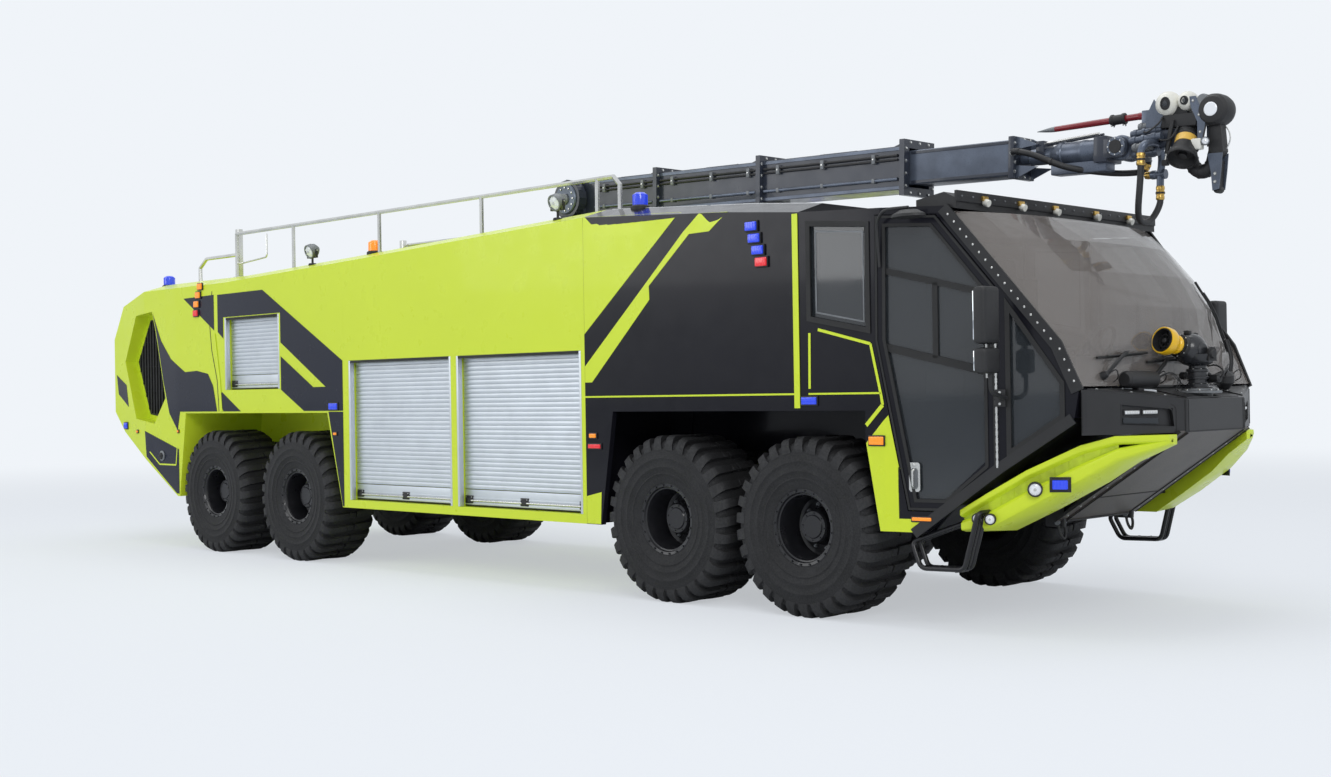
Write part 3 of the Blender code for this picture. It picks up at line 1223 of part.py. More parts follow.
def boom_head(frame_at):
    """Tilting head: knuckle, nozzle, camera pods, work lamp, hoses and piercing spear."""
    pieces = [rod((HEAD_S, -NECK_R, 0), (HEAD_S, NECK_R, 0), NECK_R, 14)]
    for low, high in head_box_shares:
        pieces.append(box(on_head(low), on_head(high)))
    for a, b, radius, radius_b in head_rod_shares:
        pieces.append(rod(on_head(a), on_head(b), NECK_R * radius, 12, NECK_R * radius_b))
    for radius, route in head_pipe_shares:
        pieces.append(pipe([on_head(p) for p in route], NECK_R * radius))
    centre = frame_at @ Vector((HEAD_S, 0, 0))
    node(shift(fuse(pieces), frame_at), "boom_head", BLACK, centre)

    route = [on_head(p) for p in loop_shares]
    for at in (0, -1):
        route[at].z -= GAP
    loop = pipe(smooth(route, LOOP_POINTS), LOOP_R, 2)
    node(shift(loop, frame_at), "hose_loop", RUBBER, centre)


def monitor():
    base = HOOD_REAR_Z + GAP
    axis_z = MONITOR_Z
    r = MONITOR_R
    pieces = [rod((MONITOR_X, 0, base), (MONITOR_X, 0, base + r), r, 14),
              rod((MONITOR_X, 0, base + OVER), (MONITOR_X, 0, axis_z - 1.25 * r), r * 0.7, 12)]
    turn = Matrix.Translation((MONITOR_X, 0, 0)) @ Matrix.Rotation(MONITOR_AZ, 4, "Z")
    for s in (1, -1):
        y0, y1 = sorted((s * (r + RUN), s * (r + RUN + OVER)))
        pieces.append(shift(box((-r / 2, y0, axis_z - 1.6 * r), (r / 2, y1, axis_z + r / 2)), turn))
    y1 = r + RUN + OVER
    pieces.append(shift(box((-r / 2, -y1, axis_z - 1.8 * r), (r / 2, y1, axis_z - 1.25 * r)), turn))
    node(fuse(pieces), "monitor_pan", BLACK, (MONITOR_X, 0, base))
    pin = r + RUN - GAP
    barrel = [rod((0, -r, axis_z), (0, r, axis_z), r, 16),
              rod((0, -pin, axis_z), (0, pin, axis_z), r / 3, 10),
              rod((0, 0, axis_z), (NOZZLE_LONG, 0, axis_z), r * 0.75, 16, NOZZLE_R)]
    mouth = rod((NOZZLE_LONG / 2, 0, axis_z), (NOZZLE_LONG + OVER, 0, axis_z), r * 0.5, 16, r * 0.8)
    nozzle = shift(cut(fuse(barrel), [mouth]), turn)
    node(nozzle, "monitor_nozzle", YELLOW, (MONITOR_X, 0, axis_z))


def interior():
    """Raised floor with seats, a dashboard and a steering wheel."""
    inner = BODY_HALF - CAB_WALL - 3 * OVER
    floor_z = CAB_FLOOR_HIGH + GAP
    x0, x1 = CAB_JOINT_X + CAB_WALL + OVER, STEP_WALL_X - OVER
    pieces = [box((x0, -inner, floor_z), (x1, inner, floor_z + OVER))]
    for y in (0, inner * 0.6, -inner * 0.6):
        wide = inner / 6
        seat_x = x0 + (x1 - x0) * 0.35
        pieces.append(box((seat_x, y - wide, floor_z), (seat_x + wide * 2, y + wide, floor_z + wide * 1.6)))
        pieces.append(box((seat_x - wide / 3, y - wide, floor_z),
                          (seat_x + wide / 3, y + wide, floor_z + wide * 4.2)))
    node(fuse(pieces), "cab_seats", GREY)
    toe_x = CAB_TOE[0] - CAB_WALL - GAP
    half = cab_half(CAB_TOE[0]) - 4 * OVER - CAB_WALL
    top = PILLAR_FOOT[1] - OVER
    share = (top - TOE_LINE_Z) / (PILLAR_FOOT[1] - TOE_LINE_Z)
    top_x = toe_x + (PILLAR_FOOT[0] - CAB_TOE[0]) * share
    dash = across([(toe_x, TOE_LINE_Z), (top_x, top), (top_x - 5 * WALL, top),
                   (top_x - 7 * WALL, top - 2 * WALL)], -half, half)
    node(dash, "dashboard", BLACK)


frame()
engine()
running_gear()
knuckles()
wheels()
body_mid()
body_rear()
body_front()
cab_shell()
cab_glass()
screen()
doors()
hood()
apron()
bumper()
visor()
handrails()
mirrors()
shutters()
boom()
monitor()
interior()
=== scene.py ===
"""Looks of the airport fire truck: paint, glass, tyres, shutters, lamps, boom and monitor.

Places are measured from the ground point under the first axle, +X to the nose and +Z up.
placed() moves a finished piece by FIRST_AXLE, so that its mesh lies in the frame's own place.
"""
from math import cos, pi, radians, sin

import bmesh
import bpy
from mathutils import Matrix, Vector
from mathutils.bvhtree import BVHTree


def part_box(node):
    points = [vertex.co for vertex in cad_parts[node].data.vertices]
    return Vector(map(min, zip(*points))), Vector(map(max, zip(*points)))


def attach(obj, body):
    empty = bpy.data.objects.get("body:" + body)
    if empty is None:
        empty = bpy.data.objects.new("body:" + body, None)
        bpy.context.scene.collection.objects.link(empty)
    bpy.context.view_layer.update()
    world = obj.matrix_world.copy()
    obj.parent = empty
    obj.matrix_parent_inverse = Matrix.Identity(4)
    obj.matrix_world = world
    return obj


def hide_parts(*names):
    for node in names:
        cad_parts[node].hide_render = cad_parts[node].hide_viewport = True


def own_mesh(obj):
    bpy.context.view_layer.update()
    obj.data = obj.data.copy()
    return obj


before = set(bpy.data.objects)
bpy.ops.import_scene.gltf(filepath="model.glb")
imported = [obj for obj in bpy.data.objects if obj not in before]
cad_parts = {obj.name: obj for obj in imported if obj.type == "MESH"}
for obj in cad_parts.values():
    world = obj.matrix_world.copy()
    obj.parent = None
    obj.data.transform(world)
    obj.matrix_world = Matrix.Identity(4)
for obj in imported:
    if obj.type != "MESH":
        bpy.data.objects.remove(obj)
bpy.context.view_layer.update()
FIRST_AXLE = Vector((4.215, 0, 0))
SIDES = (("l", 1), ("r", -1))
SMOOTH = radians(32)


# Finishes

def shader(name, colour, rough, metal=0.0, coat=0.0, specular=0.5):
    material = bpy.data.materials.new(name)
    material.use_nodes = True
    nodes = material.node_tree.nodes
    bsdf = nodes["Principled BSDF"]
    bsdf.inputs["Base Color"].default_value = (*colour, 1)
    bsdf.inputs["Roughness"].default_value = rough
    bsdf.inputs["Metallic"].default_value = metal
    bsdf.inputs["Coat Weight"].default_value = coat
    bsdf.inputs["Coat Roughness"].default_value = 0.05
    bsdf.inputs["Specular IOR Level"].default_value = specular
    return material, material.node_tree, bsdf


def noise(tree, scale, detail=4, stretch=None):
    """Noise on the piece's own coordinates, stretched along an axis if asked."""
    place = tree.nodes.new("ShaderNodeTexCoord")
    grain = tree.nodes.new("ShaderNodeTexNoise")
    grain.inputs["Scale"].default_value = scale
    grain.inputs["Detail"].default_value = detail
    if stretch:
        mapping = tree.nodes.new("ShaderNodeMapping")
        mapping.inputs["Scale"].default_value = stretch
        tree.links.new(place.outputs["Object"], mapping.inputs["Vector"])
        tree.links.new(mapping.outputs["Vector"], grain.inputs["Vector"])
    else:
        tree.links.new(place.outputs["Object"], grain.inputs["Vector"])
    return grain.outputs["Fac"]


def spread(tree, value, low, high):
    """Map a 0.3 to 0.7 noise onto a range."""
    node = tree.nodes.new("ShaderNodeMapRange")
    node.inputs["From Min"].default_value = 0.3
    node.inputs["From Max"].default_value = 0.7
    node.inputs["To Min"].default_value = low
    node.inputs["To Max"].default_value = high
    tree.links.new(value, node.inputs["Value"])
    return node.outputs["Result"]


def tinted(tree, share, one, two):
    """Mix two colours by a share."""
    mix = tree.nodes.new("ShaderNodeMix")
    mix.data_type = "RGBA"
    tree.links.new(share, mix.inputs[0])
    mix.inputs[6].default_value = (*one, 1)
    mix.inputs[7].default_value = (*two, 1)
    return mix.outputs[2]


def rise(tree, bsdf, height, strength, distance):
    bump = tree.nodes.new("ShaderNodeBump")
    bump.inputs["Strength"].default_value = strength
    bump.inputs["Distance"].default_value = distance
    tree.links.new(height, bump.inputs["Height"])
    tree.links.new(bump.outputs["Normal"], bsdf.inputs["Normal"])


def shade_of(colour, by):
    return tuple(min(1, c * by) for c in colour)


def painted(name, colour, rough=0.28, coat=0.2, patch=0.06, metal=0.0, peel=0.15, specular=0.3):
    """Sprayed paint: slow colour drift, faint orange peel, uneven gloss."""
    material, tree, bsdf = shader(name, colour, rough, metal, coat, specular)
    drift = noise(tree, 1.1, 3)
    colours = tinted(tree, drift, shade_of(colour, 1 - patch), shade_of(colour, 1 + patch))
    tree.links.new(colours, bsdf.inputs["Base Color"])
    gloss = spread(tree, noise(tree, 6, 5), rough * 0.8, rough * 1.35)
    tree.links.new(gloss, bsdf.inputs["Roughness"])
    rise(tree, bsdf, noise(tree, 260, 2), peel, 0.0006)
    return material


def textured(name, colour, rough=0.6, scale=180, deep=0.4, patch=0.25, metal=0.0, stretch=None,
             distance=0.002):
    """Cast, moulded or worn surface: grain in colour, gloss and height."""
    material, tree, bsdf = shader(name, colour, rough, metal)
    grain = noise(tree, scale, 6, stretch)
    wear = noise(tree, 4.5, 5)
    colours = tinted(tree, spread(tree, wear, 0, 1), shade_of(colour, 1 - patch), shade_of(colour, 1 + patch))
    tree.links.new(colours, bsdf.inputs["Base Color"])
    tree.links.new(spread(tree, grain, rough * 0.85, min(1, rough * 1.2)), bsdf.inputs["Roughness"])
    rise(tree, bsdf, grain, deep, distance)
    return material


def glazed(name, colour, see, rough=0.03):
    """Tinted glass, partly see-through, with a faint film of dust in its gloss."""
    material, tree, bsdf = shader(name, colour, rough)
    bsdf.inputs["Alpha"].default_value = see
    bsdf.inputs["IOR"].default_value = 1.52
    bsdf.inputs["Coat Weight"].default_value = 0.4
    tree.links.new(spread(tree, noise(tree, 2.4, 4), rough * 0.7, rough * 2.2), bsdf.inputs["Roughness"])
    return material


def lens(name, colour, glow=0.15):
    """Moulded lamp lens with fine upright flutes."""
    material, tree, bsdf = shader(name, colour, 0.12, 0, 0.5)
    bsdf.inputs["Emission Color"].default_value = (*colour, 1)
    bsdf.inputs["Emission Strength"].default_value = glow
    rise(tree, bsdf, noise(tree, 60, 1, (1, 1, 0.1)), 0.5, 0.003)
    return material


LIME = (0.66, 0.80, 0.035)
lime_paint = painted("lime_paint", LIME, 0.30, 0.12, 0.03)
black_paint = painted("black_gloss_paint", (0.010, 0.010, 0.014), 0.16, 0.12, 0.25, specular=0.15)
navy_film = painted("navy_black_film", (0.014, 0.017, 0.030), 0.22, 0.10, 0.2, specular=0.18)
matt_black = textured("matt_black_trim", (0.012, 0.012, 0.013), 0.55, 220, 0.3)
hood_black = textured("hood_satin_black", (0.014, 0.014, 0.015), 0.38, 320, 0.25, 0.15)
tyre_black = textured("tyre_rubber", (0.011, 0.011, 0.012), 0.78, 90, 0.35, 0.3)
lug_black = textured("tread_rubber", (0.014, 0.014, 0.015), 0.7, 60, 0.5, 0.35)
wheel_black = painted("wheel_black_enamel", (0.010, 0.010, 0.012), 0.3, 0.3, 0.3)
slat_silver = textured("anodised_slat", (0.60, 0.64, 0.68), 0.36, 30, 0.12, 0.05, 0.55, (1, 40, 40), 0.0005)
bright_steel = textured("polished_tube", (0.62, 0.62, 0.60), 0.25, 40, 0.1, 0.12, 0.9, None, 0.0005)
# aluminium of the roof's tread plates, also used for the hood's pale strip, which is a painted highlight
deck_plate_and_hood_highlight = textured("deck_aluminium_and_painted_highlight", (0.66, 0.68, 0.70), 0.35, 25, 0.2, 0.06, 0.4)
boom_steel = painted("boom_blue_black", (0.030, 0.036, 0.052), 0.32, 0.3, 0.25)
# a lighter copy of the boom's blue-black paint: painted sheen on its inner tube, neck, plates and pipes
boom_painted_sheen = textured("boom_paint_painted_sheen", (0.10, 0.12, 0.16), 0.3, 120, 0.2, 0.25, 0.4)
under_black = textured("chassis_black", (0.016, 0.016, 0.016), 0.6, 70, 0.5, 0.35)
cast_grey = textured("cast_grey", (0.18, 0.19, 0.20), 0.5, 120, 0.4, 0.2, 0.3)
pod_white = painted("pod_cream", (0.78, 0.77, 0.70), 0.35, 0.3, 0.05)
spear_red = painted("spear_red", (0.22, 0.012, 0.020), 0.3, 0.4, 0.2)
brass = textured("brass_coupling", (0.55, 0.36, 0.10), 0.3, 90, 0.2, 0.15, 0.9)
hose_black = textured("hose_rubber", (0.014, 0.014, 0.015), 0.55, 150, 0.5, 0.2)
nozzle_yellow = painted("nozzle_yellow", (0.85, 0.50, 0.01), 0.3, 0.5, 0.08)
band_yellow = painted("plain_band_yellow", (0.80, 0.50, 0.10), 0.4, 0.2, 0.1)
gun_black = painted("monitor_black", (0.018, 0.019, 0.022), 0.28, 0.3, 0.3, specular=0.4)
apron_brown = textured("apron_composite", (0.055, 0.045, 0.040), 0.42, 240, 0.3, 0.18)
tread_plate = textured("wing_grip", (0.50, 0.62, 0.02), 0.5, 140, 0.9, 0.35)
tinted_glass = glazed("tinted_side_glass", (0.035, 0.040, 0.045), 0.80)
screen_glass = glazed("windscreen_glass", (0.30, 0.27, 0.25), 0.42)
mirror_glass = textured("mirror_glass", (0.75, 0.78, 0.80), 0.03, 3, 0.0, 0.03, 1.0)
gasket = textured("rubber_gasket", (0.010, 0.010, 0.010), 0.65, 200, 0.3)
seat_cloth = textured("seat_cloth", (0.05, 0.052, 0.058), 0.85, 240, 0.7, 0.2)
cab_grey = textured("cab_lining", (0.14, 0.14, 0.145), 0.7, 260, 0.4, 0.12)
dash_black = textured("dash_moulding", (0.03, 0.03, 0.033), 0.6, 300, 0.5, 0.2)
blue_lens = lens("blue_lens", (0.02, 0.06, 0.75), 0.25)
red_lens = lens("red_lens", (0.75, 0.02, 0.03), 0.25)
amber_lens = lens("amber_lens", (0.95, 0.28, 0.01), 0.35)
clear_lens = lens("clear_lens", (0.75, 0.77, 0.80), 0.12)


# Mesh tools

def closed(bm):
    bmesh.ops.remove_doubles(bm, verts=bm.verts, dist=0.00001)
    bmesh.ops.recalc_face_normals(bm, faces=bm.faces)
    mesh = bpy.data.meshes.new("shape")
    bm.to_mesh(mesh)
    bm.free()
    return mesh


def softened(bm, width, steps=2, sharper_than=radians(30)):
    edges = [e for e in bm.edges if len(e.link_faces) == 2 and e.calc_face_angle(0) > sharper_than]
    bmesh.ops.bevel(bm, geom=edges, offset=width, segments=steps, affect="EDGES", profile=0.6)


def block(lo, hi, soft=0.006, steps=2):
    bm = bmesh.new()
    size = Vector(hi) - Vector(lo)
    centre = (Vector(hi) + Vector(lo)) / 2
    bmesh.ops.create_cube(bm, size=1, matrix=Matrix.Translation(centre) @ Matrix.Diagonal((*size, 1)))
    if soft:
        softened(bm, min(soft, min(abs(c) for c in size) * 0.45), steps)
    return closed(bm)


def prism(outline, thick, soft=0.0, steps=2):
    """A flat outline (u, v) given thickness along its third axis, centred on it."""
    bm = bmesh.new()
    low = [bm.verts.new((u, v, -thick / 2)) for u, v in outline]
    high = [bm.verts.new((u, v, thick / 2)) for u, v in outline]
    bm.faces.new(low[::-1])
    bm.faces.new(high)
    for i in range(len(outline)):
        j = (i + 1) % len(outline)
        bm.faces.new((low[i], low[j], high[j], high[i]))
    if soft:
        softened(bm, soft, steps)
    return closed(bm)


def lathe(profile, steps=48, loop=False):
    """Turn (radius, along) about the Y axis; loop closes the profile on itself."""
    bm = bmesh.new()
    rings = []
    for r, y in profile:
        if r < 1e-6:
            rings.append([bm.verts.new((0, y, 0))])
        else:
            rings.append([bm.verts.new((r * cos(2 * pi * i / steps), y, r * sin(2 * pi * i / steps)))
                          for i in range(steps)])
    pairs = list(zip(rings, rings[1:])) + ([(rings[-1], rings[0])] if loop else [])
    for a, b in pairs:
        for i in range(steps):
            j = (i + 1) % steps
            face = [a[i % len(a)], a[j % len(a)], b[j % len(b)], b[i % len(b)]]
            unique = list(dict.fromkeys(face))
            if len(unique) > 2:
                bm.faces.new(unique)
    return closed(bm)


def rounded_path(points, bend, steps=6):
    """The points with each inner corner drawn as an arc-like curve."""
    points = [Vector(p) for p in points]
    path = [points[0]]
    for before, at, after in zip(points, points[1:], points[2:]):
        reach = min(bend, (before - at).length * 0.45, (after - at).length * 0.45)
        start = at + (before - at).normalized() * reach
        end = at + (after - at).normalized() * reach
        for i in range(steps + 1):
            t = i / steps
            path.append(start * (1 - t) ** 2 + at * 2 * t * (1 - t) + end * t * t)
    path.append(points[-1])
    return path


def swept(path, radius, sides=10):
    """A round tube with capped ends along a close row of points."""
    path = [Vector(p) for p in path]
    bm = bmesh.new()
    rings = []
    side = None
    for i, at in enumerate(path):
        ahead = path[min(i + 1, len(path) - 1)] - path[max(i - 1, 0)]
        ahead.normalize()
        if side is None:
            side = ahead.orthogonal().normalized()
        side = (side - ahead * side.dot(ahead)).normalized()
        other = ahead.cross(side)
        rings.append([bm.verts.new(at + (side * cos(2 * pi * k / sides)
                                         + other * sin(2 * pi * k / sides)) * radius) for k in range(sides)])
    for a, b in zip(rings, rings[1:]):
        for k in range(sides):
            j = (k + 1) % sides
            bm.faces.new((a[k], a[j], b[j], b[k]))
    bm.faces.new(rings[0][::-1])
    bm.faces.new(rings[-1])
    return closed(bm)


def tube(points, radius, bend=0.05, sides=10):
    """A round tube along a path with rounded corners."""
    return swept(rounded_path(points, bend) if len(points) > 2 else points, radius, sides)


def aimed(a, b):
    """Matrix that lays the Y axis along a to b, from a."""
    a, b = Vector(a), Vector(b)
    return Matrix.Translation(a) @ (b - a).to_track_quat("Y", "Z").to_matrix().to_4x4()


def moved(mesh, matrix):
    mesh.transform(matrix)
    if matrix.determinant() < 0:
        mesh.flip_normals()
    return mesh


def turned_between(a, b, profile, steps=24):
    """A turned solid from a to b; the profile is (radius, share of the way)."""
    long = (Vector(b) - Vector(a)).length
    full = [(0, profile[0][1] * long)] + [(r, t * long) for r, t in profile] + [(0, profile[-1][1] * long)]
    return moved(lathe(full, steps), aimed(a, b))


def placed(name, parts, body, instead=(), smooth=SMOOTH, shift=FIRST_AXLE):
    """One finished piece from (mesh, finish) pairs, riding on a body."""
    bm = bmesh.new()
    finishes = []
    for mesh, finish in parts:
        if finish not in finishes:
            finishes.append(finish)
        start = len(bm.faces)
        bm.from_mesh(mesh)
        bm.faces.ensure_lookup_table()
        for face in bm.faces[start:]:
            face.material_index = finishes.index(finish)
            face.smooth = True
    mesh = bpy.data.meshes.new(name)
    bm.to_mesh(mesh)
    bm.free()
    mesh.transform(Matrix.Translation(shift))
    mesh.set_sharp_from_angle(angle=smooth)
    for finish in finishes:
        mesh.materials.append(finish)
    obj = bpy.data.objects.new(name, mesh)
    bpy.context.scene.collection.objects.link(obj)
    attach(obj, body)
    if instead:
        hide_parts(*instead)
    return obj


# Node trees that repeat a shape

def node_tree(name, sockets):
    tree = bpy.data.node_groups.new(name, "GeometryNodeTree")
    tree.interface.new_socket("Geometry", in_out="OUTPUT", socket_type="NodeSocketGeometry")
    tree.interface.new_socket("Geometry", in_out="INPUT", socket_type="NodeSocketGeometry")
    for label, kind in sockets:
        tree.interface.new_socket(label, in_out="INPUT", socket_type=kind)
    start = tree.nodes.new("NodeGroupInput")
    end = tree.nodes.new("NodeGroupOutput")
    return tree, start, end


def copies_tree():
    """Copies of a shape, each one step further and one turn on from the last."""
    tree, start, end = node_tree("copies_in_step", (
        ("Count", "NodeSocketInt"), ("Step", "NodeSocketVector"), ("Turn", "NodeSocketVector"),
        ("Finish", "NodeSocketMaterial")))
    link = tree.links.new
    points = tree.nodes.new("GeometryNodePoints")
    index = tree.nodes.new("GeometryNodeInputIndex")
    link(start.outputs["Count"], points.inputs["Count"])
    stride = tree.nodes.new("ShaderNodeVectorMath")
    stride.operation = "SCALE"
    link(start.outputs["Step"], stride.inputs[0])
    link(index.outputs[0], stride.inputs["Scale"])
    move = tree.nodes.new("GeometryNodeSetPosition")
    link(points.outputs[0], move.inputs["Geometry"])
    link(stride.outputs[0], move.inputs["Position"])
    swing = tree.nodes.new("ShaderNodeVectorMath")
    swing.operation = "SCALE"
    link(start.outputs["Turn"], swing.inputs[0])
    link(index.outputs[0], swing.inputs["Scale"])
    turn = tree.nodes.new("FunctionNodeEulerToRotation")
    link(swing.outputs[0], turn.inputs[0])
    spread_out = tree.nodes.new("GeometryNodeInstanceOnPoints")
    link(move.outputs[0], spread_out.inputs["Points"])
    link(start.outputs["Geometry"], spread_out.inputs["Instance"])
    link(turn.outputs[0], spread_out.inputs["Rotation"])
    real = tree.nodes.new("GeometryNodeRealizeInstances")
    link(spread_out.outputs[0], real.inputs[0])
    dress = tree.nodes.new("GeometryNodeSetMaterial")
    link(real.outputs[0], dress.inputs["Geometry"])
    link(start.outputs["Finish"], dress.inputs["Material"])
    link(dress.outputs[0], end.inputs[0])
    return tree


COPIES = copies_tree()


def grown(mesh, tree, **values):
    """The plain mesh that a node tree gives from a seed mesh."""
    seed = bpy.data.objects.new("seed", mesh)
    bpy.context.scene.collection.objects.link(seed)
    step = seed.modifiers.new("grow", "NODES")
    step.node_group = tree
    for item in tree.interface.items_tree:
        if item.in_out == "INPUT" and item.name in values:
            step[item.identifier] = values[item.name]
    bpy.context.view_layer.update()
    view = bpy.context.evaluated_depsgraph_get()
    result = bpy.data.meshes.new_from_object(seed.evaluated_get(view))
    bpy.data.objects.remove(seed)
    result.materials.clear()
    return result


def row(mesh, count, step, turn=(0.0, 0.0, 0.0)):
    return grown(mesh, COPIES, Count=count, Step=tuple(step), Turn=tuple(turn), Finish=matt_black)


def ring(mesh, count, axis="Y"):
    turn = [0.0, 0.0, 0.0]
    turn["XYZ".index(axis)] = 2 * pi / count
    return row(mesh, count, (0.0, 0.0, 0.0), turn)


# The frame's own surfaces, for pieces that lie on them

def surface_of(*names):
    verts, faces = [], []
    for name in names:
        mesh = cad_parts[name].data
        base = len(verts)
        verts += [v.co - FIRST_AXLE for v in mesh.vertices]
        faces += [[base + i for i in p.vertices] for p in mesh.polygons]
    return BVHTree.FromPolygons(verts, faces)


BODY_SKIN = surface_of("body_rear", "body_mid", "body_front", "cab_shell")


def side_hit(x, z, s, skin=BODY_SKIN):
    """Point and outward normal where a level line meets the truck's side s."""
    place, normal, _, _ = skin.ray_cast(Vector((x, s * 3.0, z)), Vector((0, -s, 0)))
    return place, normal


def roof_hit(x, y, skin=BODY_SKIN):
    place, normal, _, _ = skin.ray_cast(Vector((x, y, 6.0)), Vector((0, 0, -1)))
    return place, normal


def side_frame(x, z, s, lift=0.0):
    """Matrix set on the side at x, z: X forward, Y up, Z outward."""
    place, normal = side_hit(x, z, s)
    out = normal if normal.y * s > 0 else -normal
    up = (Vector((0, 0, 1)) - out * out.z).normalized()
    along = up.cross(out)
    place = place + out * lift
    return Matrix(((along.x, up.x, out.x, place.x), (along.y, up.y, out.y, place.y),
                   (along.z, up.z, out.z, place.z), (0, 0, 0, 1)))


def film(outline, s, lift=0.0015, thick=0.0012, grid=0.12, creases=(), from_top=False):
    """A thin sheet laid on the truck's side (x, z) or roof (x, y)."""
    bm = bmesh.new()
    corners = [bm.verts.new((u, v, 0)) for u, v in outline]
    bm.faces.new(corners)
    xs = [u for u, v in outline]
    vs = [v for u, v in outline]

    def slice_at(values, normal, axis):
        for value in values:
            at = [0, 0, 0]
            at[axis] = value
            bmesh.ops.bisect_plane(bm, geom=bm.verts[:] + bm.edges[:] + bm.faces[:], plane_co=at,
                                   plane_no=normal)

    count = int((max(xs) - min(xs)) / grid) + 1
    slice_at([min(xs) + (i + 1) * (max(xs) - min(xs)) / (count + 1) for i in range(count)], (1, 0, 0), 0)
    count = int((max(vs) - min(vs)) / grid) + 1
    slice_at([min(vs) + (i + 1) * (max(vs) - min(vs)) / (count + 1) for i in range(count)], (0, 1, 0), 1)
    slice_at([c for c in creases if min(xs) < c < max(xs)], (1, 0, 0), 0)
    lost = []
    places = {}
    for vert in bm.verts:
        u, v = vert.co.x, vert.co.y
        place, normal = roof_hit(u, v) if from_top else side_hit(u, v, s)
        if place is None:
            lost.append(vert)
            continue
        out = Vector((0, 0, 1)) if from_top else Vector((0, s, 0))
        places[vert] = (place + out * lift, out)
    for vert, (place, out) in places.items():
        vert.co = place
    bmesh.ops.delete(bm, geom=lost, context="VERTS")
    bmesh.ops.recalc_face_normals(bm, faces=bm.faces)
    bm.normal_update()
    out = Vector((0, 0, 1)) if from_top else Vector((0, s, 0))
    if sum(f.normal.dot(out) * f.calc_area() for f in bm.faces) < 0:
        bmesh.ops.reverse_faces(bm, faces=bm.faces)
    top = bm.faces[:]
    result = bmesh.ops.extrude_face_region(bm, geom=top)
    for vert in [g for g in result["geom"] if isinstance(g, bmesh.types.BMVert)]:
        vert.co += out * thick
    return closed(bm)


def mirrored_film(outline, **options):
    return [film(outline, s, **options) for _, s in SIDES]


# Wheels

AXLE_X = (0.0, -1.46, -7.007, -8.684)
WHEEL_Y = 1.25
TYRE_R = 0.6955
WHEEL_Z = TYRE_R * cos(pi / 20)
GROOVE = 0.034
LUGS = 30


def tyre_mesh():
    """Carcass with a bulged side, raised rings on it and a groove floor under the lugs."""
    floor = TYRE_R - GROOVE
    half = [(0.285, 0.225), (0.292, 0.262), (0.315, 0.272), (0.345, 0.278), (0.372, 0.284), (0.376, 0.289),
            (0.384, 0.289), (0.388, 0.286), (0.43, 0.294), (0.434, 0.298), (0.442, 0.298), (0.446, 0.296),
            (0.50, 0.298), (0.504, 0.301), (0.512, 0.301), (0.516, 0.298), (0.555, 0.296), (0.585, 0.290),
            (0.59, 0.283), (0.625, 0.275), (0.648, 0.245), (floor, 0.19), (floor, 0.06)]
    outline = half + [(r, -y) for r, y in reversed(half)] + [(0.27, -0.20), (0.27, 0.20)]
    return lathe(outline, 96, loop=True)


def lug_mesh(s, lead):
    """One shoulder lug on side s, wrapped over the shoulder; lead shifts its inner end round."""
    table = ((0.045, 0.640, TYRE_R - 0.004), (0.14, 0.640, TYRE_R), (0.235, 0.630, TYRE_R - 0.001),
             (0.272, 0.600, TYRE_R - 0.022), (0.294, 0.575, 0.622))
    bm = bmesh.new()
    rings = []
    for i, (y, low, high) in enumerate(table):
        share = i / (len(table) - 1)
        middle = lead * (1 - share)
        wide = 0.036 + 0.010 * share
        rings.append([bm.verts.new((middle + d * wide, s * y, z)) for d, z in (
            (-1, low), (1, low), (0.86, high), (-0.86, high))])
    for a, b in zip(rings, rings[1:]):
        for k in range(4):
            j = (k + 1) % 4
            bm.faces.new((a[k], a[j], b[j], b[k]))
    bm.faces.new(rings[0][::-1])
    bm.faces.new(rings[-1])
    softened(bm, 0.004, 1)
    return closed(bm)


def wheel_rim(s):
    """Deep-dished rim with its clamp ring, disc, studs and hub drum, seen from side s."""
    profile = [(0, 0.150), (0.085, 0.150), (0.092, 0.142), (0.118, 0.142), (0.128, 0.128), (0.132, 0.045),
               (0.150, 0.020), (0.205, 0.012), (0.228, 0.030), (0.236, 0.075), (0.240, 0.215), (0.252, 0.242),
               (0.262, 0.246), (0.270, 0.262), (0.292, 0.268), (0.300, 0.262), (0.300, 0.232), (0.280, 0.215),
               (0.268, 0.10), (0.268, -0.21), (0.292, -0.232), (0.300, -0.262), (0.290, -0.266),
               (0.262, -0.25), (0.246, -0.20), (0.240, -0.02), (0, -0.02)]
    rim = lathe(profile, 64)
    nut = turned_between((0.172, 0.010, 0), (0.172, 0.046, 0),
                         ((0.015, 0), (0.015, 0.6), (0.009, 0.62), (0.009, 1)), 6)
    studs = ring(nut, 10)
    small = turned_between((0.282, 0.262, 0), (0.282, 0.276, 0), ((0.0075, 0), (0.0075, 1)), 6)
    bolts = ring(small, 20)
    cap = turned_between((0.105, 0.138, 0), (0.105, 0.150, 0), ((0.006, 0), (0.006, 1)), 6)
    caps = ring(cap, 8)
    return [moved(mesh, Matrix.Diagonal((1, s, 1, 1))) for mesh in (rim, studs, bolts, caps)]


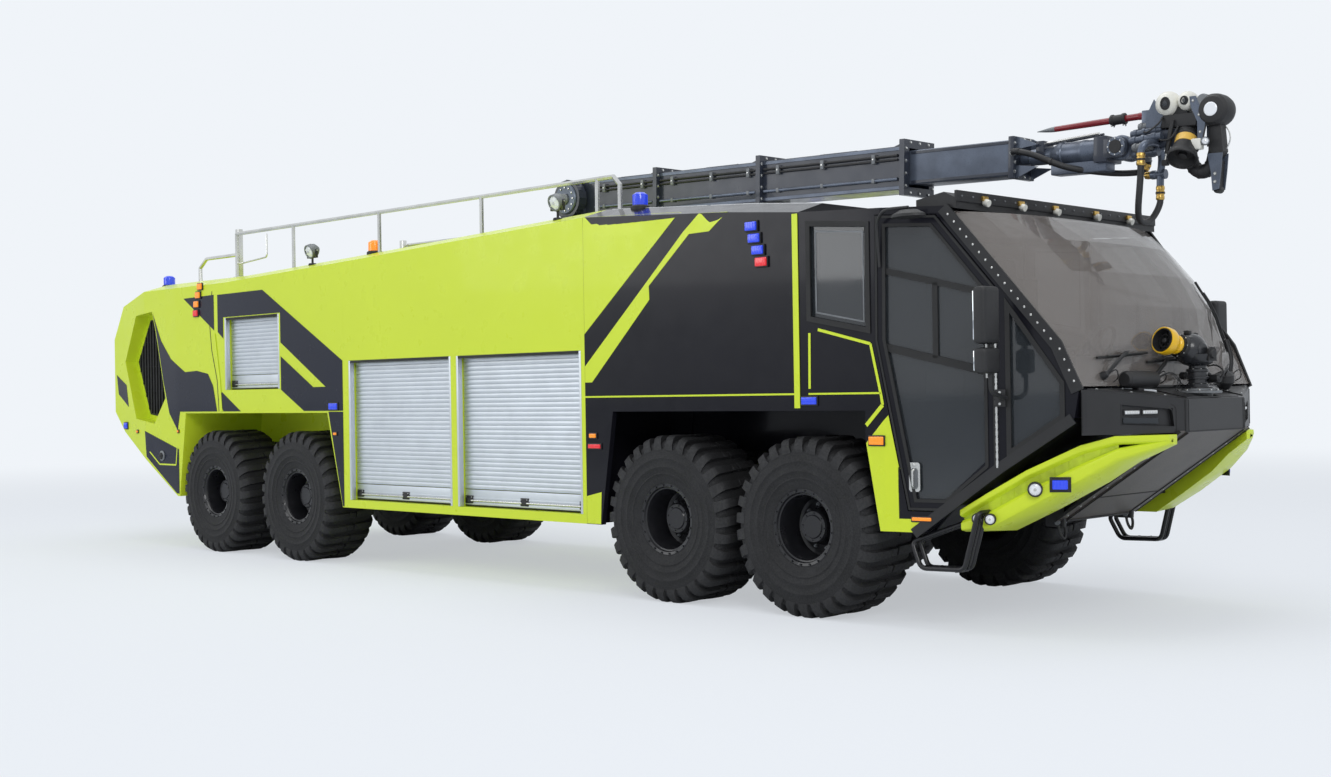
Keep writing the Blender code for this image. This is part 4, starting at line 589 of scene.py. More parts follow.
def wheels():
    for i, x in enumerate(AXLE_X):
        for name, s in SIDES:
            key = "%d%s" % (i + 1, name)
            tyre = tyre_mesh()
            outer = ring(lug_mesh(1, 0.030), LUGS)
            inner = moved(ring(lug_mesh(-1, -0.030), LUGS), Matrix.Rotation(pi / LUGS, 4, "Y"))
            middle = ring(block((-0.030, -0.040, 0.640), (0.030, 0.030, TYRE_R - 0.003), 0.006, 1), LUGS)
            middle = moved(middle, Matrix.Rotation(pi / LUGS / 2, 4, "Y"))
            at = Matrix.Translation((x, s * WHEEL_Y, WHEEL_Z)) @ Matrix.Rotation(radians(5 + 7 * i), 4, "Y")
            parts = [(moved(tyre, at), tyre_black)]
            parts += [(moved(mesh, at), lug_black) for mesh in (outer, inner, middle)]
            placed("tyre_" + key, parts, "wheel_" + key, ["wheel_" + key], smooth=radians(40))
            rim = wheel_rim(s)
            placed("rim_" + key, [(moved(rim[0], at), wheel_black)]
                   + [(moved(m, at), cast_grey) for m in rim[1:2]]
                   + [(moved(m, at), wheel_black) for m in rim[2:]], "wheel_" + key)


# Body graphics: films on the sides, as x, z outlines

CREASES = (-10.90, -10.27, -9.48, -8.37, -6.05, -2.39, -0.70, 0.03, 0.80)
DARK_BANDS = (((-9.28, 2.915), (-8.60, 2.925), (-8.60, 2.52)),
              ((-8.52, 2.92), (-7.57, 2.925), (-6.06, 2.115), (-6.06, 1.60), (-6.78, 1.60), (-7.22, 1.83),
               (-7.22, 2.19), (-6.60, 1.85), (-6.37, 1.85), (-7.22, 2.34), (-7.22, 2.66), (-8.40, 2.66),
               (-8.40, 2.42), (-8.52, 2.50)), ((-8.52, 1.74), (-8.45, 1.82), (-8.05, 1.60), (-8.42, 1.60)),)
LIME_BANDS = (
    ((-2.385, 3.26), (-2.385, 2.25), (-1.229, 3.198), (-1.30, 3.215)),
    ((-0.999, 3.175), (-0.695, 3.160), (-0.895, 3.020), (-1.117, 3.016), (-1.588, 2.621), (-1.583, 2.508),
     (-2.298, 1.832), (-2.385, 1.832), (-2.385, 1.97), (-1.18, 3.04)),
    ((-2.385, 0.85), (-2.200, 0.89), (-2.213, 0.615), (-2.385, 0.615)),
)
CAB_SKIRT = ((0.845, 1.545), (0.647, 1.342), (0.765, 0.703), (1.040, 0.703), (1.270, 0.855), (0.985, 0.860))


def line(points, wide):
    """Outline of a band of one width along points (u, v)."""
    points = [Vector(p) for p in points]
    left, right = [], []
    for i, at in enumerate(points):
        ahead = (points[min(i + 1, len(points) - 1)] - points[max(i - 1, 0)]).normalized()
        side = Vector((-ahead.y, ahead.x)) * wide / 2
        left.append(at + side)
        right.append(at - side)
    return [tuple(p) for p in left + right[::-1]]


def graphics():
    options = dict(creases=CREASES)
    dark = [m for band in DARK_BANDS for m in mirrored_film(band, **options)]
    placed("dark_bands", [(m, navy_film) for m in dark], "chassis")
    lime = [m for band in LIME_BANDS for m in mirrored_film(band, **options)]
    lime += mirrored_film(CAB_SKIRT, creases=CREASES)
    placed("lime_bands", [(m, lime_paint) for m in lime], "chassis")
    thin = []
    for points, wide in (
            (((-2.385, 1.707), (0.79, 1.707)), 0.014),
            (((0.127, 2.167), (0.121, 1.746)), 0.022),
            (((0.210, 2.190), (0.700, 2.068), (0.790, 1.690), (0.802, 1.620)), 0.022),
            (((0.802, 1.620), (0.651, 1.471)), 0.030)):
        for k in range(len(points) - 1):
            thin += mirrored_film(line(points[k:k + 2], wide), lift=0.003, **options)
    placed("thin_lines", [(m, lime_paint) for m in thin], "chassis")


# Lamps and small lights on the body

def lamp_block(wide, high, deep, lens_finish, flutes=3):
    """A lamp in a black bezel, face along +Z, with a domed and ribbed lens."""
    bezel = block((-wide / 2, -high / 2, 0), (wide / 2, high / 2, deep * 0.55), 0.006)
    dome = block((-wide / 2 + 0.010, -high / 2 + 0.010, deep * 0.3),
                 (wide / 2 - 0.010, high / 2 - 0.010, deep), 0.010, 3)
    pitch = (wide - 0.04) / flutes
    rib = block((-wide / 2 + 0.02, -high / 2 + 0.016, deep * 0.8),
                (-wide / 2 + 0.026, high / 2 - 0.016, deep + 0.002), 0.002, 1)
    ribs = row(rib, flutes + 1, (pitch, 0.0, 0.0))
    return [(bezel, matt_black), (dome, lens_finish), (ribs, lens_finish)]


def round_lamp(radius, deep, lens_finish, body_finish=None):
    """A round lamp along +Z: bezel ring, reflector bowl and a ribbed lens."""
    body_finish = body_finish or matt_black
    up = Matrix.Rotation(pi / 2, 4, "X")
    bezel = moved(lathe([(radius * 0.55, 0), (radius, 0), (radius, deep), (radius * 0.9, deep * 1.1),
                         (radius * 0.82, deep), (radius * 0.8, deep * 0.6)], 28, loop=True), up)
    glass = moved(lathe([(0, deep * 0.5), (radius * 0.8, deep * 0.5), (radius * 0.8, deep * 0.8),
                         (radius * 0.5, deep * 1.05), (0, deep * 1.15)], 28), up)
    core = moved(lathe([(0, deep * 0.6), (radius * 0.22, deep * 0.6), (radius * 0.2, deep * 1.2),
                        (0, deep * 1.25)], 16), up)
    spoke = block((-0.0025, 0, deep * 0.7), (0.0025, radius * 0.75, deep * 1.12), 0.001, 1)
    spokes = ring(spoke, 6, "Z")
    return [(m, f) for m, f in ((bezel, body_finish), (glass, lens_finish), (core, bright_steel),
                                             (spokes, lens_finish))]


def set_at(parts, matrix):
    return [(moved(mesh, matrix), finish) for mesh, finish in parts]


def both_sides(make):
    """Parts for the left and the right side; make(s) gives the parts of side s."""
    return [part for _, s in SIDES for part in make(s)]


STACK_REAR = ((-8.883, 3.035), (-8.929, 2.938), (-8.965, 2.835), (-8.985, 2.732))
STACK_FRONT = ((-0.435, 3.021), (-0.405, 2.926), (-0.369, 2.831), (-0.335, 2.737))
# x, z, width, height, lens
SIDE_LAMPS = ((0.120, 1.655, 0.165, 0.075, "blue"), (-6.225, 1.645, 0.17, 0.085, "blue"),
              (-10.86, 1.43, 0.12, 0.09, "blue"), (-6.198, 1.363, 0.07, 0.045, "amber"),
              (-9.44, 1.37, 0.045, 0.045, "amber"), (-10.51, 1.36, 0.06, 0.045, "amber"),
              (-2.290, 1.373, 0.10, 0.055, "amber"), (-2.270, 1.282, 0.17, 0.055, "red"),
              (0.746, 1.360, 0.15, 0.080, "amber"), (1.095, 0.800, 0.17, 0.045, "amber"),)
LENSES = {"blue": blue_lens, "amber": amber_lens, "red": red_lens, "clear": clear_lens}


def side_lamps():
    def stacks(s):
        parts = []
        for places, names, wide in ((STACK_REAR, ("amber", "amber", "amber", "red"), 0.115),
                                    (STACK_FRONT, ("blue", "blue", "blue", "red"), 0.135)):
            for (x, z), name in zip(places, names):
                parts += set_at(lamp_block(wide, 0.088, 0.03, LENSES[name], 4), side_frame(x, z, s))
        for x, z, wide, high, name in SIDE_LAMPS:
            parts += set_at(lamp_block(wide, high, 0.022, LENSES[name], 3), side_frame(x, z, s))
        return parts
    placed("side_lamps", both_sides(stacks), "chassis")


# Seams, tail and jambs

DARK_TAIL = (((-10.045, 2.775), (-9.94, 2.60), (-9.84, 2.44), (-9.60, 2.22), (-9.27, 2.06), (-9.00, 2.07),
              (-8.75, 2.03), (-8.64, 1.89), (-8.56, 1.60), (-9.40, 1.60), (-9.46, 1.38), (-9.66, 1.58),
              (-9.795, 1.95), (-9.963, 2.55)), ((-10.30, 1.37), (-9.44, 1.16), (-9.44, 0.64), (-9.50, 0.64),
                                                (-10.26, 1.06)),
             ((-11.13, 2.06), (-10.84, 1.93), (-10.78, 1.66), (-11.08, 1.82)),
             ((-6.325, 1.59), (-6.06, 1.59), (-6.06, 0.62), (-6.085, 0.62)),)
SEAMS = (
    ((-8.62, 3.06), (-8.70, 2.60), (-8.66, 2.30), (-8.55, 1.95), (-8.52, 1.60)),
    ((-6.05, 3.10), (-6.05, 0.63)), ((-2.39, 3.24), (-2.39, 0.63)), ((0.0, 3.07), (0.0, 1.60)),
)


def tail_and_seams():
    dark = [(m, navy_film) for band in DARK_TAIL for m in mirrored_film(band, creases=CREASES)]
    placed("dark_tail_panels", dark, "chassis")
    seams = []
    for points in SEAMS[:3]:
        seams += [(m, gasket) for m in mirrored_film(line(points, 0.012), creases=CREASES, lift=0.0005)]
    placed("panel_seams", seams, "chassis")
    strips = []
    for points, wide in ((((-8.60, 2.48), (-8.50, 1.95), (-8.465, 1.60)), 0.05),
                         (((0.0, 3.08), (0.0, 1.60)), 0.055)):
        films = mirrored_film(line(points, wide), creases=CREASES, lift=0.004, thick=0.004)
        strips += [(m, lime_paint) for m in films]
    thin = ((-10.17, 1.12), (-9.92, 0.975), (-9.51, 0.975), (-9.475, 1.18))
    for k in range(3):
        films = mirrored_film(line(thin[k:k + 2], 0.018), creases=CREASES, lift=0.004)
        strips += [(m, lime_paint) for m in films]
    placed("lime_edge_strips", strips, "chassis")

    def filler(s):
        at = side_frame(-9.85, 1.075, s)
        ring_mesh = lathe([(0.030, 0), (0.062, 0), (0.062, 0.012), (0.052, 0.018), (0.030, 0.018)], 28,
                          loop=True)
        cap = lathe([(0, 0), (0.04, 0), (0.04, 0.028), (0.034, 0.034), (0, 0.036)], 24)
        grip = block((-0.03, 0.030, -0.006), (0.03, 0.044, 0.006), 0.003)
        return set_at([(ring_mesh, cast_grey), (cap, matt_black), (grip, matt_black)],
                      at @ Matrix.Rotation(pi / 2, 4, "X"))
    placed("tail_fillers", both_sides(filler), "chassis")


# Roller shutters

LOCKERS = (("1", -5.95, -4.27, 0.69, 2.11), ("2", -4.18, -2.44, 0.69, 2.11), ("3", -8.37, -7.25, 1.84, 2.65))
CURTAIN_Y = 1.455
RUN = 0.006
BAR_HIGH = 0.16
TUCK = 0.03
SLAT = 0.0425


def shutters():
    for key, x0, x1, z0, z1 in LOCKERS:
        for name, s in SIDES:
            low = z0 + RUN
            bar_top = low + BAR_HIGH
            top = z1 + TUCK
            count = round((top - bar_top) / SLAT)
            pitch = (top - bar_top - 0.001) / count
            profile = [(0.0, 0.0), (0.010, 0.0), (0.012, 0.004), (0.0145, pitch * 0.30),
                       (0.0145, pitch * 0.70), (0.012, pitch * 0.9), (0.007, pitch * 0.93), (0.006, pitch),
                       (0.0, pitch)]
            slat = prism([(d, z) for d, z in profile], x1 - x0 - 2 * RUN)
            turn = Matrix(((0, 0, 1, (x0 + x1) / 2), (s, 0, 0, s * CURTAIN_Y), (0, 1, 0, bar_top + 0.0005),
                           (0, 0, 0, 1)))
            slats = row(moved(slat, turn), count, (0.0, 0.0, pitch))
            curtain = placed("curtain_%s%s" % (key, name), [(slats, slat_silver)], "chassis",
                             ["shutter_%s%s" % (key, name)])
            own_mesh(curtain)
            lift_bar(key, name, s, x0, x1, low)


def lift_bar(key, name, s, x0, x1, low):
    """Bottom rail with its seal, a round grip rail and black brackets."""
    def at(x, d, z):
        return (x, s * (CURTAIN_Y + d), z)

    def bar(xa, xb, da, db, za, zb, soft=0.004):
        lo, hi = at(xa, da, za), at(xb, db, zb)
        return block([min(a, b) for a, b in zip(lo, hi)], [max(a, b) for a, b in zip(lo, hi)], soft)
    xa, xb = x0 + 0.004, x1 - 0.004
    parts = [(bar(xa, xb, 0.001, 0.013, low + 0.012, low + 0.155), slat_silver),
             (bar(xa, xb, 0.011, 0.017, low + 0.070, low + 0.084, 0.002), slat_silver),
             (bar(xa, xb, 0.001, 0.018, low + 0.012, low + 0.034, 0.003), slat_silver),
             (bar(xa, xb, 0.003, 0.015, low, low + 0.014, 0.004), gasket)]
    rail = tube([at(xa + 0.05, 0.021, low + 0.052), at(xb - 0.05, 0.021, low + 0.052)], 0.0095, sides=12)
    parts.append((rail, bright_steel))
    places = (0, 1) if key == "3" else (0, 0.5, 1)
    for share in places:
        x = xa + 0.01 + share * (xb - xa - 0.13)
        parts.append((bar(x, x + 0.11, 0.009, 0.024, low + 0.024, low + 0.098, 0.006), matt_black))
        parts.append((bar(x + 0.02, x + 0.09, 0.020, 0.031, low + 0.034, low + 0.072, 0.006), matt_black))
        for dx in (0.014, 0.096):
            screw = turned_between(at(x + dx, 0.022, low + 0.084), at(x + dx, 0.027, low + 0.084),
                                   ((0.006, 0), (0.005, 1)), 10)
            parts.append((screw, bright_steel))
    placed("lift_rail_%s%s" % (key, name), parts, "lift_bar_%s%s" % (key, name),
           ["lift_bar_%s%s" % (key, name)])


def shutter_frames():
    """Guide channels and sills round each shutter mouth."""
    parts = []
    for _, x0, x1, z0, z1 in LOCKERS:
        for _, s in SIDES:
            for x in (x0 + 0.012, x1 - 0.012):
                y0, y1 = sorted((s * 1.502, s * 1.553))
                parts.append((block((x - 0.014, y0, z0 + 0.002), (x + 0.014, y1, z1), 0.003), slat_silver))
            y0, y1 = sorted((s * 1.505, s * 1.552))
            parts.append((block((x0 + 0.004, y0, z1 - 0.022), (x1 - 0.004, y1, z1 + 0.002), 0.003), gasket))
    placed("shutter_frames", parts, "chassis")


# Cab

TAPER_X = 0.80
TAPER = 0.187
BODY_HALF = 1.55


def cab_side(s, inset=0.0):
    """Matrix for an (x, z) outline on the tapering cab side, its third axis pointing out."""
    slope = -TAPER * s
    along = Vector((1, slope, 0))
    out = (Vector((-slope, 1, 0)) * s).normalized()
    base = Vector((TAPER_X, s * BODY_HALF, 0)) - out * inset - along * TAPER_X
    return Matrix(((along.x, 0, out.x, base.x), (along.y, 0, out.y, base.y), (0, 1, 0, 0), (0, 0, 0, 1)))


def on_cab(points, thick, s, inset, soft=0.003):
    return moved(prism(points, thick, soft), cab_side(s, inset))


def framed(outline, wide):
    """Corner points of a closed outline and of the same outline drawn in by a width."""
    count = len(outline)
    area = sum(a[0] * b[1] - b[0] * a[1] for a, b in zip(outline, outline[1:] + outline[:1]))
    side = 1 if area > 0 else -1
    edges = []
    for i in range(count):
        a, b = Vector(outline[i]), Vector(outline[(i + 1) % count])
        along = (b - a).normalized()
        edges.append((a + Vector((-along.y, along.x)) * side * wide, along))
    inner = []
    for i in range(count):
        p, u = edges[i - 1]
        q, v = edges[i]
        t = ((q - p).x * v.y - (q - p).y * v.x) / (u.x * v.y - u.y * v.x)
        inner.append(tuple(p + u * t))
    return inner


def rim_strip(outline, wide, thick, soft=0.0):
    """A closed strip that follows an outline."""
    inner = framed(outline, wide)
    bm = bmesh.new()
    levels = []
    for z in (-thick / 2, thick / 2):
        levels.append(([bm.verts.new((*p, z)) for p in outline], [bm.verts.new((*p, z)) for p in inner]))
    count = len(outline)
    (o0, i0), (o1, i1) = levels
    for k in range(count):
        j = (k + 1) % count
        bm.faces.new((o0[k], o0[j], i0[j], i0[k]))
        bm.faces.new((o1[k], i1[k], i1[j], o1[j]))
        bm.faces.new((o0[k], o1[k], o1[j], o0[j]))
        bm.faces.new((i0[k], i0[j], i1[j], i1[k]))
    if soft:
        softened(bm, soft, 1)
    return closed(bm)


DOOR = [(0.76, 3.00), (0.75, 2.086), (0.99, 0.86), (1.30, 0.86), (1.66, 1.15), (1.66, 2.44), (1.23, 2.97)]
QUARTER = [(1.745, 2.32), (2.135, 1.76), (2.135, 1.53), (1.745, 1.27)]
REAR_PANE = [(0.12, 2.27), (0.69, 2.16), (0.69, 2.95), (0.12, 3.00)]


def door_trim():
    for name, s in SIDES:
        parts = []
        pane = framed(DOOR[::-1], 0.060)
        parts.append((moved(rim_strip(pane, 0.024, 0.012, 0.003), cab_side(s, -0.002)), gasket))
        edge = framed(DOOR[::-1], 0.004)
        parts.append((moved(rim_strip(edge, 0.016, 0.010, 0.002), cab_side(s, -0.002)), gasket))
        for points, wide in ((((0.80, 2.60), (1.60, 2.395)), 0.045), (((0.80, 2.045), (1.60, 1.845)), 0.055),
                             (((1.215, 2.49), (1.215, 1.95)), 0.040)):
            parts.append((on_cab(line(points, wide), 0.014, s, 0.010), gasket))
        # door handle: cup plate, lever and lock
        for lo, hi, thick, finish, deep in (
                ((1.000, 0.995), (1.085, 1.205), 0.006, bright_steel, -0.003),
                ((1.016, 1.015), (1.068, 1.165), 0.010, cast_grey, -0.006)):
            outline = [(lo[0] + 0.012, lo[1]), (hi[0] - 0.012, lo[1]), (hi[0], lo[1] + 0.016),
                       (hi[0], hi[1] - 0.016), (hi[0] - 0.012, hi[1]), (lo[0] + 0.012, hi[1]),
                       (lo[0], hi[1] - 0.016), (lo[0], lo[1] + 0.016)]
            parts.append((on_cab(outline, thick, s, deep, 0.002), finish))
        at = cab_side(s, 0)
        lever = tube([at @ Vector(p) for p in ((1.042, 1.030, 0.010), (1.042, 1.035, 0.034),
                                               (1.042, 1.150, 0.034), (1.042, 1.155, 0.010))], 0.009, 0.02, 8)
        parts.append((lever, bright_steel))
        lock = turned_between(at @ Vector((1.042, 1.187, 0.004)), at @ Vector((1.042, 1.187, 0.016)),
                              ((0.012, 0), (0.012, 0.7), (0.008, 1)), 14)
        parts.append((lock, bright_steel))
        placed("door_trim_" + name, parts, "door_" + name)


def cab_trim():
    parts = []
    for _, s in SIDES:
        parts.append((moved(rim_strip(framed(QUARTER, -0.012), 0.034, 0.012, 0.003), cab_side(s, -0.003)),
                      gasket))
        at = cab_side(s, 0)
        pane = framed(REAR_PANE, -0.014)
        flat = Matrix(((1, 0, 0, 0), (0, 0, s, s * (BODY_HALF + 0.003)), (0, 1, 0, 0), (0, 0, 0, 1)))
        parts.append((moved(rim_strip(pane, 0.040, 0.012, 0.003), flat), gasket))
        inner = framed(REAR_PANE, 0.055)
        parts.append((moved(rim_strip(inner, 0.012, 0.004), flat @ Matrix.Translation((0, 0, -0.022))),
                      cast_grey))
        # piano hinge down the pillar
        hinge = [at @ Vector((1.664, z, 0.008)) for z in (1.175, 2.425)]
        parts.append((tube(hinge, 0.009, sides=10), bright_steel))
        knuckle = tube([at @ Vector((1.664, 1.19, 0.008)), at @ Vector((1.664, 1.225, 0.008))], 0.0115,
                       sides=10)
        parts.append((row(knuckle, 24, (0.0, 0.0, 0.0522)), bright_steel))
        # windscreen pillar cover and its screws
        path = [(2.235, 1.70), (2.096, 2.02), (1.29, 3.015)]
        cover = line(path, 0.085)
        parts.append((on_cab(cover, 0.020, s, -0.004, 0.005), matt_black))
        lower = line([(1.03, 0.695), (1.68, 1.175), (2.20, 1.515)], 0.075)
        parts.append((on_cab(lower, 0.016, s, -0.002, 0.004), matt_black))
        for (ax, az), (bx, bz), count in (((2.215, 1.77), (2.12, 1.99), 4),
                                          ((2.06, 2.06), (1.33, 2.965), 17)):
            a, b = at @ Vector((ax, az, 0.012)), at @ Vector((bx, bz, 0.012))
            out = (at.to_3x3() @ Vector((0, 0, 1))).normalized()
            screw = turned_between(a, a + out * 0.008, ((0.009, 0), (0.008, 0.6), (0.004, 1)), 10)
            parts.append((row(screw, count, (b - a) / (count - 1)), bright_steel))
    placed("cab_trim", parts, "chassis")


def wipers():
    """Two wipers parked low on the near half and one upright on the far half."""
    screen = surface_of("windscreen")
    parts = []

    def on_screen(y, z, lift=0.0):
        place, normal, _, _ = screen.ray_cast(Vector((4, y, z)), Vector((-1, 0, 0)))
        return place + (normal if normal.x > 0 else -normal) * lift
    for foot, elbow, tip_a, tip_b in (
            ((-0.98, 1.80), (-0.72, 1.97), (-1.02, 1.925), (-0.42, 1.965)),
            ((-0.34, 1.79), (-0.16, 1.93), (-0.40, 1.90), (0.16, 1.925)),
            ((0.90, 1.80), (0.93, 2.06), (0.80, 2.52), (0.97, 1.98))):
        base = on_screen(*foot, 0.02)
        parts.append((turned_between(base - Vector((0.05, 0, 0.02)), base + Vector((0.02, 0, 0.012)),
                                     ((0.030, 0), (0.030, 0.6), (0.020, 1)), 16), matt_black))
        arm = [base, on_screen((foot[0] + elbow[0]) / 2, (foot[1] + elbow[1]) / 2, 0.055),
               on_screen(*elbow, 0.035)]
        parts.append((tube(arm, 0.011, 0.08, 8), matt_black))
        spare = [p + Vector((0.0, 0.035, 0.004)) for p in arm]
        parts.append((tube(spare, 0.006, 0.08, 8), matt_black))
        blade = [on_screen(tip_a[0] + (tip_b[0] - tip_a[0]) * t / 6, tip_a[1] + (tip_b[1] - tip_a[1]) * t / 6,
                           0.016) for t in range(7)]
        parts.append((tube(blade, 0.010, 0.05, 6), gasket))
        parts.append((tube([p + Vector((0.012, 0, 0.006)) for p in blade[1:6]], 0.006, 0.05, 6), matt_black))
        hose = [base + Vector((0.01, 0.02, 0)), base + Vector((0.06, 0.05, 0.05)),
                base + Vector((0.05, 0.10, -0.02)), base + Vector((-0.02, 0.13, -0.05))]
        parts.append((tube(hose, 0.004, 0.04, 6), hose_black))
    placed("wipers", parts, "chassis")


def visor_trim():
    """Front lip of the brow with its work lamp brackets and screws."""
    lo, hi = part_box("header_visor")
    front = hi.x - FIRST_AXLE.x
    half = hi.y
    parts = [(block((front - 0.012, -half, lo.z + 0.05), (front + 0.012, half, hi.z + 0.004), 0.005),
              matt_black)]
    screw = turned_between((front + 0.010, -half + 0.06, hi.z - 0.035),
                           (front + 0.018, -half + 0.06, hi.z - 0.035), ((0.008, 0), (0.006, 1)), 10)
    parts.append((row(screw, 21, (0.0, (2 * half - 0.12) / 20, 0.0)), cast_grey))
    for y in (-1.10, -0.62, -0.14, 0.46, 0.98):
        parts.append((block((front + 0.008, y - 0.035, hi.z - 0.055), (front + 0.03, y + 0.035, hi.z - 0.02),
                            0.005), brass))
        parts.append((turned_between((front + 0.01, y, hi.z - 0.06), (front + 0.055, y, hi.z - 0.075),
                                     ((0.022, 0), (0.028, 0.5), (0.026, 1)), 14), pod_white))
    placed("visor_trim", parts, "chassis")


def mirrors():
    for name, s in SIDES:
        y = s * 1.70
        parts = []
        for z0, z1, glass_z in ((2.03, 2.42, (2.06, 2.39)), (1.83, 2.005, (1.85, 1.985))):
            shell = block((1.745, y - 0.098, z0), (1.845, y + 0.098, z1), 0.035, 4)
            parts.append((shell, matt_black))
            parts.append((block((1.739, y - 0.082, glass_z[0]), (1.750, y + 0.082, glass_z[1]), 0.003),
                          mirror_glass))
        foot = cab_side(s, 0) @ Vector((1.70, 1.66, 0.02))
        arm_y = y - s * 0.03
        arm = [foot, (1.80, s * 1.47, 1.66), (1.80, arm_y, 1.70), (1.80, arm_y, 2.06)]
        parts.append((tube(arm, 0.016, 0.06, 12), matt_black))
        parts.append((tube([(1.775, arm_y, 1.80), (1.775, arm_y, 2.10)], 0.010, sides=10), bright_steel))
        plate_at = cab_side(s, -0.016)
        parts.append((moved(prism([(1.662, 1.60), (1.738, 1.60), (1.738, 1.72), (1.662, 1.72)], 0.028, 0.006),
                            plate_at), matt_black))
        for dz in (1.62, 1.70):
            a = cab_side(s, 0) @ Vector((1.70, dz, 0.026))
            out = (cab_side(s).to_3x3() @ Vector((0, 0, 1))).normalized()
            parts.append((turned_between(a, a + out * 0.012, ((0.010, 0), (0.010, 1)), 6), bright_steel))
        placed("mirror_pair_" + name, parts, "chassis", ["mirror_" + name])
        # kerb mirror under the roof edge
        hood_parts = []
        at = cab_side(s, 0)
        path = [at @ Vector(p) for p in ((0.80, 2.62, 0.012), (0.80, 2.95, 0.05), (0.90, 3.02, 0.14),
                                         (1.10, 3.02, 0.16))]
        hood_parts.append((tube(path, 0.012, 0.06, 10), matt_black))
        cup = lathe([(0, 0.035), (0.06, 0.03), (0.11, 0.0), (0.115, -0.02), (0.10, -0.025), (0, -0.02)], 24)
        hood_parts.append((moved(cup, Matrix.Translation(at @ Vector((1.10, 2.97, 0.16)))
                                 @ Matrix.Rotation(pi / 2, 4, "X") @ Matrix.Diagonal((1.2, 1, 0.8, 1))),
                           matt_black))
        placed("kerb_mirror_" + name, hood_parts, "chassis")


def cab_inside():
    """Seats with bolsters and head rests, steering wheel, lining and screens on the dashboard."""
    parts = []
    for y in (0, 0.86, -0.86):
        parts.append((block((0.42, y - 0.25, 1.86), (0.92, y + 0.25, 2.02), 0.05, 4), seat_cloth))
        for d in (-1, 1):
            parts.append((block((0.44, y + d * 0.22 - 0.05, 1.95), (0.88, y + d * 0.22 + 0.05, 2.06), 0.03,
                                3), seat_cloth))
        back = block((-0.06, -0.25, 0), (0.06, 0.25, 0.62), 0.05, 4)
        lean = Matrix.Translation((0.40, y, 2.00)) @ Matrix.Rotation(radians(-9), 4, "Y")
        parts.append((moved(back, lean), seat_cloth))
        head = block((-0.045, -0.14, 0.64), (0.055, 0.14, 0.84), 0.045, 4)
        parts.append((moved(head, lean), seat_cloth))
        parts.append((block((0.50, y - 0.16, 1.66), (0.84, y + 0.16, 1.87), 0.01), cab_grey))
    wheel_at = Matrix.Translation((1.62, 0, 2.00)) @ Matrix.Rotation(radians(-55), 4, "Y")
    rim = moved(lathe([(0.225 + 0.016 * cos(t * pi / 4), 0.016 * sin(t * pi / 4)) for t in range(8)], 40,
                      loop=True), Matrix.Rotation(pi / 2, 4, "X"))
    parts.append((moved(rim, wheel_at), gasket))
    spoke = tube([(0, 0, 0), (0.22, 0, 0)], 0.014, sides=8)
    parts.append((moved(ring(spoke, 3, "Z"), wheel_at), gasket))
    parts.append((turned_between((1.62, 0, 2.00), (1.84, 0, 1.72), ((0.05, 0), (0.035, 0.3), (0.05, 1)), 16),
                  dash_black))
    for y, wide in ((0.42, 0.34), (-0.46, 0.40), (0.95, 0.26)):
        parts.append((block((1.80, y - wide / 2, 1.76), (1.86, y + wide / 2, 1.95), 0.012), dash_black))
        parts.append((block((1.796, y - wide / 2 + 0.02, 1.78), (1.802, y + wide / 2 - 0.02, 1.93), 0.003),
                      tinted_glass))
    parts.append((block((0.12, -1.42, 1.66), (0.14, 1.42, 2.98), 0.008), cab_grey))
    placed("cab_inside", parts, "chassis")


# Nose, wings, apron and steps

NOSE = (2.60, 0.44)
NOSE_SIDE = (2.2553, 1.2748)
HOOD_TOP_Z = 1.634
HOOD_FALL = -0.2232


def facing(at, out):
    """Matrix at a point, its third axis along out and its second as upright as it can be."""
    out = Vector(out).normalized()
    up = (Vector((0, 0, 1)) - out * out.z).normalized()
    along = up.cross(out)
    return Matrix(((along.x, up.x, out.x, at[0]), (along.y, up.y, out.y, at[1]),
                   (along.z, up.z, out.z, at[2]), (0, 0, 0, 1)))


def loft(sections, soft=0.0, steps=2):
    """A closed solid through sections of the same number of points."""
    bm = bmesh.new()
    rings = [[bm.verts.new(p) for p in section] for section in sections]
    count = len(rings[0])
    for a, b in zip(rings, rings[1:]):
        for k in range(count):
            j = (k + 1) % count
            bm.faces.new((a[k], a[j], b[j], b[k]))
    bm.faces.new(rings[0][::-1])
    bm.faces.new(rings[-1])
    if soft:
        bmesh.ops.recalc_face_normals(bm, faces=bm.faces)
        softened(bm, soft, steps)
    return closed(bm)


def bolts_at(places, out, radius=0.010, high=0.008, washer=True):
    """Hexagon bolt heads with washers at places, pointing along out."""
    out = Vector(out).normalized()
    parts = []
    for place in places:
        place = Vector(place)
        if washer:
            parts.append((turned_between(place - out * 0.002, place + out * 0.002,
                                         ((radius * 1.5, 0), (radius * 1.5, 0.8), (radius * 1.3, 1)), 12),
                          cast_grey))
        parts.append((turned_between(place, place + out * high,
                                     ((radius, 0), (radius, 0.8), (radius * 0.8, 1)), 6), bright_steel))
    return parts


def nose_side(s, inset=0.0):
    """Matrix for (way back along the slanted nose side, z), its third axis pointing out."""
    a = Vector((NOSE[0], s * NOSE[1], 0))
    along = (Vector((NOSE_SIDE[0], s * NOSE_SIDE[1], 0)) - a).normalized()
    out = Vector((along.y, -along.x, 0)) * s
    base = a - out * inset
    return Matrix(((along.x, 0, out.x, base.x), (along.y, 0, out.y, base.y), (0, 1, 0, 0), (0, 0, 0, 1)))


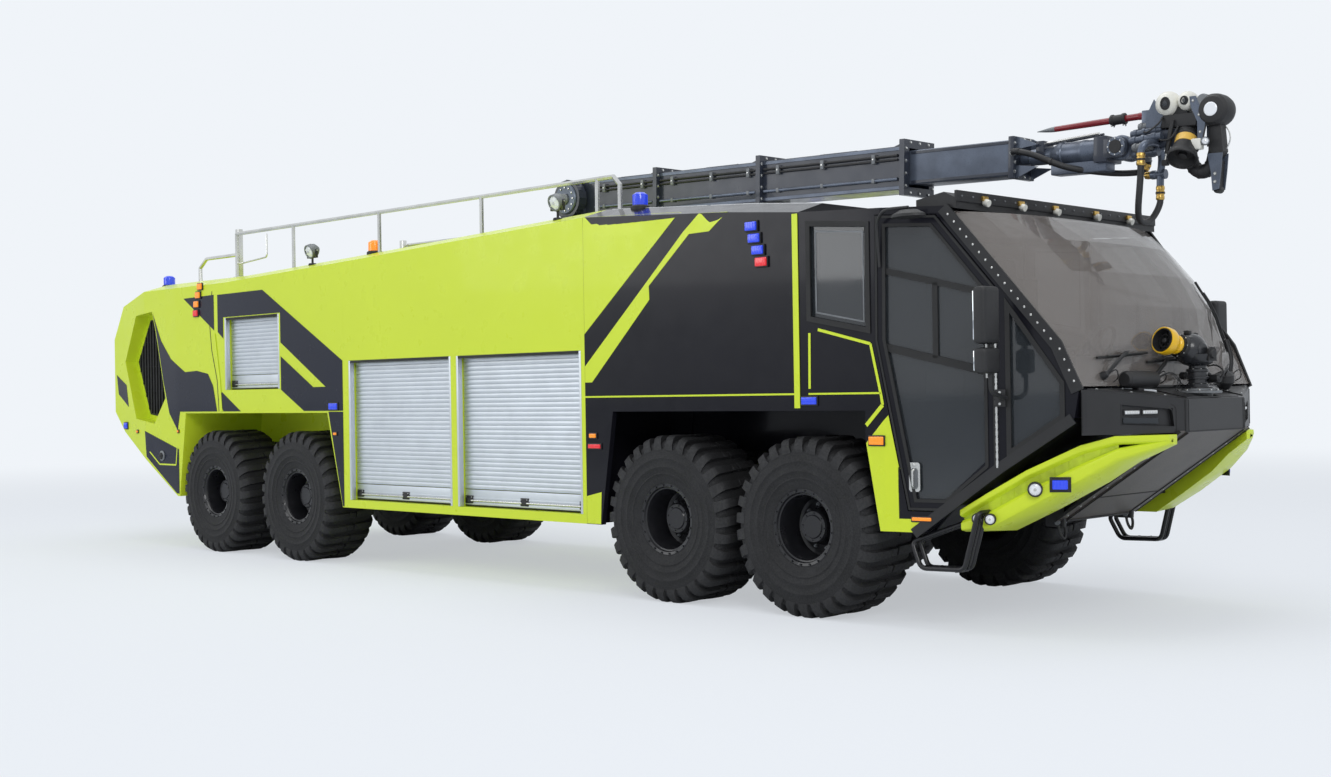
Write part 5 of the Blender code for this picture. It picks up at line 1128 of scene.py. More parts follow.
def hood_top(lift=0.0):
    """Matrix for a plan outline (x, y) laid on the hood's sloping top."""
    return Matrix(((1, 0, 0, 0), (0, 1, 0, 0), (HOOD_FALL, 0, 1, HOOD_TOP_Z - HOOD_FALL * NOSE[0] + lift),
                   (0, 0, 0, 1)))


def nose_trim():
    """Headlamps in their recesses, corner seams, top plates, the monitor's base and the washer caps."""
    parts = []
    for _, s in SIDES:
        at = nose_side(s)
        shell = prism([(0.222, 1.452), (0.567, 1.466), (0.567, 1.600), (0.222, 1.576)], 0.014, 0.004)
        parts.append((moved(shell, at @ Matrix.Translation((0, 0, -0.028))), matt_black))
        ramp = prism([(0.118, 1.446), (0.214, 1.450), (0.214, 1.575), (0.134, 1.567)], 0.006, 0.002)
        tip = Matrix.Translation((0, 0, -0.029)) @ Matrix.Rotation(radians(2), 4, "Y")
        parts.append((moved(ramp, at @ tip), hood_black))
        for u in (0.315, 0.470):
            parts += set_at(lamp_block(0.140, 0.044, 0.020, clear_lens, 7),
                            at @ Matrix.Translation((u, 1.548, -0.024)))
            parts.append((moved(block((u - 0.055, 1.538, -0.008), (u + 0.055, 1.558, -0.0035), 0.003), at),
                          bright_steel))
        parts.append((moved(prism([(0.245, 1.466), (0.545, 1.474), (0.545, 1.512), (0.245, 1.508)], 0.010,
                                  0.003), at @ Matrix.Translation((0, 0, -0.017))), tinted_glass))
        rim = [(0.113, 1.439), (0.573, 1.460), (0.573, 1.609), (0.165, 1.574), (0.140, 1.566), (0.128, 1.545)]
        parts.append((moved(rim_strip(rim, 0.006, 0.004, 0.001), at @ Matrix.Translation((0, 0, 0.0005))),
                      hood_black))
        parts.append((moved(prism(line([(0.100, 1.404), (0.100, 1.560), (0.112, 1.585), (0.140, 1.598)],
                                       0.006), 0.003), at @ Matrix.Translation((0, 0, 0.0005))), gasket))
        seam = [(0.014, 1.403), (0.023, 1.403), (0.023, 1.628), (0.014, 1.628)]
        parts.append((moved(prism(seam, 0.006), at), gasket))
        parts.append((moved(prism([(0.860, 1.42), (0.898, 1.42), (0.898, 1.69), (0.860, 1.69)], 0.008, 0.002),
                            at), matt_black))
        # outer top plate with its hold-down screws, and behind it a raised pale strip that is a painted
        # highlight on the hood's black top
        side_plate = [(2.268, s * 1.215), (2.555, s * 0.515), (2.40, s * 0.515), (2.268, s * 0.80)]
        parts.append((moved(prism(side_plate, 0.010, 0.003), hood_top(0.004)), hood_black))
        # pale strip: painted highlight on the hood top
        strip = [(2.268, s * 0.74), (2.385, s * 0.47), (2.300, s * 0.47), (2.268, s * 0.60)]
        parts.append((moved(prism(strip, 0.018, 0.005), hood_top(0.007)), deck_plate_and_hood_highlight))
        places = ((2.29, 1.13), (2.40, 0.86), (2.51, 0.59), (2.42, 0.55), (2.30, 0.80))
        places = [hood_top(0.009) @ Vector((x, s * y, 0)) for x, y in places]
        parts += bolts_at(places, (-HOOD_FALL, 0, 1), 0.008, 0.005)
    front = facing((2.6005, 0, 1.517), (1, 0, 0))
    for y in (-0.425, 0.425):
        parts.append((moved(prism([(y - 0.004, -0.112), (y + 0.004, -0.112), (y + 0.004, 0.112),
                                   (y - 0.004, 0.112)], 0.003), front), gasket))
    parts.append((moved(prism([(-0.43, -0.112), (0.43, -0.112), (0.43, -0.106), (-0.43, -0.106)], 0.003),
                        front), gasket))
    middle = [(2.575, 0.40), (2.575, -0.40), (2.33, -0.40), (2.33, 0.40)]
    parts.append((moved(prism(middle, 0.008, 0.003), hood_top(0.003)), hood_black))
    # monitor base: flange on the boss with its bolts
    flange = lathe([(0.100, -0.030), (0.165, -0.030), (0.168, -0.026), (0.168, -0.016), (0.160, -0.012),
                    (0.112, -0.010), (0.112, 0.004), (0.100, 0.004)], 48, loop=True)
    upright = Matrix.Rotation(pi / 2, 4, "X")
    parts.append((moved(flange, Matrix.Translation((2.46, 0, 1.700)) @ upright), cast_grey))
    for k in range(10):
        turn = 2 * pi * k / 10 + 0.2
        parts += bolts_at([(2.46 + 0.140 * cos(turn), 0.140 * sin(turn), 1.688)], (0, 0, 1), 0.010, 0.012)
    # bulkhead lamp lying at the windscreen's foot, with its bracket and lead
    parts.append((turned_between((2.315, -0.80, 1.775), (2.345, -0.42, 1.772),
                                 ((0.045, 0), (0.060, 0.06), (0.062, 0.5), (0.060, 0.94), (0.042, 1)), 28),
                  matt_black))
    parts.append((block((2.29, -0.66, 1.69), (2.35, -0.58, 1.76), 0.006), matt_black))
    for shift in (0.0, 0.035):
        parts.append((tube([(2.37, -0.42 + shift, 1.79), (2.43, -0.36 + shift, 1.83),
                            (2.47, -0.30 + shift, 1.76), (2.44, -0.31 + shift, 1.69)], 0.004, 0.04, 6),
                      hose_black))
    parts.append((turned_between((2.36, 0.62, 1.70), (2.38, 0.60, 1.83),
                                 ((0.04, 0), (0.075, 0.4), (0.070, 0.8), (0.03, 1)), 24), matt_black))
    for lift in (0.0, 0.03):
        parts.append((tube([(2.40, 0.56, 1.80 + lift), (2.50, 0.42, 1.86 + lift), (2.53, 0.25, 1.80),
                            (2.52, 0.13, 1.74)], 0.005, 0.05, 6), hose_black))
    placed("nose_trim", parts, "chassis")


# x, outer y, top z, inner y, bottom z of each wing
WING = (
    (1.35, 1.400, 0.87, 1.121, 0.70), (1.58, 1.390, 1.00, 1.020, 0.71), (1.85, 1.321, 1.16, 0.901, 0.86),
    (2.18, 1.170, 1.33, 0.767, 1.06), (2.36, 1.023, 1.39, 0.670, 1.20), (2.57, 0.659, 1.39, 0.539, 1.32),
)


def wing_rows(s, profile):
    """Sections of a wing; the profile is (in from the outer edge, share of the height, rise in metres)."""
    rows = []
    for x, out, top, inner, low in WING:
        reach = out - inner
        rows.append([(x, s * (out - (inward if inward < 0.5 else reach)), low + share * (top - low) + rise_by)
                     for inward, share, rise_by in profile])
    return rows


def wings():
    """Both wings of the bumper with grip band, ribs, ledge and lamps."""
    parts = []
    shell = ((0.0, 1, -0.004), (0.004, 1, 0.0), (1, 1, 0.0), (1, 0, 0.0), (0.070, 0.06, 0.0),
             (0.020, 0.14, 0.0), (0.012, 0.20, 0.0), (0.012, 0.44, 0.0), (0.030, 0.53, 0.0),
             (0.058, 0.56, 0.0), (0.058, 1, -0.062), (0.020, 1, -0.050), (0.004, 1, -0.042), (0.0, 1, -0.036))
    grip = ((0.055, 0.555, 0.003), (0.0545, 1, -0.060), (0.060, 1, -0.060), (0.060, 0.555, 0.003))
    ledge = ((0.032, 0.535, 0.001), (0.055, 0.562, 0.001), (0.055, 0.552, 0.0), (0.034, 0.526, 0.0))
    for _, s in SIDES:
        parts.append((loft(wing_rows(s, shell), 0.004, 2), lime_paint))
        parts.append((loft(wing_rows(s, grip)), tread_plate))
        parts.append((loft(wing_rows(s, ledge)), lime_paint))
        # ribs across the grip band
        for k in range(11):
            t = (k + 0.5) / 11
            x = 1.42 + t * 0.98
            out, top, low = (lerped(x, column) for column in (1, 2, 4))
            bar_z = low + 0.58 * (top - low)
            if top - 0.066 - bar_z > 0.03:
                at = facing((x, s * (out - 0.0545), 0), (0.35, s, 0))
                parts.append((moved(block((-0.004, bar_z + 0.004, -0.002), (0.004, top - 0.070, 0.004),
                                          0.0015, 1), at), tread_plate))
        out = (0.416, 0.909 * s, 0.0)
        parts += set_at(lamp_block(0.125, 0.085, 0.030, blue_lens, 4), facing((2.055, s * 1.222, 1.06), out))
        parts.append((moved(rim_strip([(-0.072, -0.052), (0.072, -0.052), (0.072, 0.052), (-0.072, 0.052)],
                                      0.010, 0.012, 0.003), facing((2.055, s * 1.222, 1.06), out)),
                      matt_black))
        parts += set_at(round_lamp(0.052, 0.035, clear_lens),
                        facing((1.90, s * 1.293, 1.03), (0.5, 0.866 * s, -0.1)))
        for x in (1.49, 1.595):
            parts += set_at(round_lamp(0.040, 0.03, clear_lens),
                            facing((x, s * 1.382, 0.815), (0.35, 0.93 * s, -0.05)))
    # beam and brace behind the apron
    parts.append((block((1.505, -1.04, 0.868), (1.690, 1.04, 0.998), 0.010), under_black))
    parts.append((block((2.10, -0.90, 1.25), (2.20, 0.90, 1.30), 0.006), under_black))
    for y in (-0.9, -0.5, 0.5, 0.9):
        parts += bolts_at([(1.69, y - 0.03, 0.93), (1.69, y + 0.03, 0.93)], (1, 0, 0), 0.012, 0.010)
    parts += both_sides(boarding_steps)
    placed("front_wings", parts, "chassis", ["bumper"])


def lerped(x, column):
    for a, b in zip(WING, WING[1:]):
        if a[0] <= x <= b[0]:
            return a[column] + (b[column] - a[column]) * (x - a[0]) / (b[0] - a[0])
    return WING[-1][column]


STEP_X = (1.56, 1.54, 1.43, 1.06, 0.97, 1.40)
STEP_Z = (0.86, 0.86, 0.455, 0.445, 0.63, 0.80)
STEP_OUTER = (1.302, 1.457, 1.4725, 1.4725, 1.449, 1.280)
STEP_INNER = (1.2555, 1.364, 1.3795, 1.3795, 1.356, 1.24)


def boarding_steps(s):
    """Two bent tubes with grip rungs between them, and their end plates."""
    rails = [[Vector((x, s * y, z)) for x, y, z in zip(STEP_X, ys, STEP_Z)]
             for ys in (STEP_OUTER, STEP_INNER)]
    parts = [(tube(rail, 0.018, 0.05, 14), wheel_black) for rail in rails]
    for share in (0.08, 0.36, 0.64, 0.92):
        a, b = (rail[2].lerp(rail[3], share) for rail in rails)
        parts.append((tube([a, b], 0.017, sides=12), wheel_black))
        teeth = block((-0.004, 0, 0.014), (0.004, 0.010, 0.021), 0.001, 1)
        along = (b - a) / 6
        parts.append((row(moved(teeth, Matrix.Translation(a + along * 0.6)), 5, along), wheel_black))
    middle = [p.lerp(q, 0.5) for p, q in zip(*rails)]
    for end in (rail[0] for rail in rails):
        parts.append((turned_between(end + Vector((0.004, 0, 0)), end - Vector((0.02, 0, 0)),
                                     ((0.03, 0), (0.03, 1)), 14), wheel_black))
    parts.append((tube([middle[1], middle[2]], 0.010, sides=10), wheel_black))
    return parts


def apron_trim():
    """Border strips on the sloping guard, its flanges, its lower lip, and the tow shackles."""
    slope = Vector((0.8253, 0, 0.5647))
    out = Vector((0.5647, 0, -0.8253))
    at = Matrix(((slope.x, 0, out.x, 1.65), (0, -1, 0, 0), (slope.z, 0, out.z, 0.75), (0, 0, 0, 1)))
    parts = []
    for s in (1, -1):
        edge = [(0.004, s * 0.466), (1.147, s * 0.436), (1.147, s * 0.424), (0.004, s * 0.454)]
        parts.append((moved(prism(edge, 0.006, 0.002), at @ Matrix.Translation((0, 0, 0.003))), gasket))
        flange = [(-0.02, s * 0.478), (1.149, s * 0.446), (1.149, s * 0.532), (-0.02, s * 0.590)]
        parts.append((moved(prism(flange, 0.010, 0.002), at @ Matrix.Translation((0, 0, -0.012))),
                      apron_brown))
        lip = [(-0.02, s * 0.590), (1.149, s * 0.532), (1.149, s * 0.536), (-0.02, s * 0.600)]
        parts.append((moved(prism(lip, 0.022), at @ Matrix.Translation((0, 0, -0.014))), gasket))
        for k in range(9):
            u = 0.06 + k * 0.127
            parts += bolts_at([at @ Vector((u, s * (0.530 - 0.042 * u), -0.007))], out, 0.008, 0.006)
    parts.append((block((1.545, -0.46, 0.735), (1.652, 0.46, 0.749), 0.005), matt_black))
    parts.append((moved(prism([(0.30, 0.43), (0.31, 0.43), (0.31, -0.43), (0.30, -0.43)], 0.003),
                        at @ Matrix.Translation((0, 0, 0.0012))), gasket))
    for s in (1, -1):
        y = s * 0.50
        parts.append((block((1.50, y - 0.018, 0.70), (1.66, y + 0.018, 0.86), 0.010), matt_black))
        parts.append((turned_between((1.62, y - 0.055, 0.735), (1.62, y + 0.055, 0.735),
                                     ((0.020, 0), (0.020, 0.12), (0.012, 0.13), (0.012, 0.87), (0.020, 0.88),
                                      (0.020, 1)), 14), cast_grey))
        bow = [(1.62, y - 0.040, 0.735), (1.635, y - 0.046, 0.66), (1.645, y, 0.605),
               (1.635, y + 0.046, 0.66), (1.62, y + 0.040, 0.735)]
        parts.append((tube(bow, 0.011, 0.045, 10), matt_black))
    placed("apron_trim", parts, "chassis")


# Monitor on the hood

MONITOR = (2.46, 0.0)
MONITOR_AXIS_Z = 1.95
BARREL_TURN = radians(-103)
BARREL_RISE = radians(13)
BALL_R = 0.118
BARREL_LONG = 0.172
BALL = Vector((2.43, -0.045, 1.985))


def monitor():
    """The hood monitor: its swivelling column, and the ball with the barrel that tilts on it."""
    upright = Matrix.Rotation(pi / 2, 4, "X")
    stand = Matrix.Translation((*MONITOR, 0)) @ upright
    column = lathe([(0, 1.7155), (0.080, 1.7155), (0.080, 1.735), (0.066, 1.742), (0.066, 1.770),
                    (0.078, 1.774), (0.078, 1.790), (0.070, 1.794), (0.070, 1.822), (0.080, 1.826),
                    (0.080, 1.842), (0.062, 1.850), (0.062, 1.866), (0.10, 1.884), (0.128, 1.915),
                    (0.136, 1.950), (0.130, 1.952), (0.118, 1.925), (0.090, 1.900), (0, 1.892)], 40)
    parts = [(moved(column, stand), gun_black)]
    for k in range(8):
        turn = 2 * pi * k / 8
        for r, z in ((0.070, 1.735), (0.071, 1.842)):
            parts += bolts_at([(MONITOR[0] + r * cos(turn), r * sin(turn), z)], (0, 0, 1), 0.0065, 0.006,
                              False)
    side = Vector((-sin(BARREL_TURN), cos(BARREL_TURN), 0))
    ahead = Vector((cos(BARREL_TURN), sin(BARREL_TURN), 0))
    centre = Vector((*MONITOR, 0))
    for way in (1, -1):
        cheek = [(-0.045, 1.90), (0.045, 1.90), (0.040, 1.985), (0.020, 2.000), (-0.020, 2.000),
                 (-0.040, 1.985)]
        at = facing(centre + side * way * 0.127, side * way)
        parts.append((moved(prism(cheek, 0.014, 0.004), at), matt_black))
        parts.append((turned_between(centre + side * way * 0.120 + Vector((0, 0, MONITOR_AXIS_Z)),
                                     centre + side * way * 0.150 + Vector((0, 0, MONITOR_AXIS_Z)),
                                     ((0.034, 0), (0.034, 0.6), (0.028, 1)), 20), matt_black))
    # swivel motor with its gear case and lead on the side away from the barrel
    gear = centre - ahead * 0.085 + Vector((0, 0, 1.775))
    parts.append((turned_between(gear - Vector((0, 0, 0.035)), gear + Vector((0, 0, 0.045)),
                                 ((0.036, 0), (0.040, 0.1), (0.040, 0.9), (0.030, 1)), 20), matt_black))
    parts.append((turned_between(gear + side * 0.02, gear + side * 0.135,
                                 ((0.028, 0), (0.030, 0.2), (0.030, 0.9), (0.018, 1)), 20), matt_black))
    parts.append((block(gear - Vector((0.03, 0.03, 0.03)), gear + Vector((0.03, 0.03, 0.02)), 0.006),
                  gun_black))
    near = centre + side * -0.10 + Vector((0, 0, 1.80))
    parts.append((turned_between(near, near - side * 0.055,
                                 ((0.020, 0), (0.026, 0.1), (0.026, 0.8), (0.016, 1)), 16), matt_black))
    parts.append((tube([near - side * 0.05, near - side * 0.075 + Vector((0, 0, -0.03)), near - side * 0.03
                        + Vector((0, 0, -0.07))], 0.005, 0.03, 8), hose_black))
    parts.append((tube([gear + side * 0.13, gear + side * 0.17 + Vector((0, 0, 0.05)),
                        gear + side * 0.10 + Vector((0, 0, 0.10)), gear + side * 0.02 + Vector((0, 0, 0.09))],
                       0.006, 0.04, 8), hose_black))
    placed("monitor_column", parts, "monitor_pan", ["monitor_pan"])

    aim = (ahead * cos(BARREL_RISE) + Vector((0, 0, sin(BARREL_RISE)))).normalized()
    ball = lathe([(BALL_R * sin(pi * k / 20), -BALL_R * cos(pi * k / 20)) for k in range(21)], 40)
    parts = [(moved(ball, aimed(BALL, BALL + aim)), gun_black)]
    a = BALL + aim * 0.095
    parts.append((turned_between(a, a + aim * 0.050,
                                 ((0.080, 0), (0.084, 0.1), (0.084, 0.6), (0.078, 0.7), (0.070, 0.72),
                                  (0.070, 1)), 36), matt_black))
    bell = ((0.062, 0), (0.064, 0.10), (0.070, 0.14), (0.070, 0.24), (0.064, 0.28), (0.074, 0.40),
            (0.094, 0.58), (0.099, 0.66), (0.0995, 0.93), (0.096, 0.99), (0.092, 1.0), (0.087, 0.985),
            (0.085, 0.93), (0.080, 0.55))
    start = a + aim * 0.040
    parts.append((turned_between(start, start + aim * BARREL_LONG, bell, 48), nozzle_yellow))
    baffle = ((0.079, 0), (0.0845, 0.98), (0.080, 1.0), (0.070, 0.30), (0.050, 0.28), (0.048, 0.62),
              (0.044, 0.62), (0.040, 0.26), (0.020, 0.24), (0.018, 0.70), (0.012, 0.76))
    deep = start + aim * BARREL_LONG * 0.56
    parts.append((turned_between(deep, deep + aim * 0.078, baffle, 40), matt_black))
    vane = block((-0.0015, 0.015, 0.0), (0.0015, 0.070, 0.040), 0.0005, 1)
    parts.append((moved(ring(vane, 8, "Z"), aimed(deep, deep + aim) @ Matrix.Rotation(-pi / 2, 4, "X")),
                  matt_black))
    # tilt motor behind the ball, its lid, the level gauge and the lugs on top
    back = BALL - aim * 0.10
    parts.append((turned_between(back, back - aim * 0.075,
                                 ((0.045, 0), (0.048, 0.15), (0.046, 0.8), (0.034, 1)), 24), matt_black))
    parts.append((turned_between(back + side * 0.02 + Vector((0, 0, -0.02)),
                                 back + side * 0.10 + Vector((0, 0, -0.02)),
                                 ((0.022, 0), (0.024, 0.8), (0.014, 1)), 16), matt_black))
    up = Vector((0, 0, 1))
    for way in (-0.045, 0.028):
        top = BALL + up * 0.115 + aim * way
        parts.append((moved(block((-0.022, -0.02, -0.012), (0.022, 0.02, 0.016), 0.004),
                            Matrix.Translation(top)), matt_black))
    parts.append((turned_between(BALL + up * 0.110, BALL + up * 0.135, ((0.010, 0), (0.010, 0.8), (0.006, 1)),
                                 12), brass))
    for k in range(8):
        turn = 2 * pi * k / 8
        around = (side * cos(turn) + aim.cross(side) * sin(turn)) * 0.077
        parts += bolts_at([a + aim * 0.030 + around], aim, 0.006, 0.006, False)
    for way in (1, -1):
        parts.append((turned_between(BALL + side * way * 0.100, BALL + side * way * 0.119,
                                     ((0.050, 0), (0.050, 0.6), (0.040, 1)), 28), gun_black))
    placed("monitor_barrel", parts, "monitor_nozzle", ["monitor_nozzle"])


# Boom

BOOM_X = -4.0
BOOM_Z = 3.665
BOOM_DROOP = radians(1.6)
BOOM = Matrix.Translation((BOOM_X, 0, BOOM_Z)) @ Matrix.Rotation(BOOM_DROOP, 4, "Y")
TILT_S = 5.93
NECK = 0.095
COLLARS = (1.134, 2.43, 4.0)
COLLAR_THICK = 0.05
COLLAR_BOLTS = (0.186, 0.206)
RING_BOLT_R = 0.385
RING_TOP_Z = 3.419
DRUM_R = 0.190
# turns a flat outline (along, up) upright, so that its thickness lies across the boom
UPRIGHT = Matrix(((1, 0, 0, 0), (0, 0, 1, 0), (0, 1, 0, 0), (0, 0, 0, 1)))


def on_boom(parts):
    return [(moved(mesh, BOOM), finish) for mesh, finish in parts]


def head_at(*shares):
    """A place in the boom's frame, in shares of the neck's radius from the tilt axis."""
    return Vector((TILT_S, 0, 0)) + NECK * Vector(shares)


def curved(points, steps=6):
    """A smooth curve through the points."""
    points = [Vector(p) for p in points]
    ends = [2 * points[0] - points[1]] + points + [2 * points[-1] - points[-2]]
    path = [points[0]]
    for a, b, c, d in zip(ends, ends[1:], ends[2:], ends[3:]):
        for i in range(steps):
            t = (i + 1) / steps
            path.append(0.5 * (2 * b + (c - a) * t + (2 * a - 5 * b + 4 * c - d) * t * t
                               + (3 * b - 3 * c + d - a) * t ** 3))
    return path


def frame_bolts(s, half_y, half_h, out, across=3, up=4):
    """Bolts round a rectangular flange at s along the boom."""
    places = []
    for i in range(across):
        y = half_y * (2 * (i + 0.5) / across - 1)
        places += [(s, y, half_h), (s, y, -half_h)]
    for i in range(up):
        h = half_h * (2 * (i + 0.5) / up - 1)
        places += [(s, half_y, h), (s, -half_y, h)]
    return bolts_at(places, (out, 0, 0), 0.011, 0.010)


def boom_tube():
    """Flange bolts, gussets, service lines and painted highlight strips along the edges of the outer tube,
    and the pivot's caps.
    """
    parts = []
    for s in COLLARS:
        parts += frame_bolts(s + COLLAR_THICK, *COLLAR_BOLTS, 1)
        parts += frame_bolts(s, *COLLAR_BOLTS, -1)
        for y in (-0.12, 0.12):
            wedge = [(s - 0.13, 0.181), (s - 0.002, 0.181), (s - 0.002, 0.222)]
            parts.append((moved(prism(wedge, 0.012), Matrix.Translation((0, y, 0)) @ UPRIGHT), boom_steel))
    for h, radius in ((0.105, 0.011), (0.070, 0.009), (-0.09, 0.013)):
        for s0, s1 in ((0.30, 1.10), (1.20, 2.40), (2.50, 3.96)):
            parts.append((tube([(s0, -0.175, h), (s1, -0.175, h)], radius, sides=10),
                          hose_black if h > 0 else boom_painted_sheen))
    for s in (0.42, 0.95, 1.35, 1.85, 2.30, 2.65, 3.15, 3.70):
        parts.append((block((s, -0.192, 0.050), (s + 0.035, -0.160, 0.128), 0.004), cast_grey))
        parts += bolts_at([(s + 0.018, -0.192, 0.088)], (0, -1, 0), 0.007, 0.006, False)
        parts.append((block((s, -0.190, -0.108), (s + 0.030, -0.160, -0.072), 0.004), cast_grey))
    # lighter strips along the outer tube's upper and lower side edges: painted highlights
    for y in (-0.1625, 0.1625):
        for h in (-0.160, 0.160):
            parts.append((block((0.20, y - 0.003, h - 0.014), (4.0, y + 0.003, h + 0.014), 0.002, 1),
                          boom_painted_sheen))
    for s in (0.62, 1.75, 3.10):
        parts.append((block((s, -0.13, 0.180), (s + 0.40, 0.13, 0.188), 0.004), boom_painted_sheen))
        parts += bolts_at([(s + a, y, 0.188) for a in (0.03, 0.37) for y in (-0.11, 0.11)], (0, 0, 1), 0.008,
                          0.005, False)
    placed("boom_flanges", on_boom(parts), "boom_outer")

    parts = []
    for s in (1, -1):
        hub = Vector((BOOM_X, s * 0.2855, BOOM_Z))
        out = Vector((0, s, 0))
        parts.append((turned_between(hub, hub + out * 0.020, ((0.150, 0), (0.150, 0.5), (0.140, 1)), 36),
                      boom_painted_sheen))
        parts.append((turned_between(hub + out * 0.018, hub + out * 0.045,
                                     ((0.055, 0), (0.055, 0.7), (0.045, 1)), 24), cast_grey))
        for k in range(12):
            turn = 2 * pi * k / 12
            parts += bolts_at([hub + out * 0.018 + Vector((0.115 * cos(turn), 0, 0.115 * sin(turn)))], out,
                              0.010, 0.009)
        for k in range(16):
            turn = 2 * pi * k / 16
            edge = hub + Vector((DRUM_R * cos(turn), 0, DRUM_R * sin(turn)))
            parts.append((turned_between(edge - out * 0.055, edge - out * 0.004,
                                         ((0.006, 0), (0.006, 1)), 8), boom_steel))
    for k in range(24):
        turn = 2 * pi * k / 24
        place = (BOOM_X + RING_BOLT_R * cos(turn), RING_BOLT_R * sin(turn), RING_TOP_Z)
        parts += bolts_at([place], (0, 0, 1), 0.011, 0.010)
    parts.append((block((-4.34, -0.10, 3.42), (-4.24, 0.10, 3.52), 0.01), boom_painted_sheen))
    placed("turntable_bolts", parts, "boom_turntable")


FEED = ((-9.6, -1.0, 0.3), (-8.9, -2.0, 0.4), (-7.0, -2.15, -0.1), (-4.5, -1.4, -1.2), (-2.2, 0.7, -1.65),
        (-0.5, 1.95, -1.7), (0.5, 2.1, -1.5), (0.75, 2.1, -0.7), (0.3, 2.0, 0), (0.1, 1.3, 0))
LOOP = ((2.58, -2.53, -1.25), (2.58, -2.53, -2.4), (2.50, -2.52, -3.6), (2.32, -2.33, -4.7),
        (2.05, -1.80, -5.45), (1.85, -1.05, -5.85), (1.80, -0.15, -5.9), (1.85, 0.70, -5.55),
        (1.98, 1.32, -4.85), (2.07, 1.58, -4.2), (2.07, 1.58, -3.6))
LOOP_R = 0.024


def boom_neck():
    """Inner tube, end flange, stepped neck with its fork, and the long hose."""
    parts = [(block((1.30, -0.125, -0.140), (5.05, 0.125, 0.140), 0.012, 3), boom_painted_sheen)]
    for h in (-0.12, 0.12):
        parts.append((block((4.06, -0.129, h - 0.012), (5.0, -0.124, h + 0.012), 0.002, 1), boom_steel))
    parts.append((block((5.0, -0.150, -0.165), (5.05, 0.150, 0.165), 0.006), boom_steel))
    parts += frame_bolts(5.05, 0.132, 0.147, 1)
    for y in (-0.105, 0.105):
        for up in (1, -1):
            wedge = [(5.05, up * 0.163), (5.24, up * 0.085), (5.05, up * 0.062)]
            parts.append((moved(prism(wedge, 0.012, 0.002), Matrix.Translation((0, y, 0)) @ UPRIGHT),
                          boom_painted_sheen))
    neck = ((0.050, 0), (0.050, 0.10), (0.064, 0.12), (0.064, 0.36), (0.070, 0.38), (0.094, 0.45),
            (0.098, 0.47), (0.098, 0.50), (0.092, 0.51), (0.092, 0.70), (0.096, 0.71), (0.096, 0.75),
            (0.092, 0.76), (0.092, 0.93), (0.099, 0.94), (0.099, 1))
    parts.append((turned_between((5.04, 0, 0), (5.80, 0, 0), neck, 40), boom_painted_sheen))
    parts.append((block((5.20, -0.075, -0.02), (5.27, 0.075, 0.115), 0.008), boom_steel))
    parts.append((block((5.33, -0.070, -0.160), (5.80, 0.070, -0.075), 0.010), boom_painted_sheen))
    parts.append((tube([(5.26, -0.03, 0.095), (5.72, -0.03, 0.130)], 0.011, sides=10), bright_steel))
    parts.append((tube([(5.26, 0.04, 0.095), (5.72, 0.04, 0.130)], 0.011, sides=10), boom_steel))
    parts.append((block((5.72, -0.118, -0.098), (5.829, 0.118, 0.098), 0.010), boom_steel))
    for s in (1, -1):
        y0, y1 = sorted((s * 0.097, s * 0.119))
        parts.append((block((5.80, y0, -0.074), (5.945, y1, 0.074), 0.008), boom_steel))
        parts.append((turned_between((TILT_S, s * 0.097, 0), (TILT_S, s * 0.120, 0), ((0.074, 0), (0.074, 1)),
                                     32), boom_steel))
        hub = Vector((TILT_S, s * 0.119, 0))
        out = Vector((0, s, 0))
        far = 0.052 if s < 0 else 0.018
        parts.append((turned_between(hub, hub + out * far,
                                     ((0.070, 0), (0.074, 0.1), (0.074, 0.85), (0.066, 1)), 32), boom_painted_sheen))
        parts.append((turned_between(hub + out * far, hub + out * (far + 0.006), ((0.050, 0), (0.048, 1)),
                                     28), matt_black))
        for k in range(8):
            turn = 2 * pi * k / 8
            parts += bolts_at([hub + out * far + Vector((0.059 * cos(turn), 0, 0.059 * sin(turn)))], out,
                              0.0065, 0.006, False)
    route = curved([head_at(*p) for p in FEED], 7)
    parts.append((swept(route, 0.024, 14), hose_black))
    a, b = head_at(*FEED[0]), route[4]
    parts.append((turned_between(a - (b - a) * 0.1, a + (b - a) * 0.9,
                                 ((0.030, 0), (0.031, 0.3), (0.028, 0.35), (0.028, 0.8), (0.026, 1)), 16),
                  bright_steel))
    for p, q, finish in ((route[-18], route[-22], brass), (route[-14], route[-17], cast_grey)):
        parts.append((turned_between(p, q, ((0.026, 0), (0.029, 0.1), (0.029, 0.35), (0.0265, 0.4),
                                            (0.0265, 0.6), (0.029, 0.65), (0.029, 0.9), (0.026, 1)), 18),
                      finish))
    for at in (route[9], route[18]):
        parts.append((turned_between(at - Vector((0.012, 0, 0)), at + Vector((0.012, 0, 0)),
                                     ((0.0275, 0), (0.0275, 1)), 16), matt_black))
    placed("boom_neck", on_boom(parts), "boom_inner", ["boom_inner"])


def egg(centre, half, lens_at, lens_half):
    """A moulded pod with an oval window: half sizes along, across and up."""
    shell = lathe([(sin(pi * k / 18) ** 0.85, -cos(pi * k / 18)) for k in range(19)], 36)
    place = Matrix.Translation(centre) @ Matrix.Diagonal((*half, 1))
    parts = [(moved(shell, place), pod_white)]
    out = (Vector(lens_at) - Vector(centre)).normalized()
    disc = lathe([(0, 0.0), (1.0, 0.0), (1.0, 0.006), (0.86, 0.010), (0.80, 0.004), (0, 0.006)], 28)
    base = (facing(Vector(lens_at), out) @ Matrix.Rotation(pi / 2, 4, "X")
            @ Matrix.Diagonal((lens_half[0], 1, lens_half[1], 1)))
    parts.append((moved(disc, base), matt_black))
    eye = lathe([(0, 0.004), (0.5, 0.004), (0.44, 0.012), (0, 0.016)], 24)
    parts.append((moved(eye, base), tinted_glass))
    return parts


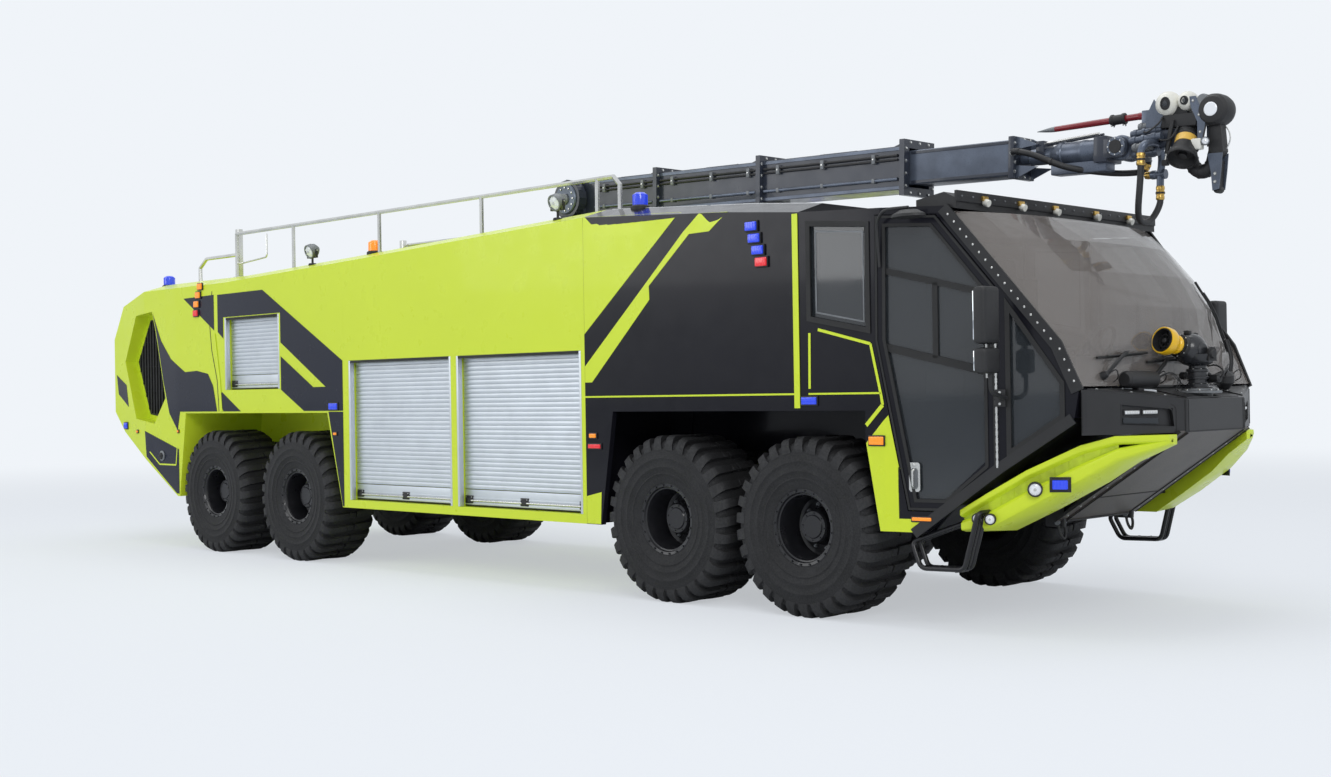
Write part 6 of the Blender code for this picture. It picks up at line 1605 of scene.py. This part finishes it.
def boom_head():
    """Knuckle, manifold, nozzle with its bell, camera pods, work lamp on its arm, piercing spear."""
    at = head_at
    parts = [(turned_between(at(0, -0.98, 0), at(0, 0.98, 0),
                             ((0.082, 0), (0.093, 0.05), (0.093, 0.30), (0.088, 0.32), (0.088, 0.68),
                              (0.093, 0.70), (0.093, 0.95), (0.082, 1)), 40), boom_painted_sheen)]
    parts.append((block(at(0.55, -0.92, -0.46), at(2.6, 0.92, 0.46), 0.014, 3), boom_painted_sheen))
    parts.append((block(at(2.5, -0.75, -0.30), at(4.75, 0.75, 1.05), 0.012, 3), boom_steel))
    # couplings and pipes of the manifold
    ringed = ((0.028, 0), (0.028, 0.08), (0.034, 0.09), (0.034, 0.20), (0.028, 0.21), (0.028, 0.38),
              (0.035, 0.39), (0.035, 0.48), (0.030, 0.49), (0.030, 0.70), (0.036, 0.71), (0.036, 0.84),
              (0.030, 0.85), (0.030, 1))
    for a, b in (((0.7, -0.45, 0.95), (3.3, -0.5, 1.15)), ((0.9, -1.05, 0.35), (3.6, -1.15, 0.55)),
                 ((0.9, 0.60, 0.90), (3.2, 0.6, 1.10)), ((1.0, -0.8, -0.65), (3.2, -0.9, -0.60))):
        parts.append((turned_between(at(*a), at(*b), ringed, 22), boom_painted_sheen))
    for a, b in (((1.3, -1.3, -0.2), (2.9, -1.35, -0.15)), ((1.2, -0.2, 1.5), (3.0, -0.2, 1.6))):
        parts.append((turned_between(at(*a), at(*b), ringed, 18), cast_grey))
    elbows = (((3.0, -0.7, 0), (2.95, -1.6, 0.05), (2.80, -2.35, -0.15), (2.60, -2.53, -0.65),
               (2.58, -2.53, -1.24)), ((2.4, 0.7, 0), (2.35, 1.2, -0.6), (2.20, 1.5, -1.3),
                                       (2.07, 1.58, -2.2), (2.07, 1.58, -3.59)))
    for route in elbows:
        parts.append((swept(curved([at(*p) for p in route], 6), 0.0275, 16), boom_painted_sheen))
    tee = at(2.07, 1.58, -2.05)
    parts.append((turned_between(tee + Vector((-0.075, 0, 0)), tee + Vector((0.045, 0, 0)),
                                 ((0.030, 0), (0.034, 0.1), (0.034, 0.3), (0.030, 0.35), (0.030, 0.8),
                                  (0.036, 0.85), (0.036, 1)), 20), boom_painted_sheen))
    parts.append((turned_between(tee + Vector((-0.075, 0, 0)), tee + Vector((-0.120, 0, 0)),
                                 ((0.028, 0), (0.030, 0.5), (0.026, 1)), 18), brass))
    band = ((0.029, 0), (0.0325, 0.08), (0.0325, 0.25), (0.0295, 0.28), (0.0295, 0.36), (0.0325, 0.40),
            (0.0325, 0.58), (0.0295, 0.62), (0.0295, 0.70), (0.0315, 0.74), (0.0315, 0.92), (0.028, 1))
    for top, low in (((2.585, -2.53, -0.80), (2.58, -2.53, -1.75)),
                     ((2.07, 1.58, -2.95), (2.07, 1.58, -4.05))):
        parts.append((turned_between(at(*top), at(*low), band, 24), brass))
    for place in ((2.58, -2.53, -1.30), (2.07, 1.58, -3.50)):
        parts.append((turned_between(at(*place) + Vector((0, 0, 0.007)), at(*place) - Vector((0, 0, 0.007)),
                                     ((0.0345, 0), (0.0345, 1)), 24), matt_black))
    # nozzle body, its plain ring and its bell
    a, b = at(5.08, 0.35, 1.30), at(5.45, -1.6, -1.45)
    body = ((0.060, 0), (0.079, 0.04), (0.081, 0.10), (0.081, 0.34), (0.074, 0.37), (0.074, 0.60),
            (0.080, 0.62), (0.084, 0.70), (0.100, 0.84), (0.109, 0.92), (0.1095, 0.975), (0.105, 1.0),
            (0.098, 0.985), (0.090, 0.90), (0.070, 0.82), (0.030, 0.80))
    parts.append((turned_between(a, b, body, 48), matt_black))
    ahead = (b - a).normalized()
    long = (b - a).length
    parts.append((turned_between(a + ahead * long * 0.385, a + ahead * long * 0.585,
                                 ((0.0745, 0), (0.0775, 0.04), (0.0775, 0.96), (0.0745, 1)), 44),
                  band_yellow))
    hub = a + ahead * long * 0.80
    parts.append((turned_between(hub, hub + ahead * 0.045,
                                 ((0.050, 0), (0.050, 0.2), (0.034, 0.3), (0.032, 0.9), (0.02, 1)), 28),
                  matt_black))
    tooth = block((-0.006, 0.094, -0.010), (0.006, 0.101, 0.012), 0.002, 1)
    parts.append((moved(ring(tooth, 24, "Z"), aimed(b - ahead * 0.012, b) @ Matrix.Rotation(-pi / 2, 4, "X")),
                  matt_black))
    for k in range(3):
        low = a + ahead * long * (0.08 + 0.09 * k)
        parts.append((turned_between(low, low + ahead * 0.008, ((0.083, 0), (0.084, 0.5), (0.083, 1)), 40),
                      matt_black))
    # carrier box, struts and the slanted plates
    parts.append((block(at(3.3, -0.85, 1.15), at(6.2, 0.75, 2.15), 0.014, 2), matt_black))

    def plate(outline, y, thick, finish, soft=0.003):
        points = [tuple(at(u, 0, v).xz) for u, v in outline]
        return moved(prism(points, thick, soft), Matrix.Translation((0, y * NECK, 0)) @ UPRIGHT), finish
    for y in (-0.82, 0.70):
        parts.append(plate([(2.1, 1.35), (3.3, 1.25), (3.5, 2.1), (2.75, 3.45), (2.1, 2.2)], y, 0.010,
                           boom_painted_sheen))
        parts.append(plate([(5.65, 3.35), (6.15, 3.35), (6.95, 1.5), (6.75, -0.35), (6.35, -0.35), (6.3, 1.4),
                            (5.75, 2.6)], y, 0.010, boom_painted_sheen))
    for u, v in ((5.95, 3.0), (6.45, 1.9), (6.55, 0.6), (6.55, -0.1)):
        parts += bolts_at([at(u, -0.88, v)], (0, -1, 0), 0.008, 0.007)
    parts.append((tube([at(4.35, -0.95, 1.7), at(3.95, -1.05, -0.85)], 0.017, sides=14), matt_black))
    parts.append((tube([at(4.05, -1.03, -0.3), at(3.85, -1.08, -1.45)], 0.009, sides=12), bright_steel))
    parts.append((block(at(3.6, -1.25, -1.75), at(4.1, -0.85, -1.30), 0.006), matt_black))
    # camera pods
    parts += egg(at(3.62, -0.15, 3.02), (0.090, 0.105, 0.098), at(3.85, -1.18, 2.98), (0.036, 0.048))
    parts += egg(at(5.20, -0.10, 3.12), (0.066, 0.095, 0.074), at(5.32, -1.02, 3.08), (0.030, 0.033))
    parts.append((block(at(4.1, -0.5, 2.0), at(5.3, 0.5, 2.75), 0.010), matt_black))
    # work lamp: drum, gear, arm and foot
    drum = ((0.055, 0), (0.092, 0.05), (0.112, 0.16), (0.118, 0.35), (0.118, 0.62), (0.110, 0.82),
            (0.090, 0.94), (0.055, 1))
    parts.append((turned_between(at(7.45, -1.08, 2.2), at(7.45, 1.08, 2.2), drum, 44), matt_black))
    parts.append((turned_between(at(7.45, -1.06, 2.2), at(7.45, -1.16, 2.2),
                                 ((0.050, 0), (0.050, 0.6), (0.044, 1)), 28), clear_lens))
    parts.append((turned_between(at(6.65, -0.85, 3.0), at(6.65, 0.65, 3.0),
                                 ((0.040, 0), (0.046, 0.1), (0.046, 0.8), (0.040, 0.82), (0.040, 1)), 28),
                  cast_grey))
    parts.append((block(at(6.3, -0.5, 2.2), at(7.2, 0.4, 3.3), 0.012), matt_black))
    arm = [(7.0, 1.3), (7.9, 1.3), (8.15, -0.9), (7.9, -1.3), (7.2, -1.3), (7.0, -0.9)]
    parts.append(plate(arm, 0.0, 0.085, matt_black, 0.010))
    foot = [(6.95, -1.05), (8.15, -1.05), (8.05, -2.4), (7.90, -3.75), (7.40, -3.85), (7.25, -2.4)]
    for y in (-0.50, 0.50):
        parts.append(plate(foot, y, 0.009, boom_painted_sheen, 0.002))
    parts.append(plate([(7.3, -1.6), (7.9, -1.6), (7.8, -3.5), (7.5, -3.55)], 0.0, 0.080, matt_black, 0.004))
    for u, v in ((7.6, -2.6), (7.6, -3.2)):
        parts += bolts_at([at(u, -0.55, v)], (0, -1, 0), 0.010, 0.008)
    parts.append((turned_between(at(7.65, -0.35, -3.75), at(7.65, 0.35, -3.75),
                                 ((0.026, 0), (0.028, 0.1), (0.028, 0.9), (0.026, 1)), 20), matt_black))
    parts.append((swept(curved([at(8.0, 0.3, 1.0), at(8.3, 0.3, 0.5), at(8.35, 0.3, -0.1),
                                at(8.05, 0.3, -0.8)], 8), 0.005, 8), bright_steel))
    # segmented elbow below the nozzle
    elbow = curved([at(5.15, 0.25, 0.0), at(5.25, 0.25, -1.1), at(5.65, 0.2, -2.0), at(6.35, 0.15, -2.3),
                    at(7.0, 0.1, -1.9), at(7.35, 0, -0.9)], 7)
    parts.append((swept(elbow, 0.050, 22), matt_black))
    for k in (8, 13, 18, 23, 28):
        a, b = elbow[k], elbow[k + 1]
        parts.append((turned_between(a, a + (b - a).normalized() * 0.010,
                                     ((0.053, 0), (0.054, 0.5), (0.053, 1)), 24), matt_black))
    parts.append((block(at(5.95, -1.25, -0.75), at(6.75, -0.55, 0.10), 0.014, 3), pod_white))
    parts += set_at(round_lamp(0.030, 0.03, clear_lens, cast_grey),
                    facing(at(6.95, -0.85, -0.15), (0.4, -0.9, 0)))
    # spear
    parts.append((turned_between(at(2.3, 0, 2.45), at(-6.4, 0, 2.13),
                                 ((0.024, 0), (0.0255, 0.02), (0.0255, 0.12), (0.0275, 0.125), (0.0275, 0.14),
                                  (0.0255, 0.145), (0.0245, 0.60), (0.0215, 0.99), (0.020, 1)), 24),
                  spear_red))
    parts.append((turned_between(at(-6.3, 0, 2.135), at(-8.05, 0, 2.07),
                                 ((0.0205, 0), (0.0215, 0.03), (0.0195, 0.25), (0.011, 0.65), (0.002, 1)),
                                 22), cast_grey))
    parts.append((turned_between(at(-1.35, 0, 2.316), at(-0.05, 0, 2.364),
                                 ((0.036, 0), (0.043, 0.05), (0.043, 0.18), (0.037, 0.22), (0.037, 0.76),
                                  (0.043, 0.80), (0.043, 0.95), (0.036, 1)), 30), matt_black))
    for u in (-1.2, -0.2):
        parts += bolts_at([at(u, -0.2, 1.93), at(u, 0.2, 1.93)], (0, 0, -1), 0.007, 0.012, False)
    parts.append((block(at(1.4, -0.28, 1.2), at(2.5, 0.28, 2.8), 0.008), boom_painted_sheen))
    for route in (((3.2, -0.9, 0.8), (3.6, -1.4, 0.2), (4.4, -1.3, 0.3), (4.8, -0.9, 1.2)),
                  ((2.0, -1.0, 1.0), (2.6, -1.5, 0.9), (3.3, -1.2, 1.5), (3.5, -0.9, 2.0)),
                  ((6.9, -0.5, 1.6), (6.9, -0.9, 0.6), (6.7, -1.0, -0.4), (6.1, -0.7, -1.0))):
        parts.append((swept(curved([at(*p) for p in route], 7), 0.0065, 8), hose_black))
    placed("boom_head_gear", on_boom(parts), "boom_head", ["boom_head"])

    path = [BOOM @ p + FIRST_AXLE for p in curved([at(*p) for p in LOOP], 3)]
    path[0] -= Vector((0, 0, 0.0003))
    loop = placed("hose_loop_cord", [(swept(path, LOOP_R, 16), hose_black)], "boom_head", ["hose_loop"],
                  shift=Vector((0, 0, 0)))
    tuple(path[0])
    sum((b - a).length for a, b in zip(path, path[1:]))


# Roof, tail and underside fittings

# x, z outline of the cooling intake's mouth
INTAKE = ((-10.52, 2.77), (-10.07, 2.80), (-9.98, 2.55), (-9.757, 1.763), (-10.047, 1.458), (-10.556, 1.515),
          (-10.867, 2.22))


def outline_span(outline, x):
    """Lowest and highest z of an x, z outline at x."""
    heights = [a[1] + (b[1] - a[1]) * (x - a[0]) / (b[0] - a[0])
               for a, b in zip(outline, outline[1:] + outline[:1]) if (a[0] - x) * (b[0] - x) < 0]
    return min(heights), max(heights)


def intakes():
    within = framed(list(INTAKE), 0.055)
    parts = [(film(within, s, lift=0.002, thick=0.004), under_black) for _, s in SIDES]
    for _, s in SIDES:
        for k in range(14):
            x = -10.74 + 0.068 * k
            low, high = outline_span(within, x)
            if high - low < 0.2:
                continue
            at = side_frame(x, (low + high) / 2, s)
            half = (high - low) / 2 - 0.02
            blade = moved(block((-0.003, -half, 0.004), (0.003, half, 0.026), 0.001, 1),
                          Matrix.Rotation(0.5, 4, "Y"))
            parts.append((moved(blade, at), matt_black))
        for z in (1.85, 2.15, 2.45):
            at = side_frame(-10.30, z, s)
            parts.append((moved(block((-0.30, -0.006, 0.005), (0.30, 0.006, 0.012), 0.002, 1), at),
                          matt_black))
    placed("intake_louvres", parts, "chassis")


POST_X, POST_Y, POST_TOP = -8.69, 1.16, 3.70
# x, y, lens of the beacons, and x, y, height over the roof of the work lamps
BEACONS = ((-2.03, 1.20, blue_lens), (-5.956, 1.20, amber_lens), (-10.35, 1.15, blue_lens))
WORK_LAMPS = ((-2.99, 1.30, 0.16), (-6.963, 1.30, 0.15))
# x, y, length, width of the roof's hatches
HATCHES = ((-9.55, 0.0, 0.85, 1.5), (-7.6, 0.0, 1.3, 1.5), (-6.75, -0.45, 0.55, 0.55), (-1.1, 0.75, 0.6, 0.5))


def beacon(x, y, glass, s):
    """A low dome light on a round foot."""
    at, _ = roof_hit(x, s * y)
    up = Matrix.Translation(at) @ Matrix.Rotation(pi / 2, 4, "X")
    foot = lathe([(0, -0.02), (0.085, -0.02), (0.085, 0.018), (0.070, 0.030), (0, 0.030)], 32)
    dome = lathe([(0, 0.028), (0.064, 0.028), (0.066, 0.10), (0.060, 0.125), (0.040, 0.140), (0, 0.144)], 32)
    fin = block((-0.003, 0.030, 0.060), (0.003, 0.12, 0.068), 0.001, 1)
    return [(moved(foot, up), matt_black), (moved(dome, up), glass), (moved(ring(fin, 12), up), glass)]


def work_lamp(x, y, rise_z, s):
    """A round flood lamp on a forked bracket, aimed out and down."""
    at, _ = roof_hit(x, s * y)
    head = at + Vector((0, 0, rise_z))
    parts = [(turned_between(at - Vector((0, 0, 0.01)), at + Vector((0, 0, 0.014)),
                             ((0.045, 0), (0.045, 0.6), (0.038, 1)), 20), matt_black),
             (turned_between(at, head - Vector((0, 0, 0.065)), ((0.012, 0), (0.012, 1)), 12), matt_black)]
    parts += set_at(round_lamp(0.078, 0.05, clear_lens, cast_grey), facing(head, (0, s * 0.94, -0.34)))
    parts.append((turned_between(head, head + Vector((0, -s * 0.07, 0.026)),
                                 ((0.076, 0), (0.066, 0.5), (0.030, 1)), 24), cast_grey))
    for way in (1, -1):
        parts.append((block(head + Vector((way * 0.083 - 0.004, -0.014, -0.075)),
                            head + Vector((way * 0.083 + 0.004, 0.014, 0.014)), 0.003), matt_black))
        parts += bolts_at([head + Vector((way * 0.087, 0, 0))], (way, 0, 0), 0.008, 0.006, False)
    parts.append((block(head + Vector((-0.087, -0.014, -0.080)), head + Vector((0.087, 0.014, -0.072)),
                        0.003), matt_black))
    return parts


def roof_gear():
    def lights(s):
        parts = []
        for lamp in BEACONS:
            parts += beacon(*lamp, s)
        for lamp in WORK_LAMPS:
            parts += work_lamp(*lamp, s)
        return parts
    placed("roof_lights", both_sides(lights), "chassis")

    deck = []
    for x0, x1 in ((-2.36, -1.22), (-1.18, -0.03)):
        for y0, y1 in ((-1.22, -0.62), (-0.60, 0.0), (0.02, 0.60), (0.62, 1.22)):
            deck.append((film([(x0, y0), (x1, y0), (x1, y1), (x0, y1)], 1, lift=0.002, thick=0.004, grid=0.3,
                              from_top=True), deck_plate_and_hood_highlight))
    placed("roof_tread_plates", deck, "chassis")

    hatches = []
    for x, y, along, across in HATCHES:
        at, normal = roof_hit(x, y)
        place = facing(at, normal)
        hatches.append((moved(block((-across / 2, -along / 2, 0.0), (across / 2, along / 2, 0.022), 0.012, 3),
                              place), lime_paint))
    placed("roof_hatches", hatches, "chassis")

    posts = []
    for _, s in SIDES:
        y = s * POST_Y
        at, _ = roof_hit(POST_X, y)
        posts.append((block((POST_X - 0.035, y - 0.030, at.z - 0.01), (POST_X + 0.035, y + 0.030, POST_TOP),
                            0.006), bright_steel))
        posts.append((block((POST_X - 0.06, y - 0.05, at.z - 0.005), (POST_X + 0.06, y + 0.05, at.z + 0.012),
                            0.004), bright_steel))
        posts.append((tube([(POST_X, y, 3.30), (-8.10, y, 3.34), (-8.10, y, 3.60)], 0.010, 0.04, 8),
                      bright_steel))
    placed("roof_posts", posts, "chassis")


def tail_face():
    """Rear lamps, engine door with louvres, and its handles."""
    def rear_frame(y, z):
        return facing(Vector((-11.1905, y, z)), (-1, 0, 0))
    parts = []
    for s in (1, -1):
        for k, glass in enumerate((red_lens, amber_lens, clear_lens)):
            parts += set_at(round_lamp(0.070, 0.035, glass), rear_frame(s * 1.18, 1.75 + 0.17 * k))
        parts += set_at(lamp_block(0.20, 0.09, 0.03, blue_lens, 4), rear_frame(s * 1.15, 2.33))
    door = block((-0.80, -0.42, 0.0), (0.80, 0.42, 0.016), 0.010)
    parts.append((moved(door, rear_frame(0, 2.05)), lime_paint))
    slat = block((-0.70, -0.004, 0.010), (0.70, 0.024, 0.030), 0.003, 1)
    parts.append((moved(row(slat, 13, (0.0, 0.055, 0.0)),
                        rear_frame(0, 2.05) @ Matrix.Translation((0, -0.335, 0))), matt_black))
    for y in (-0.74, 0.74):
        parts.append((moved(block((-0.02, -0.07, 0.012), (0.02, 0.07, 0.034), 0.006), rear_frame(y, 2.05)),
                      matt_black))
    placed("tail_fittings", parts, "chassis")


def underside():
    """Drive shafts between the axles, with their joints."""
    joint = ((0.040, 0), (0.085, 0.01), (0.085, 0.025), (0.050, 0.03), (0.050, 0.10), (0.060, 0.11),
             (0.060, 0.16), (0.045, 0.17), (0.045, 0.83), (0.060, 0.84), (0.060, 0.89), (0.050, 0.90),
             (0.050, 0.97), (0.085, 0.975), (0.085, 0.99), (0.040, 1))
    parts = []
    for a, b in (((-1.15, 0, 0.70), (-0.33, 0, 0.70)), ((-6.68, 0, 0.70), (-1.80, 0, 0.74)),
                 ((-8.36, 0, 0.70), (-7.34, 0, 0.70))):
        parts.append((turned_between(a, b, joint, 20), under_black))
    placed("drive_shafts", parts, "chassis")


# Plain finishes on the frame's own nodes

FINISH_OF = {"chassis_frame": under_black, "engine_block": cast_grey, "axle_1": under_black,
             "axle_2": under_black, "axle_3": under_black, "axle_4": under_black, "body_front": black_paint,
             "body_mid": lime_paint, "body_rear": lime_paint, "cab_shell": black_paint,
             "cab_seats": seat_cloth, "dashboard": dash_black, "quarter_glass_l": tinted_glass,
             "quarter_glass_r": tinted_glass, "side_glass_l": tinted_glass, "side_glass_r": tinted_glass,
             "windscreen": screen_glass, "hood": hood_black, "bumper": lime_paint, "header_visor": matt_black,
             "handrail_l": bright_steel, "handrail_r": bright_steel, "mirror_l": matt_black,
             "mirror_r": matt_black, "boom_turntable": boom_steel, "boom_outer": boom_steel,
             "boom_inner": boom_steel, "boom_head": boom_steel, "apron": apron_brown, "hose_loop": hose_black,
             "monitor_pan": matt_black, "monitor_nozzle": nozzle_yellow, "door_l": black_paint,
             "door_r": black_paint, "door_glass_l": tinted_glass, "door_glass_r": tinted_glass,}


def dress_frame():
    for name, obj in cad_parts.items():
        finish = FINISH_OF.get(name)
        if finish is None:
            finish = slat_silver if name.startswith(("shutter", "lift_bar")) else under_black
        for place in obj.material_slots:
            place.material = finish


# Light, floor and camera

PALE = (0.871, 0.905, 0.947)
FLOOR_HALF = 400
# the floor's own shading fades into the backdrop's colour between these distances
FADE_NEAR, FADE_FAR = 9, 34
FADE_LOW = 0.55
AMBIENT = 0.62
# name, place, aim, size, power
LAMPS = (
    ("key_lamp", (20, -16, 14), (2, 0, 1.5), 9, 1700),
    ("fill_lamp", (-14, -18, 9), (-3, 0, 1.5), 10, 700),
    ("top_lamp", (0, 0, 18), (0, 0, 0), 14, 1100),
)
PHOTO_WIDE_PX = 1331
FOCAL_PX = 1612.9
SENSOR_MM = 36
EYE_AT = Vector((7.909, -10.993, 1.738))
EYE_YAW, EYE_PITCH, EYE_ROLL = radians(44.63), radians(0.13), radians(-0.91)


def studio():
    floor = bpy.data.meshes.new("floor")
    far = FLOOR_HALF
    floor.from_pydata([(-far, -far, 0), (far, -far, 0), (far, far, 0), (-far, far, 0)], [], [(0, 1, 2, 3)])
    obj = bpy.data.objects.new("floor", floor)
    bpy.context.scene.collection.objects.link(obj)
    material, tree, bsdf = shader("pale_floor", (0.80, 0.83, 0.88), 0.9, specular=0.0)
    tree.links.new(spread(tree, noise(tree, 0.6, 2), 0.85, 0.95), bsdf.inputs["Roughness"])
    backdrop = tree.nodes.new("ShaderNodeEmission")
    backdrop.inputs["Color"].default_value = (*PALE, 1)
    place = tree.nodes.new("ShaderNodeTexCoord")
    reach = tree.nodes.new("ShaderNodeVectorMath")
    reach.operation = "LENGTH"
    tree.links.new(place.outputs["Object"], reach.inputs[0])
    fade = tree.nodes.new("ShaderNodeMapRange")
    fade.interpolation_type = "SMOOTHSTEP"
    fade.inputs["From Min"].default_value = FADE_NEAR
    fade.inputs["From Max"].default_value = FADE_FAR
    fade.inputs["To Min"].default_value = FADE_LOW
    fade.inputs["To Max"].default_value = 1
    tree.links.new(reach.outputs["Value"], fade.inputs["Value"])
    path = tree.nodes.new("ShaderNodeLightPath")
    share = tree.nodes.new("ShaderNodeMath")
    share.operation = "MULTIPLY"
    tree.links.new(fade.outputs["Result"], share.inputs[0])
    tree.links.new(path.outputs["Is Camera Ray"], share.inputs[1])
    blend = tree.nodes.new("ShaderNodeMixShader")
    tree.links.new(share.outputs[0], blend.inputs[0])
    tree.links.new(bsdf.outputs[0], blend.inputs[1])
    tree.links.new(backdrop.outputs[0], blend.inputs[2])
    tree.links.new(blend.outputs[0], tree.nodes["Material Output"].inputs["Surface"])
    floor.materials.append(material)
    world = bpy.data.worlds.new("studio")
    bpy.context.scene.world = world
    world.use_nodes = True
    tree = world.node_tree
    back = tree.nodes["Background"]
    back.inputs["Color"].default_value = (*PALE, 1)
    path = tree.nodes.new("ShaderNodeLightPath")
    seen = path.outputs["Is Camera Ray"]
    for label in ("Is Glossy Ray", "Is Transmission Ray"):
        both = tree.nodes.new("ShaderNodeMath")
        both.operation = "MAXIMUM"
        tree.links.new(seen, both.inputs[0])
        tree.links.new(path.outputs[label], both.inputs[1])
        seen = both.outputs[0]
    level = tree.nodes.new("ShaderNodeMapRange")
    level.inputs["To Min"].default_value = AMBIENT
    level.inputs["To Max"].default_value = 1
    tree.links.new(seen, level.inputs["Value"])
    tree.links.new(level.outputs["Result"], back.inputs["Strength"])
    for name, place, aim, size, power in LAMPS:
        lamp = bpy.data.lights.new(name, "AREA")
        lamp.size = size
        lamp.energy = power
        holder = bpy.data.objects.new(name, lamp)
        holder.location = place
        holder.rotation_euler = (Vector(aim) - Vector(place)).to_track_quat("-Z", "Y").to_euler()
        bpy.context.scene.collection.objects.link(holder)
    bpy.context.scene.view_settings.view_transform = "Standard"
    eye = bpy.data.cameras.new("camera")
    eye.sensor_width = SENSOR_MM
    eye.lens = FOCAL_PX / PHOTO_WIDE_PX * SENSOR_MM
    eye.clip_end = 500
    holder = bpy.data.objects.new("camera", eye)
    holder.matrix_world = (Matrix.Translation(EYE_AT + FIRST_AXLE)
                           @ Matrix.Rotation(EYE_YAW, 4, "Z") @ Matrix.Rotation(pi / 2 + EYE_PITCH, 4, "X")
                           @ Matrix.Rotation(EYE_ROLL, 4, "Z"))
    bpy.context.scene.collection.objects.link(holder)
    bpy.context.scene.camera = holder


for make in (dress_frame, wheels, graphics, side_lamps, tail_and_seams, shutters, shutter_frames, door_trim,
             cab_trim, wipers, visor_trim, mirrors, cab_inside, nose_trim, wings, apron_trim, monitor,
             boom_tube, boom_neck, boom_head, intakes, roof_gear, tail_face, underside, studio):
    make()
